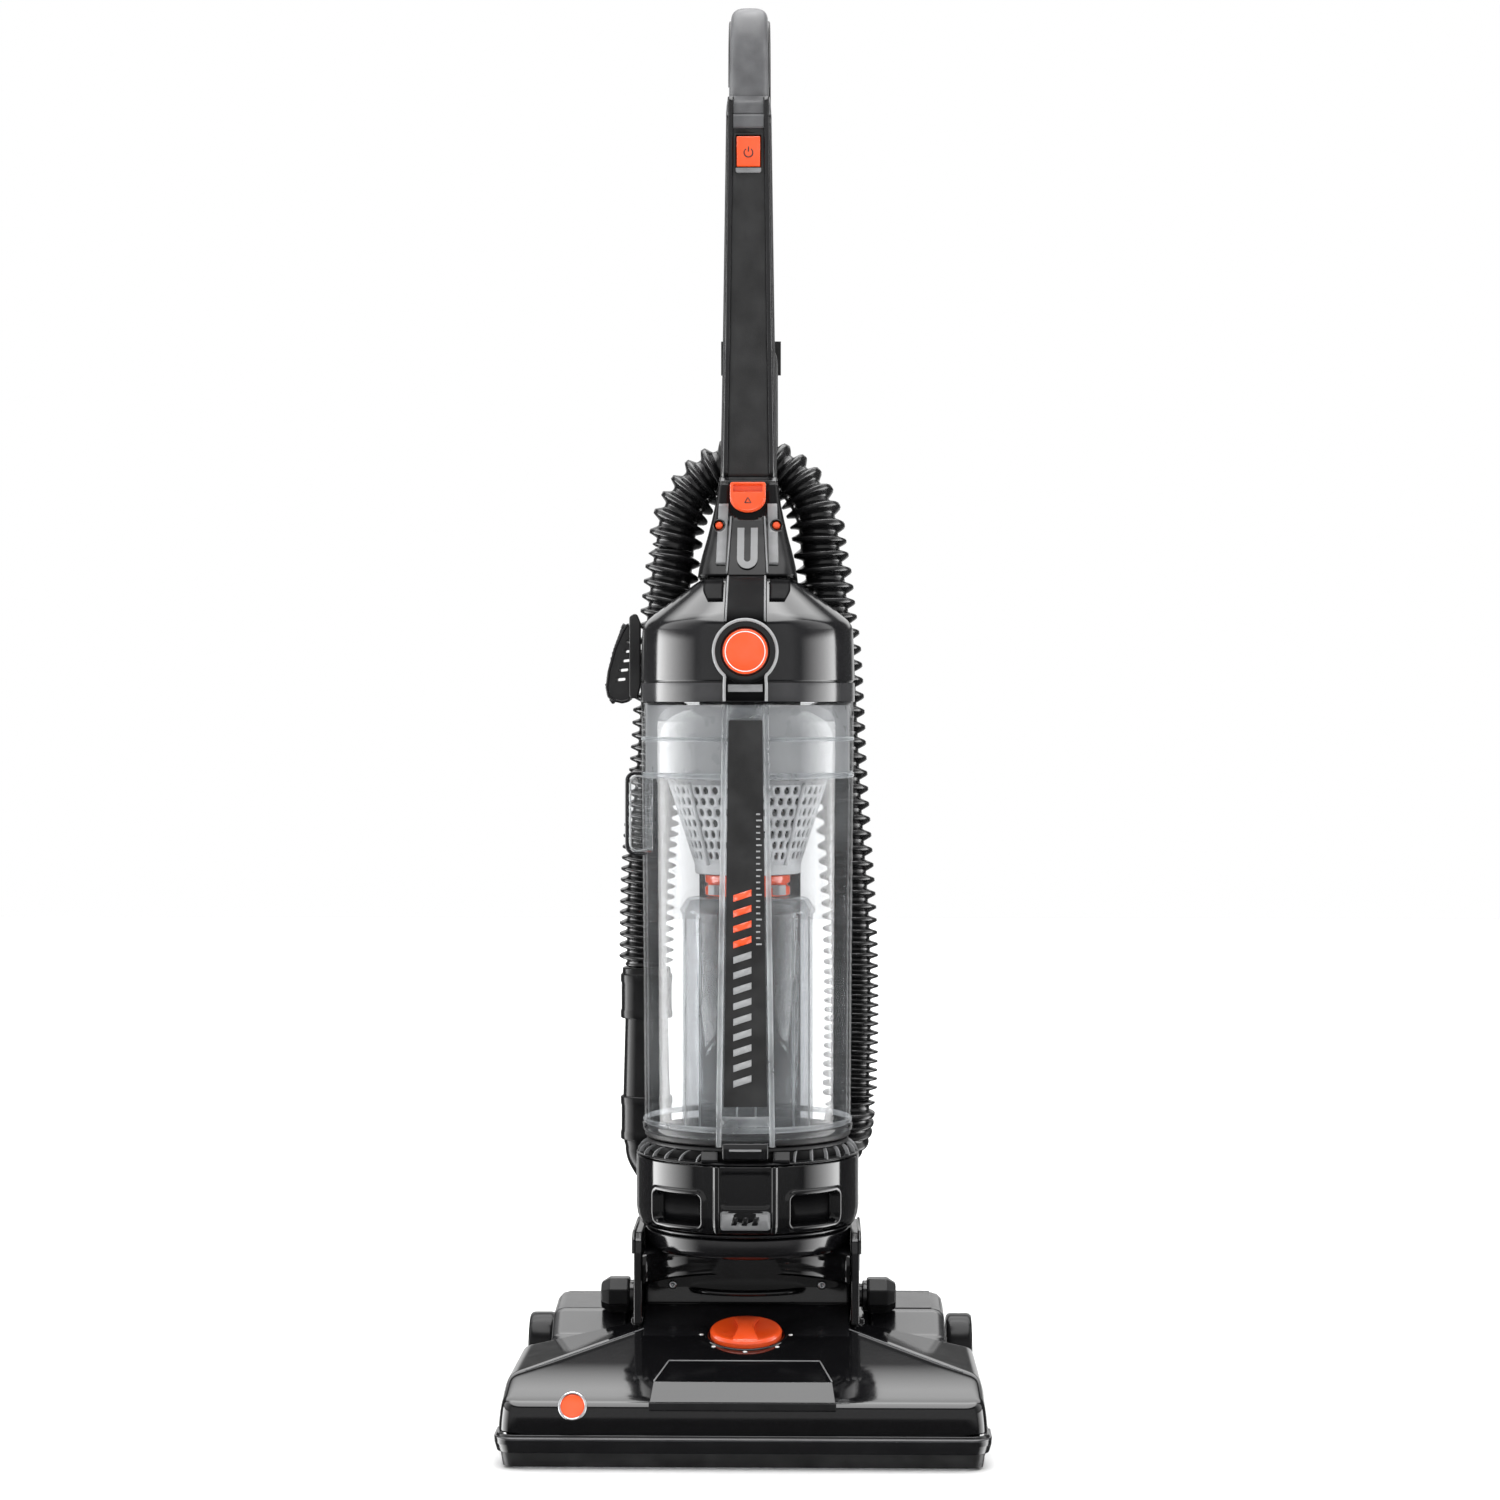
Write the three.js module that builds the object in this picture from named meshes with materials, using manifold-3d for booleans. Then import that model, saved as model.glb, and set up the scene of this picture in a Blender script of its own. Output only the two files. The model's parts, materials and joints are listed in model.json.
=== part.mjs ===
// Upright bagless vacuum cleaner of the commercial kind, as an assembly of separate pieces.
//
// Millimetres, +Z up, the nozzle's front towards -Y, the user behind it towards +Y.
// The origin is on the floor, under the middle of the machine's bounding box.
//
// The floor nozzle rolls on two rear wheels and on two small front wheels, which a dial raises and lowers.
// The upright body turns in the nozzle's yoke, on the axis of the motor, so that the belt keeps its length.
// The dirt cup stands in the upright body between the round filter housing and the neck of the handle.
import * as THREE from "three";
import { mergeVertices } from "three/addons/utils/BufferGeometryUtils.js";
import Module from "manifold-3d";

const wasm = await Module();
wasm.setup();

// ---------------------------------------------------------------- driving dimensions
const GAP = 0.4; // air between neighbouring pieces
const WALL = 2.5; // moulded wall
const ROUND = 28; // sides of a large round piece
const SMALL_ROUND = 16; // sides of a small round piece

const COLUMN_Y = 20; // vertical axis of cup, filter housing and lid
const PIVOT = { y: 50, z: 89 }; // recline axis, which is the motor's axis too
const AGITATOR = { y: -125, z: 24, tip: 22.5, drum: 16, half: 146 };
const BELT = { x0: 56.5, x1: 65.5, thick: 1, pulley: 6, groove: 14 };

const BUMPER = { half: 178.5, front: -165, rear: -40, low: 12, high: 25, corner: 16, depth: 8.1 };
const HOOD = { half: 170, front: -160, rear: 19.5, low: 24.4, corner: 10 };
const CREST = { x: 80, y: -30, z: 76.5, fallOut: 0.273, fallBack: 0.03 }; // where deck and wing meet
const BONNET_HALF = 62; // raised panel on the nose
const COWL = { half: 77.5, start: -25, rear: 3, top: 92 }; // raised rear middle of the hood
const CHASSIS = {
  low: 5,
  floor: 8,
  high: 24,
  front: -158,
  step: -30,
  rearHalf: 152,
  railRear: 143,
  panRear: 98,
};
const CHAMBER = { bore: 26.5, wall: 29, half: 154 }; // brush chamber, open below
const DUCT = { x0: -128, x1: -72, top: 23.5, collar: [-60, 107], bore: 11.5, rim: 14.5 };

const PEDAL = { x0: -126, x1: -98, pivot: [112, 60], play: 1.5 };
const PANEL = { x0: 112, x1: 150, y0: 66, y1: 116 }; // lid on the right pod
const WHEEL = { y: 135, z: 30, radius: 30, inner: 156, outer: 176, pin: 4 };
const POD = { inner: 88, outer: 152, low: 24.4, front: 20 };
const YOKE = { inner: 79, outer: 85, top: 147 };
const DIAL = { y: -40, z: 74.5, slope: Math.atan(0.2), radius: 25.5, hole: 5.4, stem: 5 };
const CARRIAGE = { y: -20, z: 12, reach: 52, half: 60, wheelX: 52, wheelR: 9 };

const BARREL = { radius: 44, bore: 40.5, half: 77 };
const MOTOR = { pocket: [-71, 50], stator: [-25, 44], armature: [-18, 36], pinRadius: 9.6 };
const FAN = { radius: 37, front: -66, rear: -47, eye: 15, hub: 9, blades: 8 };
const SHAFT = { radius: 3.9, hole: 4.3 };
const HOUSING = { radius: 85, foot: 77.5, low: 148.6, high: 203.5, coverAngle: 78 };
const WINDOW = { x0: 34, x1: 69, low: 158, high: 180.5 }; // openings beside the middle of the filter cover
const COVER_RIB = { x0: 19.5, x1: 23.5 };
const CUP = { low: 222.4, high: 548, rLow: 79, rHigh: 81.4, wall: 2.2 };
const CUP_RIB = { lowX: 20, highX: 15.2, width: 4, low: 217.5, high: 547, front: -84.4 };
const BULGE = { out: -92, front: -10, rear: 28, low: 432, high: 494, wall: 2 }; // on the cup's left
const LID = { low: 548.4, band: 563.5, shoulder: 606, top: 642, radius: 81.8, crown: 36 };
const BADGE = { z: 586, ring: 24.5, disc: 16.5 };
const SPINE = { half: 40, front: 105.5, rear: 130, low: 150, high: 642.6 };
const INLET = { half: 16, low: 430, high: 480 };
const HOSE = { radius: 19.6, bore: 15.5, y: 105, arch: 64.5, archZ: 674 };
const WAND = { x: -81, y: 90, low: 205, high: 340 };
const TOOL = { post: -92.5, front: 72, rear: 106, slots: 5, pitch: 7 }; // dusting brush
const LATCH = { half: 13.7, low: 694, high: 717.5, front: 25.5, rear: 33, travel: 5 };
const BUTTON = { x: 22, z: 684, radius: 3.1 };
const HANDLE = { low: 718.5, high: 1003 };
const SWITCH = { half: 9.1, low: 963, high: 987, front: 47.5, rear: 56 };
const HOOK = { z: 817, lowerZ: 470, plate: 147, half: 24, stem: 6.5 };
const CORD = { outer: 19.5, inner: 9.5, front: 132.5, rear: 146.3 };

// ---------------------------------------------------------------- materials
const plastic = (color, roughness = 0.35) =>
  new THREE.MeshStandardMaterial({ color, roughness, metalness: 0 });
const clear = (color) =>
  new THREE.MeshStandardMaterial({ color, roughness: 0.05, metalness: 0, transparent: true, opacity: 0.35 });
const metal = (color) => new THREE.MeshStandardMaterial({ color, roughness: 0.3, metalness: 1 });

const GLOSS_BLACK = plastic(0x101011, 0.12);
const BODY_BLACK = plastic(0x1c1c1e, 0.25);
const MATT_BLACK = plastic(0x17171a, 0.55);
const GREY_GRIP = plastic(0x4a4a4d, 0.6);
const RUBBER = plastic(0x141414, 0.8);
const ORANGE = plastic(0xf04e1c, 0.3);
const CLEAR = clear(0xe8ecee);
const PALE_MESH = plastic(0xd2d4d3, 0.5);
const FILTER_WHITE = plastic(0xe6e4dc, 0.9);
const STEEL = metal(0xb9bcc0);
const COPPER = metal(0xa86238);

// ---------------------------------------------------------------- solids from three.js geometry
function solid(geometry) {
  const bare = geometry.index ? geometry.toNonIndexed() : geometry.clone();
  bare.deleteAttribute("normal");
  bare.deleteAttribute("uv");
  const merged = mergeVertices(bare, 1e-3);
  const corners = merged.index.array;
  const faces = [];
  for (let i = 0; i < corners.length; i += 3) {
    const [a, b, c] = corners.slice(i, i + 3);
    if (a !== b && b !== c && c !== a) faces.push(a, b, c);
  }
  const vertProperties = merged.attributes.position.array;
  const build = (list) =>
    new wasm.Manifold(new wasm.Mesh({ numProp: 3, vertProperties, triVerts: new Uint32Array(list) }));
  const made = build(faces);
  return made.volume() < 0 ? build(faces.reverse()) : made;
}

function geometryOf(made) {
  const mesh = made.getMesh();
  const geometry = new THREE.BufferGeometry();
  geometry.setAttribute("position", new THREE.BufferAttribute(mesh.vertProperties, 3));
  geometry.setIndex(new THREE.BufferAttribute(mesh.triVerts, 1));
  geometry.computeVertexNormals();
  return geometry;
}

const join = (first, ...rest) => rest.reduce((sum, part) => sum.add(part), first);
const cut = (first, ...rest) => rest.reduce((left, part) => left.subtract(part), first);

function block(x0, x1, y0, y1, z0, z1) {
  const box = new THREE.BoxGeometry(x1 - x0, y1 - y0, z1 - z0);
  return solid(box.translate((x0 + x1) / 2, (y0 + y1) / 2, (z0 + z1) / 2));
}

// A cylinder along "x", "y" or "z"; centre holds the other two coordinates, in that order.
function rod(axis, radius, from, to, centre = [0, 0], sides = SMALL_ROUND, endRadius = radius) {
  const length = to - from;
  const bar = new THREE.CylinderGeometry(endRadius, radius, length, sides).translate(0, from + length / 2, 0);
  const [a, b] = centre;
  if (axis === "x") return solid(bar.rotateZ(-Math.PI / 2).translate(0, a, b));
  if (axis === "y") return solid(bar.translate(a, 0, b));
  return solid(bar.rotateX(Math.PI / 2).translate(a, b, 0));
}

// A profile of [radius, height] pairs turned about the Z axis.
function turned(profile, sides = ROUND) {
  const points = profile.map(([r, z]) => new THREE.Vector2(r, z));
  return solid(new THREE.LatheGeometry(points, sides).rotateX(Math.PI / 2));
}

const shapeOf = (points) => new THREE.Shape(points.map(([a, b]) => new THREE.Vector2(a, b)));
const prism = (shape, depth) =>
  new THREE.ExtrudeGeometry(shape, { depth, bevelEnabled: false, curveSegments: 5, steps: 1 });

const alongZ = (shape, z0, z1) => solid(prism(shape, z1 - z0).translate(0, 0, z0));

// An outline of [y, z] pairs, drawn out along X.
function alongX(points, x0, x1) {
  const turn = new THREE.Matrix4().makeBasis(
    new THREE.Vector3(0, 1, 0),
    new THREE.Vector3(0, 0, 1),
    new THREE.Vector3(1, 0, 0),
  );
  const shape = points instanceof THREE.Shape ? points : shapeOf(points);
  return solid(prism(shape, x1 - x0).applyMatrix4(turn).translate(x0, 0, 0));
}

// An outline of [x, z] pairs, drawn out along Y.
function alongY(points, y0, y1) {
  const turn = new THREE.Matrix4().makeBasis(
    new THREE.Vector3(1, 0, 0),
    new THREE.Vector3(0, 0, 1),
    new THREE.Vector3(0, -1, 0),
  );
  const shape = points instanceof THREE.Shape ? points : shapeOf(points);
  return solid(prism(shape, y1 - y0).applyMatrix4(turn).translate(0, y1, 0));
}

// A skin over rings of equally many [x, y, z] points, closed with a fan at each end.
function loft(rings) {
  const sides = rings[0].length;
  const positions = rings.flat(2);
  const index = [];
  const corner = (ring, i) => ring * sides + (i % sides);
  for (let r = 0; r + 1 < rings.length; r++)
    for (let i = 0; i < sides; i++) {
      index.push(corner(r, i), corner(r, i + 1), corner(r + 1, i + 1));
      index.push(corner(r, i), corner(r + 1, i + 1), corner(r + 1, i));
    }
  const last = rings.length - 1;
  for (let i = 1; i + 1 < sides; i++) {
    index.push(corner(0, 0), corner(0, i + 1), corner(0, i));
    index.push(corner(last, 0), corner(last, i), corner(last, i + 1));
  }
  const geometry = new THREE.BufferGeometry();
  geometry.setAttribute("position", new THREE.Float32BufferAttribute(positions, 3));
  geometry.setIndex(index);
  return solid(geometry);
}

// A section drawn along a smooth curve through [x, y, z] points.
function swept(points, section, steps) {
  const spots = points.map((p) => new THREE.Vector3(...p));
  const extrudePath = new THREE.CatmullRomCurve3(spots, false, "centripetal");
  return solid(new THREE.ExtrudeGeometry(shapeOf(section), { steps, bevelEnabled: false, extrudePath }));
}

const ringOf = (radius, sides) =>
  Array.from({ length: sides }, (_, i) => {
    const a = (2 * Math.PI * i) / sides;
    return [radius * Math.cos(a), radius * Math.sin(a)];
  });

// A plan outline with straight sides, square at the rear and rounded at the two front corners.
function planOutline(half, front, rear, corner) {
  const shape = new THREE.Shape();
  shape.moveTo(half, rear);
  shape.lineTo(-half, rear);
  shape.lineTo(-half, front + corner);
  shape.absarc(-half + corner, front + corner, corner, Math.PI, 1.5 * Math.PI);
  shape.absarc(half - corner, front + corner, corner, 1.5 * Math.PI, 2 * Math.PI);
  return shape;
}

// A wedge around the Z axis, centred on the front (-Y), reaching angle degrees to each side.
function frontWedge(angle, radius, z0, z1) {
  const rim = [-1, -0.5, 0, 0.5, 1].map((t) => {
    const a = -Math.PI / 2 + (t * angle * Math.PI) / 180;
    return [radius * Math.cos(a), radius * Math.sin(a)];
  });
  return alongZ(shapeOf([[0, 0], ...rim]), z0, z1);
}

const model = new THREE.Group();
function add(parent, name, made, material, position = [0, 0, 0]) {
  const mesh = new THREE.Mesh(geometryOf(made), material);
  mesh.name = name;
  mesh.position.set(...position);
  parent.add(mesh);
}
function group(parent, position = [0, 0, 0], tilt = 0) {
  const made = new THREE.Group();
  made.position.set(...position);
  made.rotation.x = tilt;
  parent.add(made);
  return made;
}
const mirrored = (made) => made.mirror([1, 0, 0]);

// ---------------------------------------------------------------- floor nozzle
const base = group(model);

// The hood's outer form, or with an inset the space inside its wall.
function hoodForm(inset) {
  const low = inset ? HOOD.low - 1 : HOOD.low;
  const plan = planOutline(HOOD.half - inset, HOOD.front + inset, HOOD.rear - inset, HOOD.corner - inset);
  const drop = inset * 1.05;
  const nose = [
    [HOOD.front + inset, low],
    [HOOD.front + 1.5 + inset, 36],
    [HOOD.front + 6 + inset, 47 - inset / 2],
    [-147, 51.3 - drop],
    [-95, 63.5 - drop],
    [COWL.start, 77.5 - drop],
    [HOOD.rear, 86.4 - drop],
    [HOOD.rear, low],
  ];
  const wing = (side) => {
    const fall = (x, y) => CREST.z - drop - CREST.fallOut * (x - CREST.x) - CREST.fallBack * (y - CREST.y);
    const corners = (y) => [
      [side * 60, y, fall(60, y)],
      [side * 60, y, 140],
      [side * 190, y, 140],
      [side * 190, y, fall(190, y)],
    ];
    const ends = side > 0 ? [corners(-175), corners(40)] : [corners(40), corners(-175)];
    return loft(ends);
  };
  const main = alongZ(plan, low, 110).intersect(alongX(nose, -200, 200));
  const cowl = alongX(
    [
      [-60, low],
      [-60, 70.5 - drop],
      [COWL.start, 77.5 - drop],
      [COWL.rear - inset, COWL.top - drop],
      [COWL.rear - inset, low],
    ],
    -COWL.half + inset,
    COWL.half - inset,
  );
  return join(cut(main, wing(1), wing(-1)), cowl);
}

function nozzleCover() {
  const rearNotch = block(-COWL.half - 1, COWL.half + 1, COWL.rear, 60, HOOD.low - 2, 120);
  const bonnet = alongX(
    [
      [-155, 38],
      [-156, 43],
      [-143, 59],
      [-95, 64.4],
      [-92, 62],
      [-140, 50],
    ],
    -BONNET_HALF,
    BONNET_HALF,
  );
  const tilt = new THREE.Matrix4().makeRotationX(DIAL.slope).setPosition(0, DIAL.y, DIAL.z);
  const onDeck = (radius, z0, z1) =>
    solid(
      new THREE.CylinderGeometry(radius, radius, z1 - z0, 28)
        .rotateX(Math.PI / 2)
        .translate(0, 0, (z0 + z1) / 2)
        .applyMatrix4(tilt),
    );
  const beltWindow = block(BELT.x0 - 3, BELT.x1 + 3, -6, 10, 62, 88);
  const shell = cut(join(hoodForm(0), bonnet), hoodForm(WALL), rearNotch, beltWindow);
  const dialWell = join(onDeck(DIAL.radius + 1, -4.5, 6), onDeck(7, -12, 2));
  return cut(join(shell, onDeck(DIAL.radius + 4, -7.5, -0.5)), dialWell);
}

function frontBumper() {
  const { half, front, rear, low, high, corner, depth } = BUMPER;
  const outside = alongZ(planOutline(half, front, rear, corner), low, high);
  const innerPlan = planOutline(half - depth, front + depth - 3.5, rear + 5, corner - depth + 2);
  return cut(outside, alongZ(innerPlan, low - 1, high + 1));
}

function baseChassis() {
  const { low, floor, high, front, step, rearHalf, railRear, panRear } = CHASSIS;
  const tray = (inset, z0) => {
    const top = high + (inset ? 1 : 0);
    const frontPlan = planOutline(HOOD.half - inset, front + inset, step + 6 - inset, HOOD.corner);
    const rearPan = block(-rearHalf + inset, rearHalf - inset, step - 10, panRear - inset, z0, top);
    return join(alongZ(frontPlan, z0, top), rearPan);
  };
  const rail = block(POD.inner, rearHalf, 60, railRear, low, high);
  const railHollow = block(POD.inner + 3, rearHalf - 3, panRear, railRear - 3, floor, high + 1);
  const { y, z } = AGITATOR;
  const tunnel = (radius, half, z0) =>
    join(block(-half, half, y - radius, y + radius, z0, z), rod("x", radius, -half, half, [y, z], 24));
  const chamber = tunnel(CHAMBER.wall, CHAMBER.half + 3, low);
  const mouth = tunnel(CHAMBER.bore, CHAMBER.half, low - 1);
  const beltGap = block(BELT.x0 - 2, BELT.x1 + 2, y, y + 40, 12, 60);
  const [cx, cy] = DUCT.collar;
  const duct = join(
    block(DUCT.x0, DUCT.x1, y + 27, 96, low, DUCT.top),
    block(DUCT.x0, -44, 88, 124, low, DUCT.top),
    rod("z", DUCT.rim, DUCT.top - 1, 28, [cx, cy], 20),
  );
  const ductWay = join(
    block(DUCT.x0 + 3, DUCT.x1 - 3, y + 20, 95, floor, DUCT.top - 2.5),
    block(DUCT.x0 + 3, -47, 90.5, 121, floor, DUCT.top - 2.5),
    rod("z", DUCT.bore, floor, 30, [cx, cy], 20),
  );
  const carriageWindow = block(-CARRIAGE.half - 3, CARRIAGE.half + 3, -86, -10, low - 1, floor + 1);
  const trayShell = cut(tray(0, low), tray(3, floor), block(-200, 200, 124.5, 200, 0, 3));
  const rails = cut(join(rail, mirrored(rail)), railHollow, mirrored(railHollow));
  const below = block(-200, 200, -200, 200, -20, low);
  return cut(join(trayShell, rails, chamber, duct), mouth, beltGap, ductWay, carriageWindow, below);
}

function solePlate() {
  const { y } = AGITATOR;
  const plate = alongZ(planOutline(167, -156.5, -91, 8), 2, CHASSIS.low - GAP);
  return cut(plate, block(-150, 150, y - 22, y + 22, 0, 9));
}

add(base, "base_chassis", baseChassis(), MATT_BLACK);
add(base, "nozzle_cover", nozzleCover(), GLOSS_BLACK);
add(base, "front_bumper", frontBumper(), RUBBER);
add(base, "sole_plate", solePlate(), STEEL);

// ---------------------------------------------------------------- rear pods, yoke arms, wheels and pivot
function rearPod() {
  const { inner, outer, low, front } = POD;
  const hump = (inset) => [
    [front + inset, low - inset],
    [front + inset, 58 - inset],
    [34 + inset, 61 - inset],
    [54 + inset / 2, 74 - inset],
    [100, 82.5 - inset],
    [120, 80 - inset],
    [136 - inset, 66 - inset / 2],
    [144 - inset, 50],
    [144 - inset, low - inset],
  ];
  const shell = cut(alongX(hump(0), inner, outer), alongX(hump(WALL), inner + WALL, outer - WALL));
  const arm = alongX(
    [
      [-24, 78.2],
      [25, 78.2],
      [25, low],
      [95, low],
      [95, 60],
      [92, 104],
      [82, 134],
      [62, YOKE.top],
      [-12, YOKE.top],
      [-20, YOKE.top - 3],
      [-24, YOKE.top - 10],
    ],
    YOKE.inner,
    YOKE.outer,
  );
  const web = block(YOKE.outer - 1, inner + 1, 28, 92, low, 56);
  const pivotHole = rod("x", 9.6, YOKE.inner - 1, inner + 8, [PIVOT.y, PIVOT.z], 20);
  const axleHole = rod("x", WHEEL.pin + 0.5, outer - 10, outer + 5, [WHEEL.y, WHEEL.z]);
  return cut(join(shell, arm, web), pivotHole, axleHole);
}

const pedalSlot = block(PEDAL.x0 - PEDAL.play, PEDAL.x1 + PEDAL.play, 100, 160, 38, 68);
const pedalPin = rod("x", 1.5, 1 - POD.outer, -POD.inner - 1, PEDAL.pivot, 10);
add(base, "rear_pod_left", join(cut(mirrored(rearPod()), pedalSlot), pedalPin), BODY_BLACK);
add(base, "rear_pod_right", rearPod(), BODY_BLACK);
add(
  base,
  "pod_access_panel",
  alongX(
    [
      [PANEL.y0, 77],
      [100, 83.1],
      [PANEL.y1, 81.1],
      [PANEL.y1, 83.1],
      [100, 85],
      [PANEL.y0, 78.6],
    ],
    PANEL.x0,
    PANEL.x1,
  ),
  BODY_BLACK,
);

function releasePedal() {
  const [y, z] = PEDAL.pivot;
  const tread = alongX(
    [
      [y - 5, z - 3],
      [y + 30, z - 5],
      [y + 40, z - 3],
      [y + 41, z + 1],
      [y + 30, z + 1],
      [y - 5, z + 4],
    ],
    PEDAL.x0,
    PEDAL.x1,
  );
  return cut(tread, rod("x", 1.8, PEDAL.x0 - 1, PEDAL.x1 + 1, [y, z], 10));
}
add(base, "release_pedal", releasePedal(), MATT_BLACK);

function pivotCap() {
  const head = join(
    rod("x", 14.6, 92.5, 109, [0, 0], 8),
    rod("x", 14.6, 108.9, 115, [0, 0], 8, 10.5),
  );
  const flange = rod("x", 11.5, 88, 93, [0, 0], 20);
  return join(head, flange, rod("x", 9, BARREL.half - 5, 89, [0, 0], 20));
}
const pivot = group(base, [0, PIVOT.y, PIVOT.z]);
add(pivot, "pivot_cap_right", pivotCap(), GLOSS_BLACK);
add(pivot, "pivot_cap_left", mirrored(pivotCap()), GLOSS_BLACK);

function rearWheel() {
  const { radius, inner, outer, pin } = WHEEL;
  const half = (outer - inner) / 2;
  const bore = pin + 0.6;
  return turned(
    [
      [bore, -half],
      [12, -half],
      [12, -half + 3],
      [radius - 6, -half + 3],
      [radius - 6, -half],
      [radius - 2, -half],
      [radius, -half + 3],
      [radius, half - 3],
      [radius - 2, half],
      [radius - 6, half],
      [10, half - 2.5],
      [bore, half - 2.5],
      [bore, -half],
    ],
    28,
  ).rotate([0, 90, 0]);
}
const wheelMiddle = (WHEEL.inner + WHEEL.outer) / 2;
add(base, "rear_wheel_right", rearWheel(), MATT_BLACK, [wheelMiddle, WHEEL.y, WHEEL.z]);
add(base, "rear_wheel_left", mirrored(rearWheel()), MATT_BLACK, [-wheelMiddle, WHEEL.y, WHEEL.z]);
const rearAxle = () =>
  join(rod("x", WHEEL.pin, 142, WHEEL.outer - 0.5), rod("x", 7, WHEEL.outer - 0.6, WHEEL.outer + 1, [0, 0]));
add(base, "rear_axle_right", rearAxle(), STEEL, [0, WHEEL.y, WHEEL.z]);
add(base, "rear_axle_left", mirrored(rearAxle()), STEEL, [0, WHEEL.y, WHEEL.z]);

// ---------------------------------------------------------------- agitator, its bearings and belt
const brush = group(base, [0, AGITATOR.y, AGITATOR.z]);

function agitatorDrum() {
  const { drum, half } = AGITATOR;
  return join(
    rod("x", drum, -half, BELT.x0 - 1, [0, 0], 20),
    rod("x", BELT.groove, BELT.x0 - 1.1, BELT.x1 + 1.1, [0, 0], 20),
    rod("x", drum, BELT.x1 + 1, half, [0, 0], 20),
    rod("x", 4, -half - 5, half + 5, [0, 0], 12),
  );
}

// A strip of bristles from one X to another that winds round the drum by so many turns.
function bristleStrip(from, to, turns, phase) {
  const { drum, tip } = AGITATOR;
  const steps = Math.round(28 * turns);
  const rings = [];
  for (let i = 0; i <= steps; i++) {
    const t = i / steps;
    const middle = phase + t * turns * 2 * Math.PI;
    const c = Math.cos(middle);
    const s = Math.sin(middle);
    const x = from + t * (to - from);
    const spot = (radius, across) => [x, radius * c - across * s, radius * s + across * c];
    rings.push([spot(drum + GAP, -2), spot(tip, -2.5), spot(tip, 2.5), spot(drum + GAP, 2)]);
  }
  return loft(rings);
}

const bearing = (from, to) =>
  cut(
    block(from, to, -13, 13, -13, 20),
    rod("x", 4.7, from - 1, to + 1, [0, 0], 12),
  );
add(brush, "agitator_drum", agitatorDrum(), MATT_BLACK);
const { half: drumHalf } = AGITATOR;
add(brush, "bristle_strip_left", bristleStrip(4 - drumHalf, BELT.x0 - 6, 1, Math.PI / 2), RUBBER);
add(brush, "bristle_strip_right", bristleStrip(BELT.x1 + 6, drumHalf - 4, 0.5, Math.PI / 2), RUBBER);
add(brush, "agitator_bearing_left", bearing(-153.6, -147), MATT_BLACK);
add(brush, "agitator_bearing_right", bearing(147, 153.6), MATT_BLACK);

// A belt round two pulleys: the outline of both circles and their two common tangents.
function driveBelt() {
  const dy = PIVOT.y - AGITATOR.y;
  const dz = PIVOT.z - AGITATOR.z;
  const reach = Math.hypot(dy, dz);
  const lean = Math.atan2(dz, dy);
  const outline = (extra) => {
    const big = BELT.groove + extra;
    const small = BELT.pulley + extra;
    const open = Math.acos((big - small) / reach);
    const arc = (centre, radius, from, to) =>
      Array.from({ length: 13 }, (_, i) => {
        const a = lean + from + ((to - from) * i) / 12;
        return [centre[0] + radius * Math.cos(a), centre[1] + radius * Math.sin(a)];
      });
    return [
      ...arc([AGITATOR.y, AGITATOR.z], big, open, 2 * Math.PI - open),
      ...arc([PIVOT.y, PIVOT.z], small, -open, open),
    ];
  };
  return cut(
    alongX(outline(GAP + BELT.thick), BELT.x0, BELT.x1),
    alongX(outline(GAP), BELT.x0 - 1, BELT.x1 + 1),
  );
}
add(base, "drive_belt", driveBelt(), RUBBER);

// ---------------------------------------------------------------- height dial and front wheels
const dial = group(base, [0, DIAL.y, DIAL.z], DIAL.slope);

function heightKnob() {
  const { radius } = DIAL;
  const skirt = rod("z", radius, -1, 4, [0, 0], 28);
  const dome = rod("z", radius, 3.9, 6.5, [0, 0], 28, radius - 4);
  const grip = alongY(
    [
      [-7.5, 3],
      [7.5, 3],
      [5.5, 14],
      [-5.5, 14],
    ],
    -radius + 2,
    radius - 2,
  );
  return cut(join(skirt, dome, grip), rod("z", DIAL.hole, -2, 9, [0, 0], 14));
}
const plunger = join(rod("z", DIAL.stem, -46, 8, [0, 0], 14), rod("z", 12, -46, -41, [0, 0], 18));
add(dial, "height_knob", heightKnob(), ORANGE);
add(dial, "knob_plunger", plunger, MATT_BLACK);

function liftCarriage() {
  const { reach, half, wheelX, wheelR } = CARRIAGE;
  const armAt = (x) => block(x - 3, x + 3, -reach - 4, 4, -3, 4);
  const crossBar = block(-half, half, -5, 5, -3, 4);
  const tappet = block(-14, 14, -32, 0, -3, 6);
  const hub = (x) => rod("x", 2.5, x - 9, x + 9, [-reach, wheelR - CARRIAGE.z], 12);
  const arms = [-1, 1].flatMap((side) => [armAt(side * (wheelX - 9)), hub(side * wheelX)]);
  const feet = [-1, 1].map((side) =>
    block(side * (wheelX - 9) - 3, side * (wheelX - 9) + 3, -reach - 4, -reach + 4, -6, 4),
  );
  return join(crossBar, tappet, ...arms, ...feet);
}
const carriage = group(base, [0, CARRIAGE.y, CARRIAGE.z]);
add(carriage, "lift_carriage", liftCarriage(), MATT_BLACK);
const frontWheel = () =>
  cut(rod("x", CARRIAGE.wheelR, -4.5, 4.5, [0, 0], 24), rod("x", 3.1, -6, 6, [0, 0], 12));
const frontWheelAt = (side) => {
  const { wheelX, reach, wheelR, z } = CARRIAGE;
  return [side * (wheelX + 1.5), -reach, wheelR - z];
};
add(carriage, "front_wheel_right", frontWheel(), MATT_BLACK, frontWheelAt(1));
add(carriage, "front_wheel_left", frontWheel(), MATT_BLACK, frontWheelAt(-1));

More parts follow.
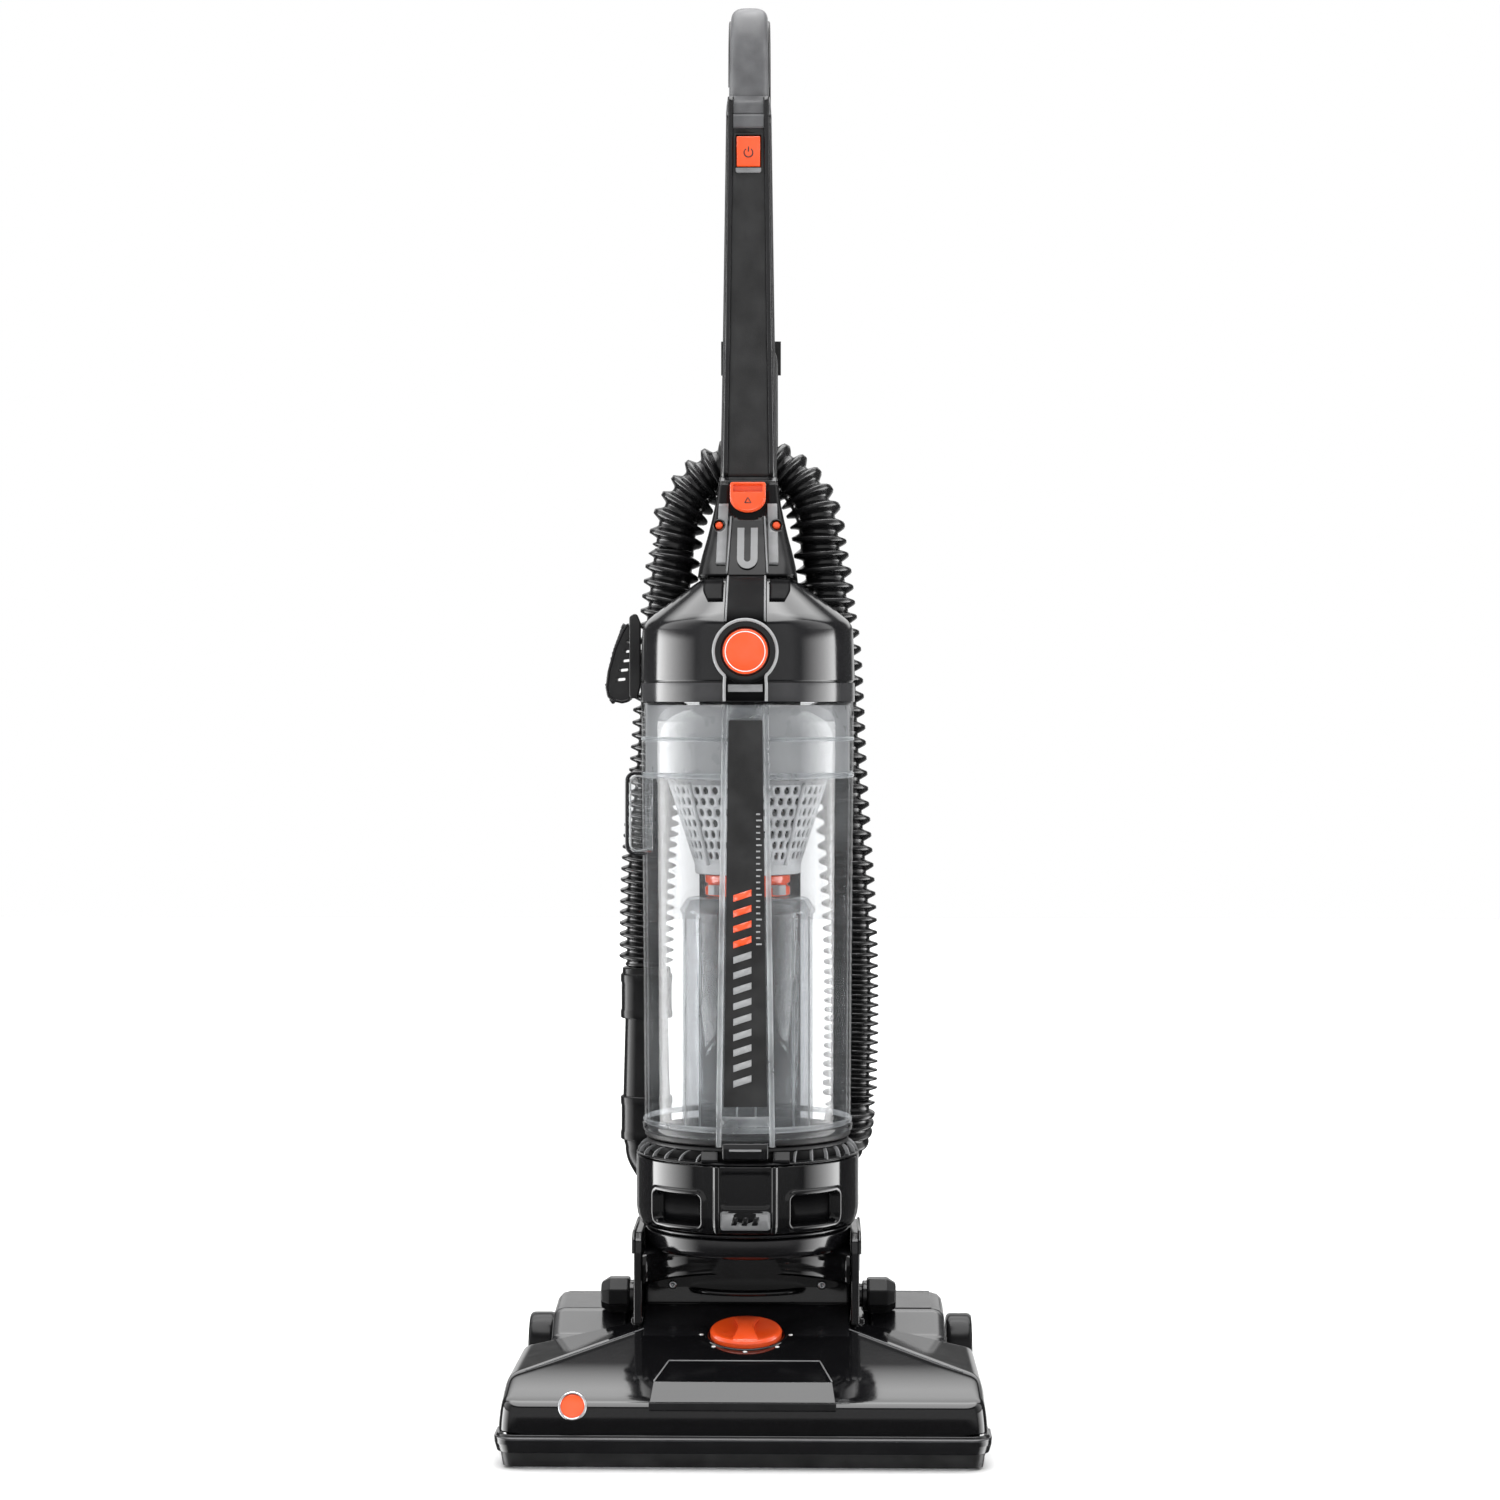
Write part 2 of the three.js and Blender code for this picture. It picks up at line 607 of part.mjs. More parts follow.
// ---------------------------------------------------------------- upright body: motor housing
const upright = group(model);

function lowerHousing() {
  const { radius, bore, half } = BARREL;
  const at = [PIVOT.y, PIVOT.z];
  const front = PIVOT.y - radius;
  const barrel = rod("x", radius, -half, half, at, ROUND);
  const column = block(-half, half, front, 94, PIVOT.z, HOUSING.low - GAP);
  const collar = rod("z", HOUSING.foot, 134, HOUSING.low - GAP, [0, COLUMN_Y], ROUND);
  const brow = cut(block(-half, half, -38, front + 4, 112, 135), rod("z", 85, 100, 134, [0, -75], 40));
  const pocket = rod("x", bore, ...MOTOR.pocket, at, ROUND);
  const beltRoom = rod("x", 20, 53, 69, at, 20);
  const shaftWay = rod("x", 8, 45, 60, at, 12);
  const reach = 70;
  const aroundPivot = (radius, degrees) => {
    const a = (degrees * Math.PI) / 180;
    return [PIVOT.y + radius * Math.cos(a), PIVOT.z + radius * Math.sin(a)];
  };
  const slotRim = [188, 215, 245, 275, 300].map((degrees) => aroundPivot(reach, degrees));
  const beltSlot = alongX([aroundPivot(19, 172), ...slotRim, aroundPivot(19, 304)], 53, 69);
  const pinBores = [-half - 1, 70].map((from) => rod("x", MOTOR.pinRadius, from, from + 8, at, 20));
  const airWay = rod("z", 22, PIVOT.z + 20, HOUSING.low + 1, [0, PIVOT.y], 20);
  const solidForm = join(barrel, column, collar, brow);
  return cut(solidForm, pocket, beltRoom, shaftWay, beltSlot, airWay, ...pinBores);
}
add(upright, "lower_housing", lowerHousing(), BODY_BLACK);

const motor = group(upright, [0, PIVOT.y, PIVOT.z]);
const ringAlongX = (outer, inner, from, to) =>
  cut(rod("x", outer, from, to, [0, 0], 24), rod("x", inner, from - 1, to + 1, [0, 0], 12));
const stator = ringAlongX(BARREL.bore - GAP, 27, ...MOTOR.stator);
const armature = ringAlongX(25.5, SHAFT.hole, ...MOTOR.armature);
function suctionFan() {
  const { radius, front, rear, eye, hub } = FAN;
  const plates = join(
    rod("x", radius, front, front + 3, [0, 0], 24),
    rod("x", radius, rear - 2, rear, [0, 0], 24),
    rod("x", hub, front, rear, [0, 0], 12),
  );
  const blades = Array.from({ length: FAN.blades }, (_, i) =>
    block(front + 2, rear - 1, hub - 2, radius - 1, -1, 1).rotate([(i * 360) / FAN.blades, 0, 0]),
  );
  const shaftHole = rod("x", SHAFT.hole, front - 1, rear + 1, [0, 0], 12);
  const intake = ringAlongX(eye, hub, rear - 3, rear + 1);
  return cut(join(plates, ...blades), shaftHole, intake);
}
const rotorShaft = join(
  rod("x", SHAFT.radius, -69, 67.5, [0, 0], 12),
  rod("x", BELT.pulley, BELT.x0 - 0.5, BELT.x1 + 0.5, [0, 0], 16),
);
add(motor, "motor_stator", stator, COPPER);
add(motor, "rotor_armature", armature, STEEL);
add(motor, "suction_fan", suctionFan(), STEEL);
add(motor, "rotor_shaft", rotorShaft, STEEL);

// ---------------------------------------------------------------- filter housing under the cup
const column = group(upright, [0, COLUMN_Y, 0]);
const housingShell = () =>
  turned([
    [0, HOUSING.low],
    [HOUSING.foot, HOUSING.low],
    [82.5, 153.5],
    [HOUSING.radius, 163],
    [HOUSING.radius, HOUSING.high],
    [HOUSING.radius - 3, HOUSING.high],
    [HOUSING.radius - 3, 163.5],
    [80, 155.6],
    [78.5, 152.2],
    [0, 152.2],
  ]);

function filterHousing() {
  const opening = frontWedge(HOUSING.coverAngle, 120, 152.6, 210);
  const airWay = rod("z", 22, 140, 160, [0, PIVOT.y - COLUMN_Y], 20);
  return cut(housingShell(), opening, airWay);
}

function filterCover() {
  const sector = housingShell().intersect(frontWedge(HOUSING.coverAngle - 0.6, 120, 153, 203.4));
  const window = block(WINDOW.x0, WINDOW.x1, -100, -40, WINDOW.low, WINDOW.high);
  const rib = block(COVER_RIB.x0, COVER_RIB.x1, -87, -80, 156, HOUSING.high - 0.1);
  return join(cut(sector, window, mirrored(window)), rib, mirrored(rib));
}

// A pleated wall, bent to the curve of the cover.
function pleatedFilter() {
  const pleats = 26;
  const spread = (66 * Math.PI) / 180;
  const side = (outer, inner) =>
    Array.from({ length: pleats + 1 }, (_, i) => {
      const a = -Math.PI / 2 - spread + (2 * spread * i) / pleats;
      const r = i % 2 ? outer : inner;
      return [r * Math.cos(a), r * Math.sin(a)];
    });
  return alongZ(shapeOf([...side(76, 66), ...side(70, 60).reverse()]), 156, 200);
}

function ventGrille() {
  const low = HOUSING.high + GAP;
  const rim = turned([
    [74, low],
    [HOUSING.radius, low],
    [HOUSING.radius, low + 1.5],
    [83, low + 2.5],
    [74, low + 2.5],
    [74, low],
  ]);
  const crown = turned([
    [71, low],
    [74.1, low],
    [74.1, low + 8],
    [77, low + 9.5],
    [76.5, low + 12.5],
    [71, low + 12.5],
    [71, low],
  ]);
  const fin = alongX(
    [
      [-84.3, low + 1.5],
      [-73.5, low + 1.5],
      [-73.5, low + 10],
      [-77, low + 10],
    ],
    -0.8,
    0.8,
  );
  const fins = [];
  for (let degrees = 28; degrees <= 112; degrees += 12)
    fins.push(fin.rotate([0, 0, degrees]), fin.rotate([0, 0, -degrees]));
  const shoulder = alongX(
    [
      [-82, low + 1.5],
      [-70, low + 1.5],
      [-70, low + 10],
      [-75, low + 10],
    ],
    20.5,
    32,
  );
  return join(rim, crown, ...fins, shoulder, mirrored(shoulder));
}

add(column, "filter_housing", filterHousing(), BODY_BLACK);
add(column, "filter_cover", filterCover(), GLOSS_BLACK);
add(column, "hepa_filter", pleatedFilter(), FILTER_WHITE);
add(column, "vent_grille", ventGrille(), MATT_BLACK);

// ---------------------------------------------------------------- dirt cup with its lid and filters
const cup = group(column);

// Two straight ribs up the cup's front, which lean towards each other at the top.
function cupRib(side) {
  const { lowX, highX, width, low, high, front } = CUP_RIB;
  const outline = [
    [side * (lowX - width / 2), low],
    [side * (lowX + width / 2), low],
    [side * (highX + width / 2), high],
    [side * (highX - width / 2), high],
  ];
  return alongY(side > 0 ? outline : outline.reverse(), front, -76.5);
}

function dirtCup() {
  const { low, high, rLow, rHigh, wall } = CUP;
  const shell = turned([
    [rLow + 1.4, low],
    [rLow + 1.4, low + 5],
    [rLow, low + 7],
    [rHigh, high],
    [rHigh - wall, high],
    [rLow - wall, low + 7],
    [rLow - wall, low],
    [rLow + 1.4, low],
  ]);
  const inside = rod("z", rLow - wall, low - 10, high + 1, [0, 0], ROUND, rHigh - wall);
  const inlet = block(-INLET.half, INLET.half, 60, 90, INLET.low, INLET.high);
  const { out, front, rear, low: bulgeLow, high: bulgeHigh } = BULGE;
  const bulgeForm = (inset, to) =>
    alongX(
      [
        [front + inset, bulgeLow + inset],
        [rear - inset, bulgeLow + inset],
        [rear - inset, bulgeHigh - inset],
        [front + 10, bulgeHigh - inset],
        [front + inset, bulgeHigh - 10],
      ],
      out + inset,
      to,
    );
  const bulgeHollow = bulgeForm(BULGE.wall, -50);
  const bulge = cut(bulgeForm(0, -60), bulgeHollow);
  return join(cut(shell, inlet, bulgeHollow), cut(join(bulge, cupRib(1), cupRib(-1)), inside));
}

add(cup, "dirt_cup", dirtCup(), CLEAR);

// The label strip lies between the ribs and follows the cup's taper.
const strip = loft([
  [[-16.2, 0, -149], [16.2, 0, -149], [16.2, 1.2, -149], [-16.2, 1.2, -149]],
  [[-12.2, 0, 149], [12.2, 0, 149], [12.2, 1.2, 149], [-12.2, 1.2, 149]],
]);
const stripFrame = group(cup, [0, -82.1, 384.5], Math.atan((CUP.rHigh - CUP.rLow) / (CUP.high - CUP.low)));
add(stripFrame, "cup_strip", strip, MATT_BLACK);

function cupDoor() {
  const plate = turned([
    [0, 217],
    [75.5, 217],
    [78.6, 218.5],
    [78.6, 222],
    [0, 222],
  ]);
  const latch = join(block(-17, 17, -86, -74, 208, 221), block(-12, 12, -88.5, -84, 212, 215.5));
  const hinge = block(-20, 20, 74, 83.5, 217.5, 222);
  return join(plate, latch, hinge);
}
add(cup, "cup_door", cut(cupDoor(), block(-40, 40, -80, -70, 200, 216.8)), MATT_BLACK);

const dustTube = turned([
  [46.5, 222.8],
  [50, 222.8],
  [50, 386],
  [52, 389],
  [46, 398],
  [34, 400],
  [31, 400],
  [31, 397.5],
  [45, 395.5],
  [48, 388],
  [48, 226],
  [46.5, 222.8],
]);
add(cup, "fine_dust_tube", dustTube, CLEAR);

const collarRing = turned(
  [
    [25, 400.4],
    [32.6, 400.4],
    [32.6, 417],
    [25, 417],
    [25, 400.4],
  ],
  24,
);
add(cup, "filter_ring", collarRing, ORANGE);

const filterCone = turned([
  [30, 417.4],
  [40, 417.4],
  [40.5, 424],
  [61, 487],
  [76, 491],
  [76, 546],
  [73.5, 546],
  [73.5, 493.5],
  [58.5, 489.5],
  [37.8, 425],
  [30, 421],
  [30, 417.4],
]);
add(cup, "filter_cone", filterCone, PALE_MESH);

function cupLid() {
  const { low, band, shoulder, top, radius, crown } = LID;
  const shell = turned([
    [0, top - 4],
    [crown - 3, top - 4],
    [75, shoulder - 1],
    [77.6, shoulder - 5],
    [77.6, low],
    [radius, low],
    [radius, band],
    [radius - 1, band + 0.8],
    [radius, band + 1.6],
    [radius - 0.9, shoulder - 4],
    [radius - 3.6, shoulder + 4],
    [crown, top],
    [0, top],
  ]);
  const spineBar = alongX(
    [
      [-80, band + 2],
      [-85, band + 2],
      [-84, shoulder - 8],
      [-76, shoulder + 8],
      [-40, top + 0.2],
      [-30, top - 4.2],
      [-70, shoulder],
    ],
    -17,
    17,
  );
  const boss = join(
    rod("y", BADGE.ring, -87, -78, [0, BADGE.z], 28),
    block(-17, 17, -87, -78, low, BADGE.z),
  );
  const hollow = turned([
    [0, low - 1],
    [77.6, low - 1],
    [77.6, shoulder - 5],
    [75, shoulder - 1],
    [crown - 3, top - 4],
    [0, top - 4],
  ]);
  return join(shell, cut(join(spineBar, boss), hollow));
}
add(cup, "cup_lid", cupLid(), BODY_BLACK);
add(cup, "lid_badge", rod("y", BADGE.disc, -90, -87.3, [0, BADGE.z], 24), ORANGE);

// ---------------------------------------------------------------- spine, neck and handle
function spineHousing() {
  const { half, front, rear, low, high } = SPINE;
  const outline = (inset) => {
    const x = half - inset;
    const y0 = front + inset;
    const y1 = rear - inset;
    return shapeOf([
      [-x, y0],
      [x, y0],
      [x, y1 - 10],
      [x - 10, y1],
      [-x + 10, y1],
      [-x, y1 - 10],
    ]);
  };
  const shell = cut(alongZ(outline(0), low, high), alongZ(outline(WALL), low + 3, high + 1));
  const inlet = block(-INLET.half, INLET.half, front - 5, front + 5, INLET.low, INLET.high);
  const outlet = rod("x", 14, half - 5, half + 5, [118, 189], SMALL_ROUND);
  const toolArm = block(-88.5, -half + 10, front + 16.5, rear - 1, 578, 590);
  const toolPost = block(-91.6, -87.8, 90, rear - 1, 578, 590);
  return join(cut(shell, inlet, outlet), toolArm, toolPost);
}
add(upright, "spine_housing", spineHousing(), BODY_BLACK);

// An eight-sided ring: a rectangle across X and Y with its front and rear corners cut off.
function bevelled(z, half, front, rear, frontCut, rearCut) {
  return [
    [-half + frontCut, front, z],
    [half - frontCut, front, z],
    [half, front + frontCut, z],
    [half, rear - rearCut, z],
    [half - rearCut, rear, z],
    [-half + rearCut, rear, z],
    [-half, rear - rearCut, z],
    [-half, front + frontCut, z],
  ];
}

function neckHousing() {
  const form = (inset, extra) =>
    loft([
      bevelled(643 - extra, 38 - inset, -4 + inset, 128 - inset, 12, 16),
      bevelled(660, 35.5 - inset, 8 + inset, 118 - inset, 10, 12),
      bevelled(690, 27.5 - inset, 27 + inset, 104 - inset, 7, 8),
      bevelled(718 + extra, 22.8 - inset, 33 + inset, 93 - inset, 6, 6),
    ]);
  const { half, low, high, front, rear, travel } = LATCH;
  const slide = block(-half - 0.8, half + 0.8, front - 14, rear + 1, low - travel - 1.5, high + 3);
  const backing = block(-half - 4, half + 4, rear + 0.6, rear + 4, low - travel - 4, 714);
  const holeAt = (x) => rod("y", BUTTON.radius + 0.5, 10, 60, [x, BUTTON.z], 14);
  const buttonHoles = [holeAt(-BUTTON.x), holeAt(BUTTON.x)];
  const shell = cut(form(0, 0), form(3.2, 1));
  return cut(join(cut(shell, slide), backing), ...buttonHoles);
}
add(upright, "neck_housing", neckHousing(), BODY_BLACK);

function cupLatch() {
  const { half, low, high, front, rear } = LATCH;
  const shape = new THREE.Shape();
  const mid = low + 11;
  shape.moveTo(half, high);
  shape.lineTo(-half, high);
  shape.lineTo(-half, mid);
  shape.absellipse(0, mid, half, mid - low, Math.PI, 2 * Math.PI);
  const plate = alongY(shape, front, rear);
  const scoop = block(-half + 3.5, half - 3.5, front - 1, front + 3, high - 7, high - 3);
  return cut(plate, scoop);
}
add(upright, "cup_latch", cupLatch(), ORANGE);
for (const [name, side] of [["handle_button_left", -1], ["handle_button_right", 1]])
  add(upright, name, rod("y", BUTTON.radius, 24, 36, [side * BUTTON.x, BUTTON.z], 14), ORANGE);

function handleTube() {
  const form = (inset, extra) =>
    loft([
      bevelled(HANDLE.low - extra, 21.9 - inset, 44 + inset, 90 - inset, 8, 8),
      bevelled(820, 20.2 - inset, 48.5 + inset, 88 - inset, 7, 8),
      bevelled(HANDLE.high - GAP + extra, 17.6 - inset, 51 + inset, 84 - inset, 6, 7),
    ]);
  const { half, low, high, rear } = SWITCH;
  const switchHole = block(-half - 0.8, half + 0.8, 40, rear + 2, low - 1.2, high + 1.2);
  return cut(form(0, 0), form(2.6, 1), switchHole);
}
add(upright, "handle_tube", handleTube(), BODY_BLACK);

function powerSwitch() {
  const { half, low, high, front, rear } = SWITCH;
  const mid = (low + high) / 2;
  return alongX(
    [
      [front + 1.5, low],
      [rear - 2, low + 1],
      [rear, mid],
      [rear - 2, high - 1],
      [front, high],
      [front + 0.8, mid],
    ],
    -half,
    half,
  );
}
add(upright, "power_switch", powerSwitch(), ORANGE);

// The grip is a closed loop behind the front strap, wide enough for a hand.
function handleGrip() {
  const path = [
    [0, 67, HANDLE.high + 2],
    [0, 66, 1030],
    [0, 71, 1056],
    [0, 88, 1073],
    [0, 112, 1072],
    [0, 131, 1054],
    [0, 138, 1025],
    [0, 134, 990],
    [0, 119, 957],
    [0, 97, 934],
    [0, 80, 922],
  ];
  const section = [
    [-15.8, -6],
    [-15.8, 6],
    [-10.5, 11.5],
    [10.5, 11.5],
    [15.8, 6],
    [15.8, -6],
    [10.5, -11.5],
    [-10.5, -11.5],
  ].map(([across, thick]) => [thick, across]);
  const loop = swept(path, section, 26);
  const foot = loft([
    bevelled(HANDLE.high, 17.6, 51, 84, 6, 7),
    bevelled(HANDLE.high + 16, 16.2, 53, 80, 6, 7),
  ]);
  const stick = loft([
    bevelled(860, 20.6, 47, 88.2, 6, 6),
    bevelled(HANDLE.high - 0.05, 18.6, 50, 85.2, 6, 6),
  ]);
  return cut(join(loop, foot), stick);
}
add(upright, "handle_grip", handleGrip(), GREY_GRIP);

// ---------------------------------------------------------------- cord and its hooks
function cordHook(z) {
  const stem = block(-HOOK.stem, HOOK.stem, 0, HOOK.plate + 0.5, z - 6, z + 6);
  const plate = block(-HOOK.half, HOOK.half, HOOK.plate, HOOK.plate + 4, z - 6, z + 21);
  return join(stem, plate);
}
const upperHook = cut(cordHook(0), block(-30, 30, -1, 91.5, -30, 30));
add(upright, "cord_hook_upper", upperHook, MATT_BLACK, [0, 0, HOOK.z]);
const lowerHook = cut(cordHook(0), block(-30, 30, -1, SPINE.rear + GAP, -30, 30)).rotate([0, 180, 0]);
add(upright, "cord_hook_lower", lowerHook, MATT_BLACK, [0, 0, HOOK.lowerZ]);

function powerCord() {
  const top = HOOK.z + 2;
  const bottom = HOOK.lowerZ - 2;
  const oval = (half) => {
    const shape = new THREE.Shape();
    shape.moveTo(half, bottom);
    shape.lineTo(half, top);
    shape.absarc(0, top, half, 0, Math.PI);
    shape.lineTo(-half, bottom);
    shape.absarc(0, bottom, half, Math.PI, 2 * Math.PI);
    return shape;
  };
  const { outer, inner, front, rear } = CORD;
  const loops = cut(alongY(oval(outer), front, rear), alongY(oval(inner), front - 1, rear + 1));
  const blade = (x) => block(x, x + 1.6, front + 4, front + 9, 595, 612);
  return join(loops, block(-31, -18, front + 1, rear - 1, 560, 596), blade(-29), blade(-22));
}
add(upright, "power_cord", powerCord(), RUBBER);

// ---------------------------------------------------------------- suction hose, wand and ducts
const hoseLeftTop = [-HOSE.arch, HOSE.y, HOSE.archZ];
const hosePath = [
  [WAND.x, WAND.y, WAND.high + 0.6],
  [WAND.x, WAND.y, WAND.high + 20],
  [-79.5, 91, 420],
  [-72.5, 96, 510],
  [-67, 101, 590],
  hoseLeftTop,
  [-45, HOSE.y + 4, 720],
  [0, HOSE.y + 6.3, 738],
  [45, HOSE.y + 4, 720],
  [HOSE.arch, HOSE.y, HOSE.archZ],
  [67, 103, 590],
  [72, 97, 480],
  [79, 91, 370],
  [80, 90, 290],
  [79, 90, 256],
  [79, 90, 237],
];
const tube = (points, outer, inner, steps, sides = 10) =>
  cut(swept(points, ringOf(outer, sides), steps), swept(stretched(points), ringOf(inner, sides), steps));

// The same path, carried 2 mm past each end so that a bore opens through both caps.
function stretched(points) {
  const beyond = (end, next) => {
    const way = new THREE.Vector3(...end).sub(new THREE.Vector3(...next)).setLength(2);
    return new THREE.Vector3(...end).add(way).toArray();
  };
  const last = points.length - 1;
  return [beyond(points[0], points[1]), ...points, beyond(points[last], points[last - 1])];
}
add(upright, "hose", tube(hosePath, HOSE.radius, HOSE.bore, 26), RUBBER);

const cuffPath = [
  [79, 90, 236.4],
  [79, 90, 226],
  [75, 97, 207],
  [63, 108, 195],
  [50, 116, 190],
  [SPINE.half + GAP, 118, 189],
];
const cuff = cut(tube(cuffPath, 17.4, 14, 8), block(-60, SPINE.half + GAP, 90, 140, 150, 230));
add(upright, "hose_end_cuff", cuff, MATT_BLACK);

function wand() {
  const { x, y, low, high } = WAND;
  const at = [x, y];
  const sleeve = (r, z0, z1) => rod("z", r, z0, z1, at, 20);
  const body = join(
    sleeve(20.5, low, low + 34),
    rod("z", 18.5, low + 33, low + 96, at, 20, 16.8),
    sleeve(20.5, low + 95, low + 130),
    sleeve(19, low + 129, high),
  );
  return cut(body, rod("z", 14.5, low - 1, high + 1, at, 20));
}
add(upright, "wand", wand(), MATT_BLACK);

const elbowPath = [
  [WAND.x, WAND.y, WAND.low - GAP],
  [WAND.x, WAND.y, 196],
  [-72, 99, 178],
  [-62, 109, 163],
  [-60, 111, 153],
  [-60, 111, 149.4],
];
const elbow = cut(tube(elbowPath, 17.2, 13.5, 9), block(-90, -30, 90, 150, 140, 150));
add(upright, "lower_elbow", elbow, MATT_BLACK);

const nozzleHosePath = [
  [DUCT.collar[0], DUCT.collar[1], 28.6],
  [DUCT.collar[0], DUCT.collar[1], 40],
  [-60, 112, 85],
  [-60, 111, 138],
  [-60, 111, 149],
];
add(model, "nozzle_hose", tube(nozzleHosePath, 14.2, 11.5, 8), RUBBER);

// A soft frame round the air inlet, pressed between the spine and the back of the cup.
function inletSeal() {
  const frame = block(-INLET.half - 5, INLET.half + 5, 92, SPINE.front - GAP, INLET.low - 5, INLET.high + 5);
  const way = block(-INLET.half, INLET.half, 80, 110, INLET.low, INLET.high);
  return cut(frame, way, rod("z", CUP.rHigh + 0.6, INLET.low - 9, INLET.high + 9, [0, COLUMN_Y], ROUND));
}
add(upright, "inlet_seal", inletSeal(), RUBBER);

// ---------------------------------------------------------------- dusting brush on its post
function brushTool() {
  const { post, front, rear, pitch } = TOOL;
  const outline = new THREE.Shape();
  outline.moveTo(post, 612);
  outline.quadraticCurveTo(-104, 600, -110, 572);
  outline.quadraticCurveTo(-115, 553, -104, 550);
  outline.quadraticCurveTo(-98, 546, post, 550);
  const body = alongY(outline, front, rear);
  const slots = Array.from({ length: TOOL.slots }, (_, i) => {
    const z = 566 + i * pitch;
    const x = post - 11 + i * 1.8;
    return block(x, x + 7, 60, 120, z, z + 2.2);
  });
  return cut(body, ...slots);
}
add(upright, "brush_tool", brushTool(), MATT_BLACK);

export default model;
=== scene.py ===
"""Looks of an upright vacuum cleaner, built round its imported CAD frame.

Lengths are in millimetres, and piece() turns them into metres.
"""

import json
import math

import bmesh
import bpy
import numpy as np
from mathutils import Matrix, Vector


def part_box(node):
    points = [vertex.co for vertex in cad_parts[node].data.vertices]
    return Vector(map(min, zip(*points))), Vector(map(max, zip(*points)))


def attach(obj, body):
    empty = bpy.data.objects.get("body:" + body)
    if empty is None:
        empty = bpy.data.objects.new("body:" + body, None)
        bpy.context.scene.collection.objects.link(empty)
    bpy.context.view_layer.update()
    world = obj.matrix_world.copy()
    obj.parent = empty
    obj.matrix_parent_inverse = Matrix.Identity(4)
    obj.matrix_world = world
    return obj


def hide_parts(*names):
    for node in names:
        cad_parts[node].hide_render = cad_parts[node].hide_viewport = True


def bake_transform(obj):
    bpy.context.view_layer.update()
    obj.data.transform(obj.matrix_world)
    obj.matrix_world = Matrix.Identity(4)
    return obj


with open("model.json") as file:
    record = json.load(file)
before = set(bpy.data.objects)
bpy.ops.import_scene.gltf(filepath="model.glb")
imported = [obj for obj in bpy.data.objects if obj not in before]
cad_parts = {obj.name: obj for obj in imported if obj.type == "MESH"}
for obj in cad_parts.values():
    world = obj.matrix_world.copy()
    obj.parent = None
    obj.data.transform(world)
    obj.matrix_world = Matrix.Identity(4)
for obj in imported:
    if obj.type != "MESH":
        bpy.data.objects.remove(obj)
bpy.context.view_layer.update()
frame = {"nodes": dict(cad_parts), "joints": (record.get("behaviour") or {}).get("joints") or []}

MM = 0.001
TAU = 2 * math.pi


# -------------------------------------------------- places read from the frame
def span(node):
    """((x0, x1), (y0, y1), (z0, z1)) of a CAD node, in millimetres."""
    low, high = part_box(node)
    return tuple((a / MM, b / MM) for a, b in zip(low, high))


def middle(node):
    """Centre of a CAD node's box."""
    return tuple((a + b) / 2 for a, b in span(node))


def joint(name):
    return next(j for j in frame["joints"] if j["name"] == name)


COLUMN_Y = middle("filter_ring")[1]  # vertical axis of cup, lid and filter housing
PIVOT_Y, PIVOT_Z = (v / MM for v in joint("recline")["pos_m"][1:])
AXIS = (0, COLUMN_Y)


# -------------------------------------------------- material nodes
class Shader:
    """A material under construction: add() makes a node, link() joins two sockets."""

    def __init__(self, name):
        self.material = bpy.data.materials.new(name)
        self.material.use_nodes = True
        self.nodes = self.material.node_tree.nodes
        self.links = self.material.node_tree.links
        self.nodes.clear()
        self.out = self.nodes.new("ShaderNodeOutputMaterial")
        self.place = self.nodes.new("ShaderNodeNewGeometry").outputs["Position"]

    def add(self, kind, **values):
        node = self.nodes.new("ShaderNode" + kind)
        for key, value in values.items():
            if key in node.inputs:
                node.inputs[key].default_value = value
            else:
                setattr(node, key, value)
        return node

    def link(self, source, node, socket):
        self.links.new(source, node.inputs[socket])

    def noise(self, scale, detail=3.0):
        node = self.add("TexNoise", Scale=scale, Detail=detail)
        self.link(self.place, node, "Vector")
        return node.outputs["Fac"]

    def ramp(self, source, low, high, start=0.35, end=0.65):
        node = self.add("MapRange")
        node.inputs["From Min"].default_value = start
        node.inputs["From Max"].default_value = end
        node.inputs["To Min"].default_value = low
        node.inputs["To Max"].default_value = high
        self.link(source, node, "Value")
        return node.outputs["Result"]

    def mix(self, factor, first, second):
        node = self.add("Mix", data_type="RGBA")
        node.inputs["A"].default_value = (*first, 1)
        node.inputs["B"].default_value = (*second, 1)
        self.link(factor, node, "Factor")
        return node.outputs["Result"]

    def bump(self, height, strength, distance, under=None):
        node = self.add("Bump", Strength=strength, Distance=distance)
        self.link(height, node, "Height")
        if under is not None:
            self.link(under, node, "Normal")
        return node.outputs["Normal"]

    def surface(self, shader):
        self.links.new(shader, self.out.inputs["Surface"])
        return self.material


SHEEN_SPREAD = 0.12  # how much a moulding's roughness varies either way
CLEAR_IOR = 1.55
CLEAR_MIRROR = 0.42  # share of the full mirror reflection that a clear wall keeps


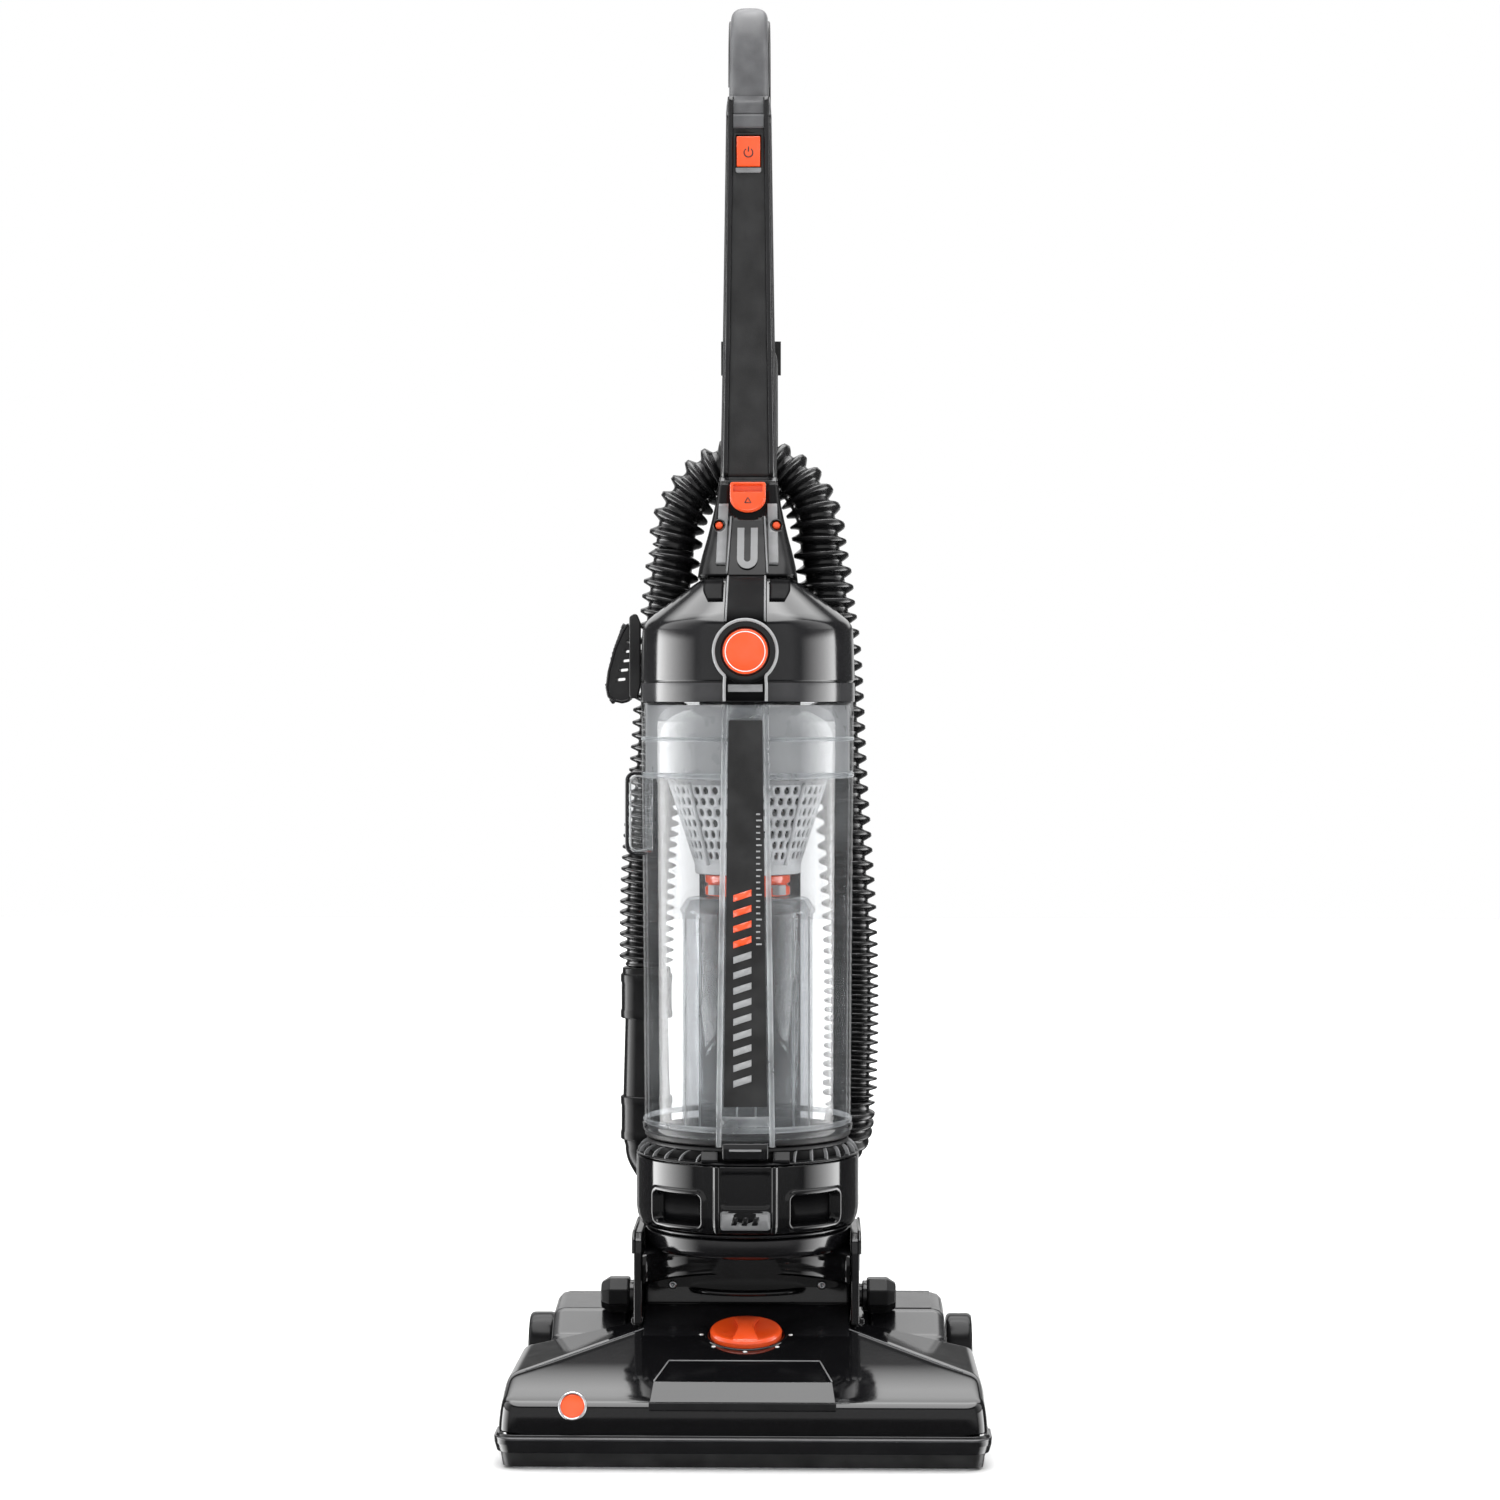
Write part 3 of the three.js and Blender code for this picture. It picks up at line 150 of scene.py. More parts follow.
def moulded(name, color, roughness, grain=900.0, grain_depth=0.00004, dust=0.02, coat=0.0, shine=0.5):
    """Injection-moulded plastic: fine grain, slightly uneven sheen, and a little dust in the colour."""
    s = Shader(name)
    body = s.add("BsdfPrincipled", IOR=1.5)
    pale = tuple(min(1, c + dust) for c in color)
    s.link(s.mix(s.ramp(s.noise(38, 5), 0.0, 1.0, 0.4, 0.75), color, pale), body, "Base Color")
    s.link(
        s.ramp(s.noise(70, 4), roughness * (1 - SHEEN_SPREAD), roughness * (1 + SHEEN_SPREAD)), body,
        "Roughness",
    )
    s.link(s.bump(s.noise(grain, 2), 0.35, grain_depth), body, "Normal")
    body.inputs["Specular IOR Level"].default_value = shine
    body.inputs["Coat Weight"].default_value = coat
    body.inputs["Coat Roughness"].default_value = 0.04
    return s.surface(body.outputs["BSDF"])


def textured(name, color, roughness=0.55):
    """Spark-eroded plastic, with a pebbled grain that scatters the light."""
    s = Shader(name)
    body = s.add("BsdfPrincipled", IOR=1.48)
    cells = s.add("TexVoronoi", Scale=1500.0, feature="SMOOTH_F1")
    s.link(s.place, cells, "Vector")
    pale = tuple(c * 1.6 + 0.01 for c in color)
    s.link(s.mix(s.ramp(s.noise(55, 5), 0.0, 1.0, 0.35, 0.8), color, pale), body, "Base Color")
    s.link(s.ramp(s.noise(110, 3), roughness * 0.85, roughness * 1.15), body, "Roughness")
    fine = s.bump(cells.outputs["Distance"], 0.5, 0.00012)
    s.link(s.bump(s.noise(14, 2), 0.15, 0.0006, fine), body, "Normal")
    return s.surface(body.outputs["BSDF"])


def rubbery(name, color):
    """Rubber: uneven dull sheen with chalky patches."""
    s = Shader(name)
    body = s.add("BsdfPrincipled", IOR=1.52)
    chalk = tuple(c + 0.03 for c in color)
    s.link(s.mix(s.ramp(s.noise(90, 6), 0.0, 0.8, 0.5, 0.8), color, chalk), body, "Base Color")
    s.link(s.ramp(s.noise(60, 4), 0.38, 0.6), body, "Roughness")
    s.link(s.bump(s.noise(1400, 3), 0.4, 0.00008), body, "Normal")
    body.inputs["Sheen Weight"].default_value = 0.1
    return s.surface(body.outputs["BSDF"])


def clear_plastic(name, tint, haze=0.05):
    """Thin clear walls: mostly see-through, mirror-like at a slant, with faint rubbing marks.

    The index is turned over on back faces, so that a wall seen from inside doesn't reflect totally.
    """
    s = Shader(name)
    through = s.add("BsdfTransparent", Color=(*tint, 1))
    shine = s.add("BsdfGlossy", Color=(1, 1, 1, 1), Roughness=0.04)
    milk = s.add("BsdfTranslucent", Color=(0.9, 0.92, 0.93, 1))
    edge = s.add("Fresnel")
    facing = s.add("Math")
    facing.operation = "MULTIPLY_ADD"
    s.links.new(s.add("NewGeometry").outputs["Backfacing"], facing.inputs[0])
    facing.inputs[1].default_value = 1 / CLEAR_IOR - CLEAR_IOR
    facing.inputs[2].default_value = CLEAR_IOR
    s.link(facing.outputs[0], edge, "IOR")
    scratches = s.noise(260, 6)
    s.link(s.ramp(scratches, 0.02, 0.12, 0.45, 0.75), shine, "Roughness")
    s.link(s.bump(s.noise(9, 2), 0.08, 0.0008), shine, "Normal")
    soft = s.add("MixShader")
    s.link(s.ramp(s.noise(22, 4), haze * 0.5, haze * 1.6), soft, "Fac")
    s.links.new(through.outputs["BSDF"], soft.inputs[1])
    s.links.new(milk.outputs["BSDF"], soft.inputs[2])
    both = s.add("MixShader")
    share = s.add("Math", operation="MULTIPLY")
    s.link(edge.outputs["Fac"], share, 0)
    share.inputs[1].default_value = CLEAR_MIRROR
    s.link(share.outputs[0], both, "Fac")
    s.links.new(soft.outputs["Shader"], both.inputs[1])
    s.links.new(shine.outputs["BSDF"], both.inputs[2])
    return s.surface(both.outputs["Shader"])


def metal(name, color, roughness, brushed=0.0):
    """Metal with fine brushing lines and an uneven polish."""
    s = Shader(name)
    body = s.add("BsdfPrincipled", Metallic=1.0)
    lines = s.add("TexWave", Scale=420.0, Distortion=6.0, Detail=3.0, bands_direction="X")
    s.link(s.place, lines, "Vector")
    dark = tuple(c * 0.75 for c in color)
    s.link(s.mix(s.ramp(s.noise(60, 5), 0.0, 1.0), dark, color), body, "Base Color")
    s.link(s.ramp(s.noise(200, 3), roughness * 0.8, roughness * 1.3), body, "Roughness")
    s.link(s.bump(lines.outputs["Fac"], 0.2 + brushed, 0.00003), body, "Normal")
    return s.surface(body.outputs["BSDF"])


def paper(name, color):
    """Filter paper: matt, with visible fibres."""
    s = Shader(name)
    body = s.add("BsdfPrincipled", Roughness=0.95)
    grey = tuple(c * 0.8 for c in color)
    s.link(s.mix(s.ramp(s.noise(300, 6), 0.0, 1.0), grey, color), body, "Base Color")
    s.link(s.bump(s.noise(2200, 4), 0.6, 0.0001), body, "Normal")
    return s.surface(body.outputs["BSDF"])


GLOSS = moulded("gloss_black", (0.0035, 0.0035, 0.004), 0.07, grain=260, grain_depth=0.00002, dust=0.001)
SATIN = moulded("body_black", (0.006, 0.006, 0.0068), 0.17, grain=420, grain_depth=0.00003, dust=0.003)
DEEP = moulded("lid_black", (0.0075, 0.0075, 0.0085), 0.12, grain=420, grain_depth=0.00002, dust=0.003)
MATT = textured("matt_black", (0.009, 0.009, 0.0095), 0.5)
HANDLE = textured("handle_black", (0.014, 0.014, 0.0145), 0.42)
GRIP = textured("grip_grey", (0.085, 0.086, 0.09), 0.46)
ORANGE = moulded("orange", (0.88, 0.085, 0.012), 0.2, grain=600, dust=0.03, coat=0.3)
RUBBER = rubbery("rubber", (0.009, 0.009, 0.0095))
HOSE_SKIN = moulded("hose_black", (0.006, 0.006, 0.0065), 0.24, grain=700, dust=0.004)
CLEAR = clear_plastic("clear_cup", (0.93, 0.935, 0.94), haze=0.025)
INNER_CLEAR = clear_plastic("clear_tube", (0.88, 0.885, 0.89), haze=0.09)
CLEAR_RIB = clear_plastic("clear_rib", (0.9, 0.905, 0.91), haze=0.36)
PALE = textured("mesh_grey", (0.42, 0.424, 0.43), 0.4)
FILTER = paper("filter_paper", (0.78, 0.77, 0.72))
STEEL = metal("steel", (0.55, 0.56, 0.58), 0.25, 0.2)
CHROME = metal("chrome", (0.82, 0.83, 0.85), 0.08)
COPPER = metal("copper", (0.62, 0.27, 0.14), 0.35)
BRISTLE = textured("bristle", (0.03, 0.03, 0.032), 0.5)
LIGHT_GREY = textured("panel_grey", (0.17, 0.172, 0.176), 0.42)
BAND_GREY = moulded("band_grey", (0.03, 0.03, 0.032), 0.14, dust=0.01)
DIM_BLACK = moulded("dim_black", (0.006, 0.006, 0.0065), 0.2, grain=420, dust=0.004, shine=0.16)
# Near black with almost no reflection: the lid's bar, and painted shade on the sunk windows' floors and
# beside the lid's bar.
DARK_AND_PAINTED_SHADE = moulded("dark_and_painted_shade", (0.003, 0.003, 0.0034), 0.4, grain=420, dust=0.002, shine=0.03)
FROST = moulded("flange_grey", (0.3, 0.303, 0.307), 0.3)
# Silver print on the strip, and painted highlights along the cup bulge's edge and round the lid badge.
SILVER_PRINT_AND_PAINTED_HIGHLIGHT = moulded("silver_print_and_painted_highlight", (0.33, 0.335, 0.34), 0.3, dust=0.03)
# Grey trim, and painted highlights: thin light rods along the nozzle panel's edges, the nozzle's crests, the
# lid bar's edges and the neck strip's edges.
GREY_TRIM_AND_PAINTED_HIGHLIGHT = moulded("grey_trim_and_painted_highlight", (0.17, 0.173, 0.177), 0.34, dust=0.04)
WHITE_INK = moulded("white_ink", (0.85, 0.85, 0.84), 0.45, dust=0.03)


# -------------------------------------------------- mesh helpers
def piece(name, points, faces, body, material, slot, replaces=(), smooth=True):
    """A closed mesh from millimetre points, riding on a CAD body."""
    mesh = bpy.data.meshes.new(name)
    mesh.from_pydata([tuple(float(c) * MM for c in p) for p in points], [], [tuple(f) for f in faces])
    bm = bmesh.new()
    bm.from_mesh(mesh)
    bmesh.ops.remove_doubles(bm, verts=bm.verts, dist=1e-6)
    bmesh.ops.dissolve_degenerate(bm, edges=bm.edges, dist=1e-6)
    bmesh.ops.recalc_face_normals(bm, faces=bm.faces)
    bm.to_mesh(mesh)
    bm.free()
    obj = bpy.data.objects.new(name, mesh)
    bpy.context.scene.collection.objects.link(obj)
    mesh.materials.append(material)
    mesh.polygons.foreach_set("use_smooth", [smooth] * len(mesh.polygons))
    if body:
        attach(obj, body)
    if replaces:
        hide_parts(*replaces)
    return obj


def soften(obj, width=0.8, segments=3, angle=28.0):
    """Rounds the edges sharper than the angle, and evens out the shading of the flats between them."""
    bevel = obj.modifiers.new("bevel", "BEVEL")
    bevel.width = width * MM
    bevel.segments = segments
    bevel.limit_method = "ANGLE"
    bevel.angle_limit = math.radians(angle)
    bevel.harden_normals = False
    even = obj.modifiers.new("even", "WEIGHTED_NORMAL")
    even.keep_sharp = False
    even.weight = 80
    return obj


def even_shading(obj):
    even = obj.modifiers.new("even", "WEIGHTED_NORMAL")
    even.weight = 80
    return obj


def rounded(outline, radius, steps=4):
    """A closed outline with each corner rounded; a point may carry its own radius as a third value."""
    result = []
    count = len(outline)
    for i, corner in enumerate(outline):
        p = np.array(corner[:2], float)
        r = corner[2] if len(corner) > 2 else radius
        before = np.array(outline[i - 1][:2], float) - p
        after = np.array(outline[(i + 1) % count][:2], float) - p
        reach_a, reach_b = np.linalg.norm(before), np.linalg.norm(after)
        u, v = before / reach_a, after / reach_b
        turn = math.acos(max(-1.0, min(1.0, float(u @ v))))
        if r <= 0 or math.pi - turn < 0.03:
            result.append(tuple(p))
            continue
        back = min(r / math.tan(turn / 2), reach_a * 0.45, reach_b * 0.45)
        r = back * math.tan(turn / 2)
        centre = p + (u + v) / np.linalg.norm(u + v) * (r / math.sin(turn / 2))
        start, end = p + u * back, p + v * back
        a0 = math.atan2(*(start - centre)[::-1])
        sweep = (math.atan2(*(end - centre)[::-1]) - a0 + math.pi) % TAU - math.pi
        for k in range(steps + 1):
            a = a0 + sweep * k / steps
            result.append((centre[0] + r * math.cos(a), centre[1] + r * math.sin(a)))
    return result


def tube_faces(rings, sides, closed_rings=True, closed_path=False):
    """Quads of a skin over rings of equally many points; each ring and their row may be open or closed."""
    faces = []
    for r in range(rings if closed_path else rings - 1):
        for i in range(sides if closed_rings else sides - 1):
            j = (i + 1) % sides
            a, b = r * sides, ((r + 1) % rings) * sides
            faces.append((a + i, a + j, b + j, b + i))
    return faces


def capped(points, n):
    """The skin over a stack of rings of n points each, closed at both ends."""
    ends = [tuple(range(n)), tuple(range(len(points) - n, len(points)))]
    return points, tube_faces(len(points) // n, n) + ends


def grid_faces(w, rows, start=0):
    """Quads between rows of w points each."""
    corners = [start + j * w + i for j in range(rows - 1) for i in range(w - 1)]
    return [(a, a + 1, a + w + 1, a + w) for a in corners]


def sheet(points, w, rows):
    """Two skins of rows by w points each, joined round their edges."""
    half = w * rows
    loop = list(range(w)) + [j * w + w - 1 for j in range(1, rows)]
    loop += [(rows - 1) * w + i for i in range(w - 2, -1, -1)] + [j * w for j in range(rows - 2, 0, -1)]
    edge = [(a, b, b + half, a + half) for a, b in zip(loop, loop[1:] + loop[:1])]
    return points, grid_faces(w, rows) + grid_faces(w, rows, half) + edge


def turn(profile, centre=(0, 0), sides=112, start=0.0, sweep=360.0):
    """A closed (radius, z) outline turned about a vertical axis. 0 degrees is +X, and 270 is the front."""
    full = sweep >= 360
    steps = sides if full else max(2, round(sides * sweep / 360))
    angles = [math.radians(start + sweep * k / steps) for k in range(steps if full else steps + 1)]
    points = [
        (centre[0] + r * math.cos(a), centre[1] + r * math.sin(a), z) for a in angles for r, z in profile
    ]
    n = len(profile)
    faces = tube_faces(len(angles), n, True, full)
    if not full:
        faces.append(tuple(range(n)))
        faces.append(tuple(range(len(points) - n, len(points))))
    return points, faces


def turned_x(profile, centre, sides=96):
    """A closed (radius, x) outline turned about an axis along X through centre (y, z)."""
    points, faces = turn(profile, sides=sides)
    return [(z, centre[0] + x, centre[1] + y) for x, y, z in points], faces


def turned_y(profile, centre, sides=96):
    """A closed (radius, y) outline turned about an axis along Y through centre (x, z)."""
    points, faces = turn(profile, sides=sides)
    return [(centre[0] + x, z, centre[1] + y) for x, y, z in points], faces


def prism(outline, low, high, axis):
    """A closed outline drawn out along an axis: x takes (y, z) pairs, y takes (x, z), z takes (x, y)."""
    order = {"x": lambda a, b, t: (t, a, b), "y": lambda a, b, t: (a, t, b), "z": lambda a, b, t: (a, b, t)}
    return capped([order[axis](a, b, t) for t in (low, high) for a, b in outline], len(outline))


def slab(x0, x1, y0, y1, z0, z1):
    """A plain block."""
    return prism([(x0, y0), (x1, y0), (x1, y1), (x0, y1)], z0, z1, "z")


def together(*parts):
    """Several (points, faces) sets as one."""
    points, faces = [], []
    for some_points, some_faces in parts:
        shift = len(points)
        points += list(some_points)
        faces += [tuple(i + shift for i in f) for f in some_faces]
    return points, faces


def mirror_x(part):
    """A part's mirror image across the machine's middle plane."""
    points, faces = part
    return [(-x, y, z) for x, y, z in points], [tuple(reversed(f)) for f in faces]


def on_side(side, part):
    """A part drawn at the right, or its mirror image at the left."""
    return part if side > 0 else mirror_x(part)


def moved(part, matrix):
    """A part carried by a matrix."""
    points, faces = part
    return [tuple(matrix @ Vector(p)) for p in points], faces


def smooth_path(points, count):
    """Centripetal Catmull-Rom curve through the points, sampled evenly by length."""
    p = [np.array(q, float) for q in points]
    p = [2 * p[0] - p[1]] + p + [2 * p[-1] - p[-2]]
    samples = []
    for i in range(1, len(p) - 2):
        a, b, c, d = p[i - 1 : i + 3]
        t1 = math.sqrt(np.linalg.norm(b - a))
        t2 = t1 + math.sqrt(np.linalg.norm(c - b))
        t3 = t2 + math.sqrt(np.linalg.norm(d - c))
        for t in np.linspace(t1, t2, 40, endpoint=False):
            ab = (t1 - t) / t1 * a + t / t1 * b
            bc = (t2 - t) / (t2 - t1) * b + (t - t1) / (t2 - t1) * c
            cd = (t3 - t) / (t3 - t2) * c + (t - t2) / (t3 - t2) * d
            abc = (t2 - t) / t2 * ab + t / t2 * bc
            bcd = (t3 - t) / (t3 - t1) * bc + (t - t1) / (t3 - t1) * cd
            samples.append((t2 - t) / (t2 - t1) * abc + (t - t1) / (t2 - t1) * bcd)
    samples.append(p[-2])
    samples = np.array(samples)
    lengths = np.concatenate([[0], np.cumsum(np.linalg.norm(np.diff(samples, axis=0), axis=1))])
    spots = np.linspace(0, lengths[-1], count)
    return np.stack([np.interp(spots, lengths, samples[:, k]) for k in range(3)], axis=1), lengths[-1]


def frames_along(path):
    """Two vectors square to the path at each of its points, carried along without twist."""
    tangents = np.gradient(path, axis=0)
    tangents /= np.linalg.norm(tangents, axis=1)[:, None]
    side = np.array([1.0, 0, 0]) if abs(tangents[0][0]) < 0.9 else np.array([0, 1.0, 0])
    sides, ups = [], []
    for t in tangents:
        side = side - t * (side @ t)
        side /= np.linalg.norm(side)
        sides.append(side)
        ups.append(np.cross(t, side))
    return np.array(sides), np.array(ups)


def swept(path, section):
    """A solid along a path; section(i, share) gives the ring of (side, up) offsets at point i."""
    side, up = frames_along(path)
    points = []
    count = len(path)
    for i in range(count):
        ring = section(i, i / (count - 1))
        points += [tuple(path[i] + side[i] * a + up[i] * b) for a, b in ring]
    return capped(points, len(ring))


def circle(radius, sides=20):
    """A ring of (side, up) offsets."""
    return [(radius * math.cos(TAU * k / sides), radius * math.sin(TAU * k / sides)) for k in range(sides)]


def rod(path, radius, sides=8):
    """A round bar along a path."""
    return swept(path, lambda i, share: circle(radius, sides))


def hollow_sweep(path, outer, inner, sides=24):
    """A tube with an open bore; outer and inner are radii, or functions of (i, share)."""
    side, up = frames_along(path)
    count = len(path)
    order = [(i, outer) for i in range(count)] + [(i, inner) for i in reversed(range(count))]
    points = []
    for i, radius in order:
        r = radius(i, i / (count - 1)) if callable(radius) else radius
        points += [tuple(path[i] + side[i] * a * r + up[i] * b * r) for a, b in circle(1.0, sides)]
    return points, tube_faces(2 * count, sides, True, True)


def keep(node, material, width=0.6, segments=2):
    """A CAD node that stays: rounded edges and a finished material."""
    obj = frame["nodes"][node]
    obj.data.materials.clear()
    obj.data.materials.append(material)
    merge = obj.modifiers.new("merge", "DECIMATE")
    merge.decimate_type = "DISSOLVE"
    merge.angle_limit = math.radians(0.6)
    soften(obj, width, segments, 32.0)
    return obj


# -------------------------------------------------- floor nozzle
HOOD = span("nozzle_cover")
HOOD_HALF = HOOD[0][1]
HOOD_FRONT, HOOD_REAR = HOOD[1]
HOOD_LOW = HOOD[2][0]
HOOD_WALL = 2.6
HOOD_SIDE, HOOD_NOSE = 5.0, 11.0  # how far the rounded side and front edges reach in
CREST_X, CREST_Y, CREST_Z = 80.0, -30.0, 76.5
COWL_HALF, COWL_START, COWL_REAR, COWL_TOP = 77.5, -25.0, 3.0, HOOD[2][1] - 1.0


def soft_min(a, b, k):
    """The smaller of two heights, with the crease between them rounded over k."""
    h = max(k - abs(a - b), 0) / k
    return min(a, b) - h * h * k / 4


WING_FALL_X, WING_FALL_Y = 0.225, 0.03  # the wings' slopes, outwards and rearwards


def deck_height(x, y):
    """Height of the hood's top: a sloping nose between two falling wings."""
    nose = np.interp(y, [-95, COWL_START, 22], [63.5, 77.5, 86.4])
    if y < -95:
        nose -= 0.2 * (-95 - y) + 0.0011 * (-95 - y) ** 2
    wing = CREST_Z - WING_FALL_X * (abs(x) - CREST_X) - WING_FALL_Y * (y - CREST_Y)
    return soft_min(nose, wing, 2.2)


def hood_ring(out, inward, half, front, rear, corner_front, corner_rear, counts):
    """Plan outline with its sides moved out, and its front moved in, by the given lengths."""
    along_x, along_y, turn_steps = counts
    h = half + out
    share = inward / HOOD_NOSE
    f = front + inward
    r = rear - 2.5 * share
    cf, cr = corner_front * (1 - share), corner_rear * (1 - share)
    ring = []

    def run(p, q, n):
        ring.extend((p[0] + (q[0] - p[0]) * i / n, p[1] + (q[1] - p[1]) * i / n) for i in range(n))

    def arc(cx, cy, radius, start):
        for i in range(turn_steps):
            a = math.radians(start + 90 * i / turn_steps)
            ring.append((cx + radius * math.cos(a), cy + radius * math.sin(a)))

    run((-h + cf, f), (h - cf, f), along_x)
    arc(h - cf, f + cf, cf, 270)
    run((h, f + cf), (h, r - cr), along_y)
    arc(h - cr, r - cr, cr, 0)
    run((h - cr, r), (-h + cr, r), along_x)
    arc(-h + cr, r - cr, cr, 90)
    run((-h, r - cr), (-h, f + cf), along_y)
    arc(-h + cf, f + cf, cf, 180)
    return ring


def hood_shell():
    """The hood as a shell: outer skin, rolled lower rim, and an inner skin one wall in."""
    counts = (150, 78, 6)
    edge = (
        (0, 0, 0), (0, 0, 0.04), (5.3, 0, 0.06), (5.4, 0, 0.12), (5.0, 0, 0.34), (4.4, 0, 0.55),
        (3.6, 0.2, 0.74), (2.6, 0.8, 0.86), (1.6, 1.8, 0.925), (0.4, 3.4, 0.965), (-1.2, 5.6, 0.985),
        (-3, 8.4, 0.996), (-5, 11, 1),
    )
    rings = []
    for out, inward, rise in edge:
        ring = hood_ring(out, inward, HOOD_HALF, HOOD_FRONT, HOOD_REAR, 13, 3, counts)
        z_of = [HOOD_LOW + (deck_height(x, y) - HOOD_LOW) * rise for x, y in ring]
        rings.append([(x, y, z) for (x, y), z in zip(ring, z_of)])
    inner = []
    for out, inward, rise in reversed(edge):
        ring = hood_ring(
            out, inward, HOOD_HALF - HOOD_WALL, HOOD_FRONT + HOOD_WALL, HOOD_REAR - HOOD_WALL, 11, 2, counts,
        )
        inner.append([(x, y, HOOD_LOW + (deck_height(x, y) - HOOD_WALL - HOOD_LOW) * rise) for x, y in ring])
    # a closed strip from the outer skin's inner edge, over the rim, to the inner skin's inner edge
    strip = list(reversed(rings)) + list(reversed(inner))
    points = [p for ring in strip for p in ring]
    faces = tube_faces(len(strip), len(strip[0]))
    along_x, along_y, _ = counts
    for half, front, rear, drop in (
        (HOOD_HALF, HOOD_FRONT, HOOD_REAR, 0),
        (HOOD_HALF - HOOD_WALL, HOOD_FRONT + HOOD_WALL, HOOD_REAR - HOOD_WALL, HOOD_WALL),
    ):
        h, f, r = half - HOOD_SIDE, front + HOOD_NOSE, rear - 2.5
        start = len(points)
        for j in range(along_y + 1):
            y = f + (r - f) * j / along_y
            points += [
                (x, y, deck_height(x, y) - drop)
                for x in (-h + 2 * h * i / along_x for i in range(along_x + 1))
            ]
        faces += grid_faces(along_x + 1, along_y + 1, start)
    return points, faces


cover = piece("nozzle_cover_hood", *hood_shell(), "base", GLOSS, "gloss_black", ["nozzle_cover"])

# raised middle behind the dial, which runs up to the motor housing
cowl_outline = rounded(
    [
        (COWL_START - 38, 62, 0),
        (COWL_START - 18, 74.2, 30),
        (COWL_START + 2, 78.4, 12),
        (COWL_REAR - 7, 90.5, 12),
        (COWL_REAR, COWL_TOP, 1.2),
        (COWL_REAR, 76, 0),
        (COWL_START, 70, 0),
    ],
    2,
)
cowl = piece("nozzle_cowl", *prism(cowl_outline, -COWL_HALF, COWL_HALF, "x"), "base", SATIN, "gloss_black")
soften(cowl, 2.4, 4)

# front panel that stands proud of the nose, with a turned lip along its lower edge
panel_outline = rounded(
    [(-160.2, 42, 1), (-160.4, 47.2, 2), (-147, 60.6, 2.5), (-95, 66.2, 1.4), (-92, 62, 0), (-140, 48, 0)],
    1.5,
    5,
)


def panel_taper(y):
    return 1 - (y + 152) * 0.0027


bonnet_points, bonnet_faces = prism(panel_outline, -65.5, 65.5, "x")
bonnet_points = [(x * panel_taper(y), y, z) for x, y, z in bonnet_points]
bonnet = piece("nozzle_front_panel", bonnet_points, bonnet_faces, "base", GLOSS, "gloss_black")
soften(bonnet, 1.2, 4)
lip = rounded([(-162.6, 42.6), (-161.6, 48), (-158.4, 48.6), (-159, 42)], 0.8)
lip_piece = piece("nozzle_panel_lip", *prism(lip, -67, 67, "x"), "base", DIM_BLACK, "gloss_black")
soften(lip_piece, 0.6, 2)


def panel_half(y):
    """Half the front panel's width, which narrows towards the rear."""
    return 64.9 * panel_taper(y)


# thin light rods along the front panel's side edges: painted highlights on those edges
panel_highlight_points = [(-panel_half(y), y, 60.6 + (y + 147) * 0.1077) for y in np.linspace(-146.4, -97, 12)]
panel_highlight_points += [(-x, y, z) for x, y, z in reversed(panel_highlight_points)]
panel_highlight_rod = rod(np.array(panel_highlight_points), 0.55)
piece("nozzle_panel_edge_highlight", *panel_highlight_rod, "base", GREY_TRIM_AND_PAINTED_HIGHLIGHT, "grip_grey")


def crease_x(y):
    """Where the sloping nose meets a falling wing."""
    nose = deck_height(0, y)
    return CREST_X + (CREST_Z - WING_FALL_Y * (y - CREST_Y) - nose) / WING_FALL_X


# thin light rods along the crests where the nose meets the wings: painted highlights
crease_highlights = []
for side in (1, -1):
    line = [(crease_x(y), y) for y in np.linspace(-20, -107, 30)]
    line = np.array([(side * x, y, deck_height(x, y) + 0.1) for x, y in line])
    crease_highlights.append(rod(line, 0.5))
piece("nozzle_crease_highlights", *together(*crease_highlights), "base", GREY_TRIM_AND_PAINTED_HIGHLIGHT, "grip_grey")

# round emblem at the nozzle's left, plain: a metal rim round an orange field
EMBLEM_X, EMBLEM_Y, EMBLEM_Z = -121.5, -159.6, 45.0
rim_profile = [(10.4, 0), (10.4, 1.1), (9.9, 1.7), (9.0, 1.7), (8.5, 1.1), (8.5, 0)]
field_profile = [(0, 0), (8.6, 0), (8.6, 0.9), (7.4, 1.2), (0, 1.4)]
lean_back = Matrix.Translation((EMBLEM_X, EMBLEM_Y, EMBLEM_Z)) @ Matrix.Rotation(math.radians(68), 4, "X")
piece("nozzle_emblem_rim", *moved(turn(rim_profile, sides=64), lean_back), "base", CHROME, "steel")
piece("nozzle_emblem", *moved(turn(field_profile, sides=64), lean_back), "base", ORANGE, "orange")

# bumper: a rubber rail with a thin upper bead, round three sides of the nozzle
BUMP = span("front_bumper")
BUMP_HALF, BUMP_FRONT, BUMP_TIP = BUMP[0][1], BUMP[1][0], -124.0
BUMP_LOW, BUMP_HIGH = BUMP[2]


def bumper_path(inset, corner):
    """Plan line round the nozzle's front, moved in by inset."""
    h, f = BUMP_HALF - inset, BUMP_FRONT + inset
    path = [(-h, BUMP_TIP), (-h, BUMP_TIP - 6)]
    path += [
        (-h + corner - corner * math.cos(a), f + corner - corner * math.sin(a))
        for a in np.linspace(0, math.pi / 2, 14)
    ]
    return path + [(-x, y) for x, y in reversed(path)]


def along_bumper(section, corner=16):
    """A section of (inset, z) pairs carried round the nozzle's front."""
    lines = [(bumper_path(inset, max(corner - inset, 5)), z) for inset, z in section]
    points = [(*line[k], z) for k in range(len(lines[0][0])) for line, z in lines]
    return capped(points, len(section))


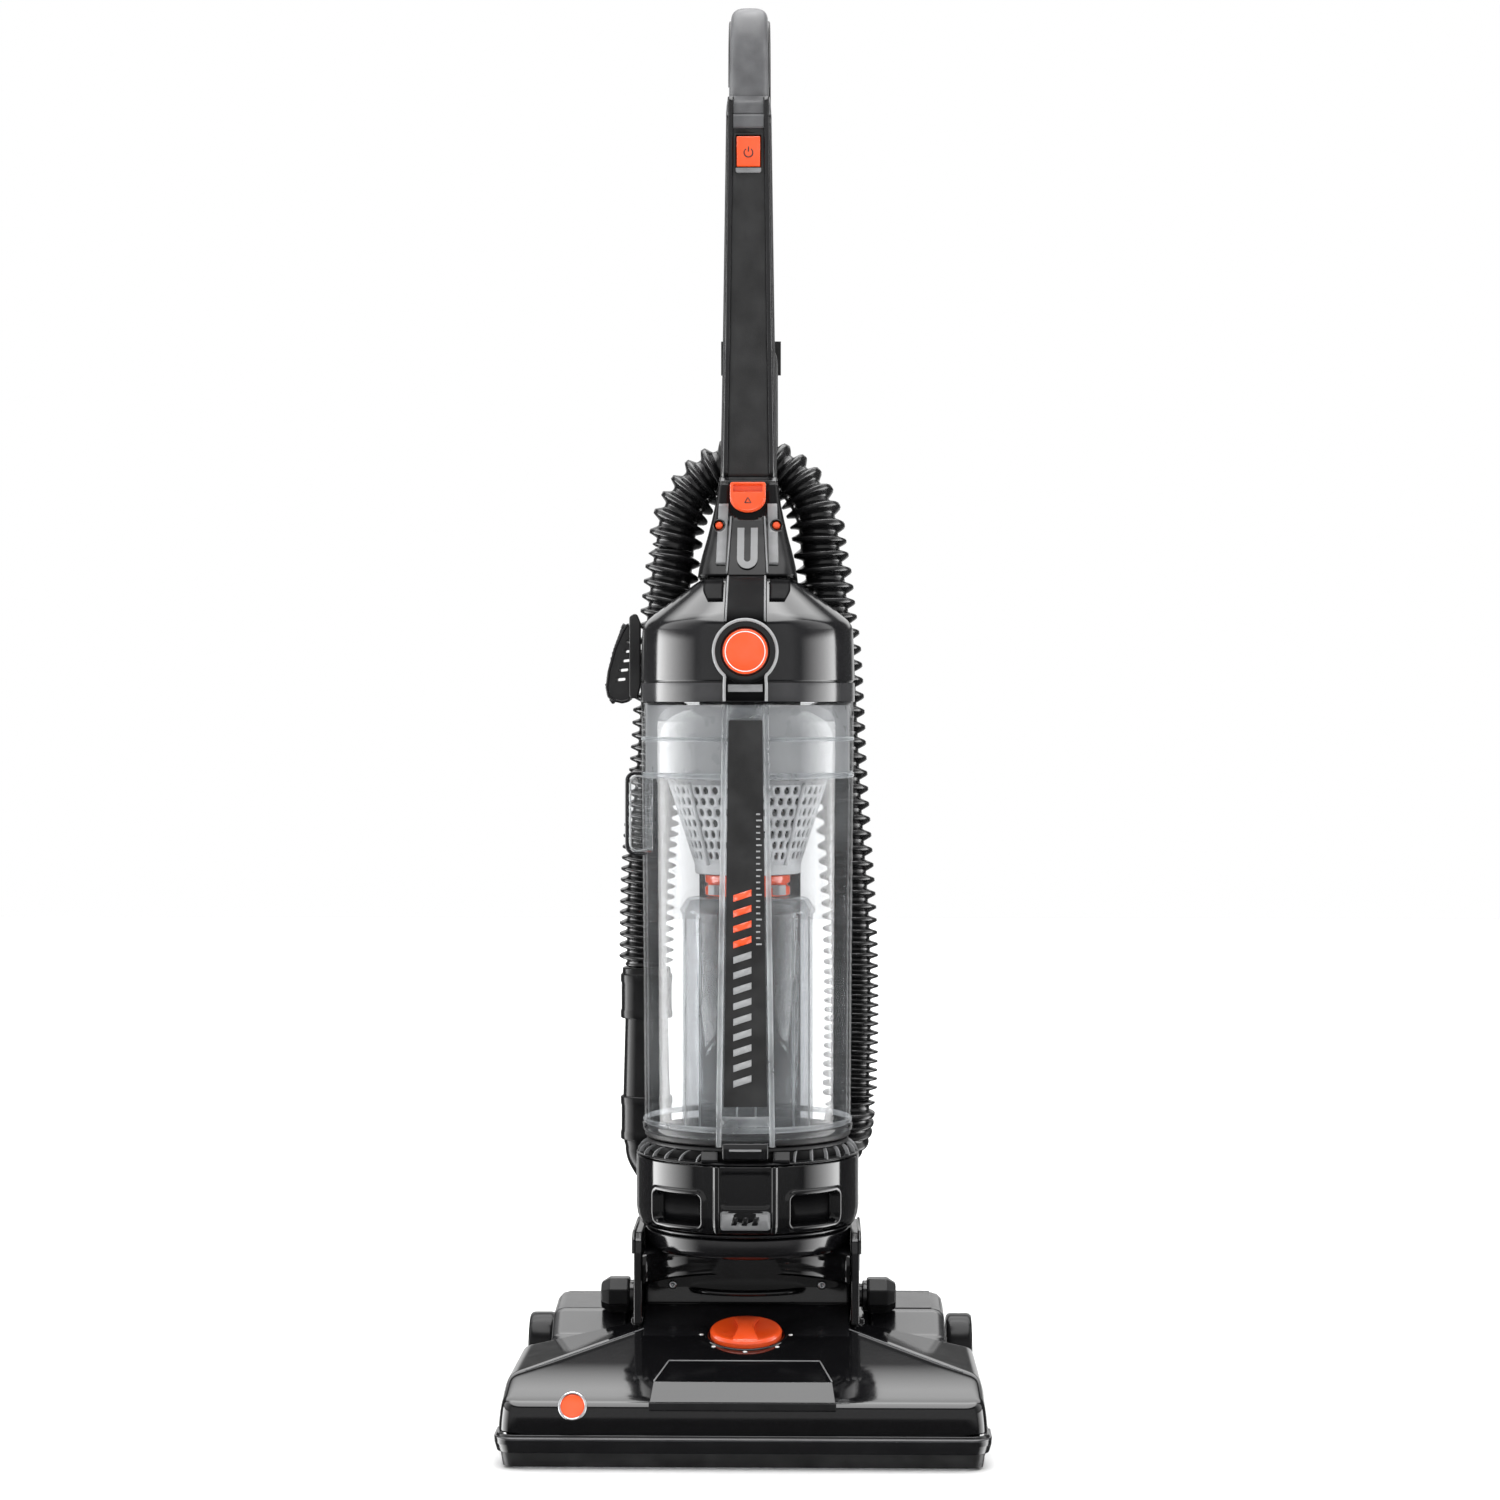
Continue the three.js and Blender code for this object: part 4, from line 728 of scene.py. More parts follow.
rail_section = rounded(
    [
        (0.3, BUMP_LOW + 6), (0, BUMP_HIGH - 3), (1.4, BUMP_HIGH - 1.6), (2.2, BUMP_HIGH), (4.4, BUMP_HIGH),
        (4.6, BUMP_LOW), (2.2, BUMP_LOW),
    ], 0.8, 3,
)
rail = piece("bumper_rail", *along_bumper(rail_section), "base", SATIN, "rubber", ["front_bumper"])
even_shading(rail)
bead = rounded([(0.5, 20.9), (-0.1, 21.5), (-0.1, 22.5), (0.5, 23.1), (1.6, 23.1), (1.6, 20.9)], 0.4, 3)
piece("bumper_bead", *along_bumper(bead), "base", BAND_GREY, "rubber")
skirt = rounded([(6.5, 1.4), (4.6, 12.5), (7.2, 12.5), (8.4, 1.4)], 0.5, 2)
skirt_points, skirt_faces = along_bumper(skirt, 14)
skirt_points = [(x, y, z + (3.4 if 88 < x < 136 and y < -150 and z < 5 else 0)) for x, y, z in skirt_points]
piece("bumper_skirt", skirt_points, skirt_faces, "base", MATT, "rubber")

for node, material, width in (
    ("base_chassis", MATT, 0.8),
    ("sole_plate", STEEL, 0.4),
    ("agitator_bearing_left", MATT, 0.6),
    ("agitator_bearing_right", MATT, 0.6),
    ("drive_belt", RUBBER, 0.3),
    ("lift_carriage", MATT, 0.5),
    ("knob_plunger", MATT, 0.4),
    ("hepa_filter", FILTER, 0.25),
    ("inlet_seal", RUBBER, 1.2),
    ("cord_hook_upper", MATT, 1.6),
    ("cord_hook_lower", MATT, 1.6),
    ("release_pedal", MATT, 1.2),
    ("motor_stator", COPPER, 0.5),
    ("rotor_armature", STEEL, 0.5),
    ("suction_fan", STEEL, 0.3),
    ("rotor_shaft", STEEL, 0.4),
    ("rear_axle_left", STEEL, 0.5),
    ("rear_axle_right", STEEL, 0.5),
):
    keep(node, material, width)

# -------------------------------------------------- rear pods, yoke arms, pivot caps and wheels
POD = span("rear_pod_right")
POD_OUTER = POD[0][1]
POD_INNER = 87.5
YOKE_INNER = POD[0][0]
YOKE_OUTER = YOKE_INNER + 6.0
CAP_R = 14.6
YOKE_TOP = POD[2][1]
POD_LOW = POD[2][0]
POD_REAR = POD[1][1]

pod_outline = rounded(
    [
        (20, POD_LOW, 1), (20, 57, 4), (34, 61, 14), (55, 77.2, 12), (104, 80.8, 30), (123, 79.6, 14),
        (137, 65, 20), (POD_REAR, 48, 16), (POD_REAR, POD_LOW, 2),
    ], 8, 7,
)
arm_outline = rounded(
    [
        (-24, 78.6, 2), (24, 78.6, 3), (26, POD_LOW, 1), (94, POD_LOW, 1), (95, 60, 10), (92, 104, 20),
        (81, 134, 18), (61, YOKE_TOP, 14), (-12, YOKE_TOP, 6), (-21, 142.5, 6), (-24, 134, 8),
    ], 8, 6,
)


def pod_solid():
    """The wheel pod, with its outer cheek stepped in towards the edge."""
    stations = (
        (POD_INNER, 1.5), (POD_INNER + 2, 0), (POD_OUTER - 9, 0), (POD_OUTER - 4, 1.2), (POD_OUTER - 1, 4),
        (POD_OUTER, 8),
    )
    points = []
    for x, inset in stations:
        for y, z in pod_outline:
            lift = inset * min(1, max(0, (z - POD_LOW) / 20))
            back = inset * (1 if y > 100 else -1 if y < 30 else 0) * 0.7
            points.append((x, y - back, z - lift))
    return capped(points, len(pod_outline))


def cutting(part, obj):
    """Takes a closed part out of a piece."""
    tool = piece("cutter", *part, None, MATT, "matt_black")
    boolean = obj.modifiers.new("cut", "BOOLEAN")
    boolean.operation = "DIFFERENCE"
    boolean.solver = "EXACT"
    boolean.object = tool
    bpy.context.view_layer.update()
    depsgraph = bpy.context.evaluated_depsgraph_get()
    mesh = bpy.data.meshes.new_from_object(obj.evaluated_get(depsgraph))
    obj.modifiers.remove(boolean)
    obj.data = mesh
    bpy.data.objects.remove(tool)


for side, name in ((1, "right"), (-1, "left")):
    pod = piece(
        f"pod_shell_{name}", *on_side(side, pod_solid()), "base", SATIN, "body_black", [f"rear_pod_{name}"],
    )
    if side < 0:
        cutting(slab(-127.5, -96.5, 99, 160, 37.5, 69), pod)
    soften(pod, 1.2, 3, 35)
    arm = piece(
        f"yoke_arm_{name}", *on_side(side, prism(arm_outline, YOKE_INNER, YOKE_OUTER, "x")), "base", SATIN,
        "body_black",
    )
    soften(arm, 1.3, 4)
    rim_line = [p for p in arm_outline if p[1] > 100]
    rim_path = np.array([(YOKE_OUTER + 0.2, y, z) for y, z in rim_line])
    rim_tube = rod(rim_path, 1.5, 10)
    piece(f"yoke_rim_{name}", *on_side(side, rim_tube), "base", GLOSS, "body_black")
    web = slab(YOKE_OUTER - 1, POD_INNER + 2, 22, 92, POD_LOW, 76)
    soften(piece(f"yoke_web_{name}", *on_side(side, web), "base", SATIN, "body_black"), 1.0, 2)
    # flat band that wraps over the pod, front to back
    band = [(y, z + 0.9) for y, z in pod_outline if z > 50]
    band += [(y, z - 1.0) for y, z in reversed(pod_outline) if z > 50]
    hoop = piece(f"pod_band_{name}", *on_side(side, prism(band, 93, 96.5, "x")), "base", GLOSS, "body_black")
    even_shading(hoop)

    cap_x0 = YOKE_OUTER + 3.0
    eight = [(CAP_R * math.cos(a), CAP_R * math.sin(a)) for a in np.radians(22.5 + 45 * np.arange(8))]
    cap_points = []
    for x, scale in (
        (cap_x0 + 3.5, 0.93), (cap_x0 + 5, 1), (cap_x0 + 19, 1), (cap_x0 + 25, 0.74), (cap_x0 + 26, 0.66),
    ):
        cap_points += [(x, PIVOT_Y + a * scale, PIVOT_Z + b * scale) for a, b in eight]
    cap_head = on_side(side, capped(cap_points, 8))
    cap = piece(f"pivot_head_{name}", *cap_head, "base", DIM_BLACK, "gloss_black", [f"pivot_cap_{name}"])
    soften(cap, 1.0, 3, 20)
    neck_profile = [(0, 72.5), (9, 72.5), (9, 88), (11.4, 88.3), (11.4, 92.8), (0, 92.8)]
    neck_ring = turned_x(neck_profile, (PIVOT_Y, PIVOT_Z), 48)
    soften(piece(f"pivot_neck_{name}", *on_side(side, neck_ring), "base", SATIN, "gloss_black"), 0.5, 2)

WHEEL = span("rear_wheel_right")
WHEEL_Y, WHEEL_Z = middle("rear_wheel_right")[1:]
WHEEL_R = (WHEEL[2][1] - WHEEL[2][0]) / 2
WHEEL_IN, WHEEL_OUT = WHEEL[0]


def wheel_parts():
    """A smooth tyre, and a dished hub with five spokes."""
    r, a, b = WHEEL_R, WHEEL_IN, WHEEL_OUT
    tyre = [
        (r - 5.5, a + 0.4), (r - 2, a), (r - 0.5, a + 1.4), (r, a + 3.4), (r, b - 3.4), (r - 0.5, b - 1.4),
        (r - 2, b), (r - 5.5, b - 0.4),
    ]
    hub = [
        (4.7, a + 0.5), (11, a + 0.5), (12, a + 3), (r - 7.5, a + 3), (r - 6.6, a + 0.6), (r - 5.4, a + 0.6),
        (r - 5.4, b - 0.8), (r - 6.6, b - 0.8), (r - 9, b - 3.2), (11, b - 4), (10, b - 2.2), (4.7, b - 2.2),
    ]
    spokes = []
    for k in range(5):
        bar = prism([(10, -2.2), (r - 8, -1.5), (r - 8, 1.5), (10, 2.2)], b - 4.6, b - 1.4, "z")
        points, faces = moved(bar, Matrix.Rotation(TAU * k / 5, 4, "Z"))
        spokes.append(([(z, WHEEL_Y + x, WHEEL_Z + y) for x, y, z in points], faces))
    centre = (WHEEL_Y, WHEEL_Z)
    return turned_x(tyre, centre, 96), turned_x(hub, centre, 96), together(*spokes)


for side, name in ((1, "right"), (-1, "left")):
    tyre, hub, spokes = (on_side(side, part) for part in wheel_parts())
    body = f"rear_wheel_{name}"
    piece(f"wheel_tyre_{name}", *tyre, body, DIM_BLACK, "rubber", [f"rear_wheel_{name}"])
    soften(piece(f"wheel_hub_{name}", *hub, body, MATT, "matt_black"), 0.5, 2)
    soften(piece(f"wheel_spokes_{name}", *spokes, body, MATT, "matt_black"), 0.4, 2)

panel_box = span("pod_access_panel")
panel_top = rounded(
    [(58, 76, 1), (58, 78.4, 1), (104, 81.9, 24), (118, 81.2, 2), (118, 78.6, 1), (104, 79.4, 24)], 2, 5
)
access = piece(
    "pod_panel_plate", *prism(panel_top, panel_box[0][0], panel_box[0][1] - 8, "x"), "base", SATIN,
    "body_black", ["pod_access_panel"],
)
soften(access, 0.6, 3)

# -------------------------------------------------- dial, its pointer ridge and the marks round it
DIAL_Y, DIAL_Z, DIAL_SLOPE, DIAL_R = -40.0, 74.5, math.atan(0.2), 27.0
on_deck = Matrix.Translation((0, DIAL_Y, DIAL_Z)) @ Matrix.Rotation(DIAL_SLOPE, 4, "X")
dial_room = moved(turn([(0, -6.5), (DIAL_R + 0.8, -6.5), (DIAL_R + 0.8, 16), (0, 16)], sides=72), on_deck)
for cut_piece in (cover, cowl):
    cutting(dial_room, cut_piece)
knob_profile = [
    (5.6, -0.8), (DIAL_R, -0.8), (DIAL_R, 3.4), (DIAL_R - 1.4, 5.2), (DIAL_R - 4, 5.4), (DIAL_R - 11, 3.2),
    (5.6, 2.8),
]
knob = piece(
    "dial_knob", *moved(turn(knob_profile, sides=96), on_deck), "height_knob", ORANGE, "orange",
    ["height_knob"],
)
soften(knob, 0.6, 3, 35)
ridge_points = []
ridge_stations = (
    (-25.4, 8.4, 4.2), (-23.2, 10.6, 6.6), (-13, 7.4, 8.6), (0, 5.4, 9.4), (13, 7.4, 8.6), (23.2, 10.6, 6.6),
    (25.4, 8.4, 4.2),
)
for y, half, top in ridge_stations:
    ridge_points += [(-half - 1.6, y, 2), (-half, y, top - 1.4), (-half + 1.4, y, top), (half - 1.4, y, top)]
    ridge_points += [(half, y, top - 1.4), (half + 1.6, y, 2)]
ridge = piece("dial_ridge", *moved(capped(ridge_points, 6), on_deck), "height_knob", ORANGE, "orange")
smooth_ridge = ridge.modifiers.new("round", "SUBSURF")
smooth_ridge.levels = smooth_ridge.render_levels = 2
well_profile = [
    (DIAL_R + 1.2, -2), (DIAL_R + 3.8, -2), (DIAL_R + 3.8, 0.3), (DIAL_R + 2.6, 0.9), (DIAL_R + 1.2, 0.5),
]
well = piece("dial_well_ring", *moved(turn(well_profile, sides=96), on_deck), "base", GLOSS, "gloss_black")
even_shading(well)
dot_profile = [(0, 0), (1.6, 0), (1.6, 0.25), (0, 0.35)]
MARKS_R = 33.4
dots = []
for degrees in (180, 225, 270, 315, 360):
    a = math.radians(degrees)
    spot = on_deck @ Matrix.Translation((MARKS_R * math.cos(a), MARKS_R * math.sin(a), -0.1))
    x, y, z = spot.translation
    spot.translation.z = deck_height(x, y) + 0.05
    dots.append(moved(turn(dot_profile, sides=20), spot))
piece("dial_marks", *together(*dots), "base", WHITE_INK, "grip_grey")

# -------------------------------------------------- brush roller and small front wheels
ROLLER_Y, ROLLER_Z = middle("agitator_drum")[1:]
ROLLER_X0, ROLLER_X1 = span("agitator_drum")[0]
drum_profile = [
    (0, ROLLER_X0), (4, ROLLER_X0), (4, ROLLER_X0 + 4.8), (15.4, ROLLER_X0 + 5), (16, ROLLER_X0 + 5.8),
    (16, 54.4), (14, 55.4), (14, 66.6), (16, 67.6), (16, ROLLER_X1 - 5.8), (15.4, ROLLER_X1 - 5),
    (4, ROLLER_X1 - 4.8), (4, ROLLER_X1), (0, ROLLER_X1),
]
drum = piece(
    "roller_drum", *turned_x(drum_profile, (ROLLER_Y, ROLLER_Z), 72), "agitator", MATT, "matt_black",
    ["agitator_drum"],
)
even_shading(drum)


def tufts(x0, x1, turns, phase, count):
    """Bristle tufts set along a helix: bundles that splay a little towards their tips."""
    parts = []
    for k in range(count):
        share = (k + 0.5) / count
        angle = phase + share * turns * TAU
        x = x0 + (x1 - x0) * share
        points = []
        for radius, half in ((15.6, 1.5), (18.5, 1.7), (22.3, 2.4)):
            for a, b in circle(half, 10):
                c, s = math.cos(angle), math.sin(angle)
                points.append((x + a, ROLLER_Y + radius * c - b * s, ROLLER_Z + radius * s + b * c))
        parts.append(capped(points, 10))
    return together(*parts)


for name, turns in (("left", 1.0), ("right", 0.5)):
    x0, x1 = span(f"bristle_strip_{name}")[0]
    count = round((x1 - x0) / 5.4)
    strip = tufts(x0 + 2, x1 - 2, turns, math.pi / 2, count)
    piece(f"roller_tufts_{name}", *strip, "agitator", BRISTLE, "rubber", [f"bristle_strip_{name}"])
for name in ("left", "right"):
    node = f"front_wheel_{name}"
    _, y, z = middle(node)
    (x0, x1), radius = span(node)[0], (span(node)[2][1] - span(node)[2][0]) / 2
    profile = [
        (3.2, x0), (radius - 1.2, x0), (radius, x0 + 1.2), (radius, x1 - 1.2), (radius - 1.2, x1), (3.2, x1),
    ]
    roller = piece(f"{node}_tread", *turned_x(profile, (y, z), 48), node, RUBBER, "matt_black", [node])
    soften(roller, 0.4, 2)

# -------------------------------------------------- motor housing between the yoke arms
BARREL_R, HOUSE_HALF = 44.0, YOKE_INNER - 0.4
HOUSE_TOP = span("lower_housing")[2][1]
COLLAR_R = COLUMN_Y - span("lower_housing")[1][0]
barrel_profile = [
    (0, -HOUSE_HALF), (38, -HOUSE_HALF), (BARREL_R - 2, -HOUSE_HALF + 0.6), (BARREL_R, -HOUSE_HALF + 3),
    (BARREL_R, -36), (BARREL_R - 1, -35), (BARREL_R - 1, -33), (BARREL_R, -32),
]
barrel_profile += [(r, -x) for r, x in reversed(barrel_profile)]
barrel = piece(
    "motor_barrel", *turned_x(barrel_profile, (PIVOT_Y, PIVOT_Z), 120), "upright", SATIN, "body_black",
    ["lower_housing"],
)
even_shading(barrel)
column_plan = rounded([(-HOUSE_HALF, 8), (HOUSE_HALF, 8), (HOUSE_HALF, 94), (-HOUSE_HALF, 94)], 12, 6)
column = piece(
    "motor_column", *prism(column_plan, PIVOT_Z, HOUSE_TOP - 1, "z"), "upright", SATIN, "body_black",
)
soften(column, 1.5, 3)
collar_profile = [
    (0, 132), (70, 132), (74.5, 133), (COLLAR_R - 0.6, 136), (COLLAR_R, 139), (COLLAR_R, HOUSE_TOP - 2),
    (COLLAR_R - 0.8, HOUSE_TOP), (0, HOUSE_TOP),
]
collar = piece("motor_collar", *turn(collar_profile, AXIS, 128), "upright", SATIN, "body_black")
even_shading(collar)
brow_line = [(x, -75 + math.sqrt(86**2 - x * x)) for x in np.linspace(-HOUSE_HALF + 1, HOUSE_HALF - 1, 41)]
brow_points = []
for z, grow in ((111.5, 0), (113, -1.6), (118, -0.4), (126, 0.6), (132, -1.2), (134.5, -4)):
    brow_points += [(x, y - grow, z) for x, y in brow_line] + [
        (HOUSE_HALF - 1, 30, z), (-HOUSE_HALF + 1, 30, z),
    ]
brow = piece("motor_brow", *capped(brow_points, len(brow_line) + 2), "upright", GLOSS, "body_black")
even_shading(brow)
disc_profile = [(0, 98), (30, 98), (44, 99.5), (45, 101.5), (43.5, 103.2), (38, 103.8), (0, 103.8)]
disc_points, disc_faces = turn(disc_profile, sides=96)
disc_points = [(x, 8 + y * 0.62, z) for x, y, z in disc_points]
disc = piece("motor_brow_disc", disc_points, disc_faces, "upright", GLOSS, "body_black")
even_shading(disc)


def screw_head(radius, height):
    """A domed screw head with a round recess, standing on the origin along +Z."""
    profile = [
        (0, 0), (radius, 0), (radius, height * 0.5), (radius * 0.8, height * 0.86), (radius * 0.35, height),
        (radius * 0.3, height * 0.5), (0, height * 0.45),
    ]
    return turn(profile, sides=24)


facing_front = Matrix.Rotation(math.pi / 2, 4, "X")
facing_rear = Matrix.Rotation(-math.pi / 2, 4, "X")
screws = [
    moved(screw_head(3.4, 2.2), Matrix.Translation((x, PIVOT_Y - BARREL_R + 2.0, 104)) @ facing_front)
    for x in (-57, 57)
]
piece("housing_screws", *together(*screws), "upright", STEEL, "steel")

# -------------------------------------------------- filter housing, its cover and the vent ring
SHELL_R = (span("filter_housing")[0][1] - span("filter_housing")[0][0]) / 2
SHELL_LOW, SHELL_HIGH = span("filter_housing")[2]
COVER_ANGLE = 77.2  # half the angle that the cover takes up, about the front
shell_outer = [
    (77.5, SHELL_LOW), (79.4, 149.6), (82.2, 153.4), (84.2, 158.5), (SHELL_R, 164),
    (SHELL_R, SHELL_HIGH - 0.8), (SHELL_R - 0.6, SHELL_HIGH),
]
shell_inner = [
    (SHELL_R - 3, SHELL_HIGH), (SHELL_R - 3, 163.5), (80, 155.6), (78.5, 152.2), (60, 152.2),
    (60, SHELL_LOW),
]
rear_shell = turn(shell_outer + shell_inner, AXIS, 128, -12 + 0.2, 204 - 0.4)
floor_disc = turn([(0, SHELL_LOW), (77.5, SHELL_LOW), (79.2, 149.8), (79.4, 152.4), (0, 152.4)], AXIS, 128)
bowl = piece("filter_bowl", *rear_shell, "upright", SATIN, "body_black", ["filter_housing"])
even_shading(bowl)
even_shading(piece("filter_bowl_floor", *floor_disc, "upright", SATIN, "body_black"))

WINDOW_S0, WINDOW_S1 = (SHELL_R * math.asin(x / SHELL_R) for x in (34, 69))
WINDOW_Z0, WINDOW_Z1 = 158.0, 181.0


def box_distance(u, v, u0, u1, v0, v1, corner):
    """Signed distance to a rounded rectangle: negative inside."""
    du = abs(u - (u0 + u1) / 2) - (u1 - u0) / 2 + corner
    dv = abs(v - (v0 + v1) / 2) - (v1 - v0) / 2 + corner
    return math.hypot(max(du, 0), max(dv, 0)) + min(max(du, dv), 0) - corner


def step(value, low, high):
    """Eases from 0 at low to 1 at high."""
    t = min(1, max(0, (value - low) / (high - low)))
    return t * t * (3 - 2 * t)


def cover_relief(s, z):
    """How far the cover's skin stands out of its plain form, at an arc length from the front and a height."""
    window = box_distance(abs(s), z, WINDOW_S0, WINDOW_S1, WINDOW_Z0, WINDOW_Z1, 3.4)
    out = -7.5 * (1 - step(window, -1.8, 0.2))
    out += 1.3 * (1 - step(abs(window - 2.2), 0.7, 2.4))
    ridge = abs(abs(s) - 21.6)
    out += 2.1 * (1 - step(ridge, 1.0, 2.6))
    out -= 0.8 * (1 - step(box_distance(s, z, -17.5, 17.5, 173, 199, 2), -0.8, 0.4))
    return out


def filter_cover_skin():
    """The cover as a curved shell with sunk windows and two upright ridges."""
    z_low, z_high = 153.2, 203.2
    columns, rows = 300, 76
    base_r = lambda z: float(np.interp(z, [153.2, 158.5, 164, 210], [82.1, 84.2, SHELL_R, SHELL_R]))
    points = []
    for skin in (0, 1):
        for j in range(rows + 1):
            z = z_low + (z_high - z_low) * j / rows
            for i in range(columns + 1):
                theta = math.radians(-COVER_ANGLE + 2 * COVER_ANGLE * i / columns)
                relief = cover_relief(SHELL_R * theta, z)
                r = base_r(z) + relief if skin == 0 else base_r(z) - 2.6 + min(relief, 0)
                points.append((r * math.sin(theta), COLUMN_Y - r * math.cos(theta), z))
    return sheet(points, columns + 1, rows + 1)


piece("filter_cover_skin", *filter_cover_skin(), "filter_cover", GLOSS, "gloss_black", ["filter_cover"])


def on_drum(outline, radius, depth):
    """A flat (arc length, z) outline wrapped on the column at a radius, with a thickness."""
    points = []
    for r in (radius, radius + depth):
        for s, z in outline:
            theta = s / SHELL_R
            points.append((r * math.sin(theta), COLUMN_Y - r * math.cos(theta), z))
    return capped(points, len(outline))


# dark sheets on the floors of the sunk windows: painted shade in the recesses
window_shade_sheets = []
for side in (1, -1):
    across = np.linspace(WINDOW_S0 + 0.6, WINDOW_S1 - 0.6, 12)
    outline = [(side * a, WINDOW_Z0 + 0.8) for a in across] + [
        (side * a, WINDOW_Z1 - 0.8)
        for a in across[::-1]
    ]
    window_shade_sheets.append(on_drum(outline, SHELL_R - 7.6, 0.7))
piece("cover_window_painted_shade", *together(*window_shade_sheets), "filter_cover", DARK_AND_PAINTED_SHADE, "matt_black")
plate_frame = rounded([(-18.5, 156.4), (18.5, 156.4), (18.5, 170.4), (-18.5, 170.4)], 2.4, 5)
plate_field = rounded([(-17.3, 157.6), (17.3, 157.6), (17.3, 169.2), (-17.3, 169.2)], 1.6, 5)
piece(
    "cover_plate_frame", *on_drum(plate_frame, SHELL_R - 1.2, 2.0), "filter_cover", GREY_TRIM_AND_PAINTED_HIGHLIGHT, "grip_grey",
)
piece(
    "cover_plate_field", *on_drum(plate_field, SHELL_R - 1.2, 2.5), "filter_cover", LIGHT_GREY, "body_black",
)
bars = [
    on_drum(
        [(-10.4 + 7.6 * k, 160.2), (-6.4 + 7.6 * k, 160.2), (-5 + 7.6 * k, 166.4), (-9 + 7.6 * k, 166.4)],
        SHELL_R, 1.55,
    )
    for k in range(3)
]
piece("cover_plate_bars", *together(*bars), "filter_cover", DIM_BLACK, "grip_grey")

VENT_LOW, VENT_HIGH = span("vent_grille")[2]
rim_outline = [
    (74, VENT_LOW), (SHELL_R - 0.5, VENT_LOW), (SHELL_R, VENT_LOW + 0.6), (SHELL_R, VENT_LOW + 1.5),
    (83, VENT_LOW + 2.5), (74, VENT_LOW + 2.5),
]
even_shading(
    piece("vent_rim", *turn(rim_outline, AXIS, 128), "upright", DIM_BLACK, "matt_black", ["vent_grille"])
)
crown_outline = [
    (71, VENT_LOW), (74, VENT_LOW), (74, VENT_LOW + 8), (77, VENT_LOW + 9.5), (77.4, VENT_LOW + 10.2),
    (77, VENT_HIGH - 0.6), (76, VENT_HIGH), (71, VENT_HIGH),
]
even_shading(piece("vent_crown", *turn(crown_outline, AXIS, 128), "upright", MATT, "matt_black"))


def vent_fin(degrees):
    """One louvre: a blade that curves up from the rim to the crown and leans along the ring."""
    stations = []
    for k in range(7):
        a = math.radians(90 * k / 6)
        r = 73.6 + 10.6 * math.cos(a)
        z = VENT_LOW + 1.4 + 8.8 * math.sin(a)
        lean = math.radians(degrees + 5.5 * (1 - math.cos(a)))
        stations.append((r, z, lean))
    points = []
    for r, z, lean in stations:
        for dr, ds in ((0, -0.55), (0, 0.55), (-3.2, 0.55), (-3.2, -0.55)):
            theta = lean + ds / 80
            points.append(
                ((r + dr) * math.sin(theta), COLUMN_Y - (r + dr) * math.cos(theta), z - 0.3 * (dr < 0))
            )
    return capped(points, 4)


fins = [vent_fin(side * degrees) for side in (1, -1) for degrees in np.arange(26, 118, 10.4)]
soften(piece("vent_fins", *together(*fins), "upright", LIGHT_GREY, "matt_black"), 0.25, 2)


def vent_shoulder(side):
    outline = rounded(
        [(-83.4, VENT_LOW + 1.8), (-70, VENT_LOW + 1.8), (-70, VENT_LOW + 10), (-75.4, VENT_LOW + 10)], 1.6,
        4,
    )
    low, high = sorted((side * 20.5, side * 33))
    return prism([(COLUMN_Y + y, z) for y, z in outline], low, high, "x")


soften(
    piece(
        "vent_shoulders", *together(vent_shoulder(1), vent_shoulder(-1)), "upright", DIM_BLACK, "matt_black",
    ), 0.8, 3,
)

# -------------------------------------------------- clear dirt cup and what stands in it
CUP_LOW, CUP_HIGH = 222.4, 548.0
CUP_R0, CUP_R1, CUP_WALL = 79.0, 81.4, 2.2
RIB_LOW, RIB_HIGH, RIB_FRONT = 217.5, 547.0, -64.2
RIB_X0, RIB_X1 = 20.0, 15.2  # the front ribs' distance from the middle at their feet and heads


def cup_radius(z):
    """The cup widens a little towards the lid."""
    return CUP_R0 + (CUP_R1 - CUP_R0) * (z - CUP_LOW) / (CUP_HIGH - CUP_LOW)


cup_outer = [
    (CUP_R0 + 0.8, CUP_LOW), (CUP_R0 + 1.4, CUP_LOW + 0.6), (CUP_R0 + 1.4, CUP_LOW + 5),
    (CUP_R0, CUP_LOW + 7),
]
cup_outer += [(cup_radius(z), z) for z in np.linspace(CUP_LOW + 9, CUP_HIGH - 0.4, 20)]
cup_inner = [(cup_radius(z) - CUP_WALL, z) for z in np.linspace(CUP_HIGH, CUP_LOW + 8, 12)]
cup_inner += [(CUP_R0 - CUP_WALL, CUP_LOW + 7), (CUP_R0 - CUP_WALL, CUP_LOW)]
piece("cup_shell", *turn(cup_outer + cup_inner, AXIS, 160), "dirt_cup", CLEAR, "clear", ["dirt_cup"])
rings = []
for z, height, proud in ((520.5, 1.6, 0.35), (493, 2.4, 0.5), (229.5, 2.2, 0.7)):
    r = cup_radius(z)
    outline = [
        (r - 1, z - height), (r + proud, z - height * 0.6), (r + proud, z + height * 0.6),
        (r - 1, z + height),
    ]
    rings.append(turn(outline, AXIS, 128))
piece("cup_bands", *together(*rings), "dirt_cup", CLEAR_RIB, "clear")


def cup_rib(side):
    """One of the two leaning ribs up the front, with a rounded outer edge."""
    points = []
    out = RIB_FRONT
    for z in np.linspace(RIB_LOW + 0.5, RIB_HIGH, 24):
        x = side * (RIB_X0 + (RIB_X1 - RIB_X0) * (z - RIB_LOW) / (RIB_HIGH - RIB_LOW))
        back = COLUMN_Y - math.sqrt((cup_radius(z) - 0.6) ** 2 - x * x)
        section = [
            (-2, back), (-2, out + 1.4), (-1.3, out + 0.4), (0, out), (1.3, out + 0.4), (2, out + 1.4),
            (2, back),
        ]
        points += [(x + dx, y, z) for dx, y in section]
    return capped(points, 7)


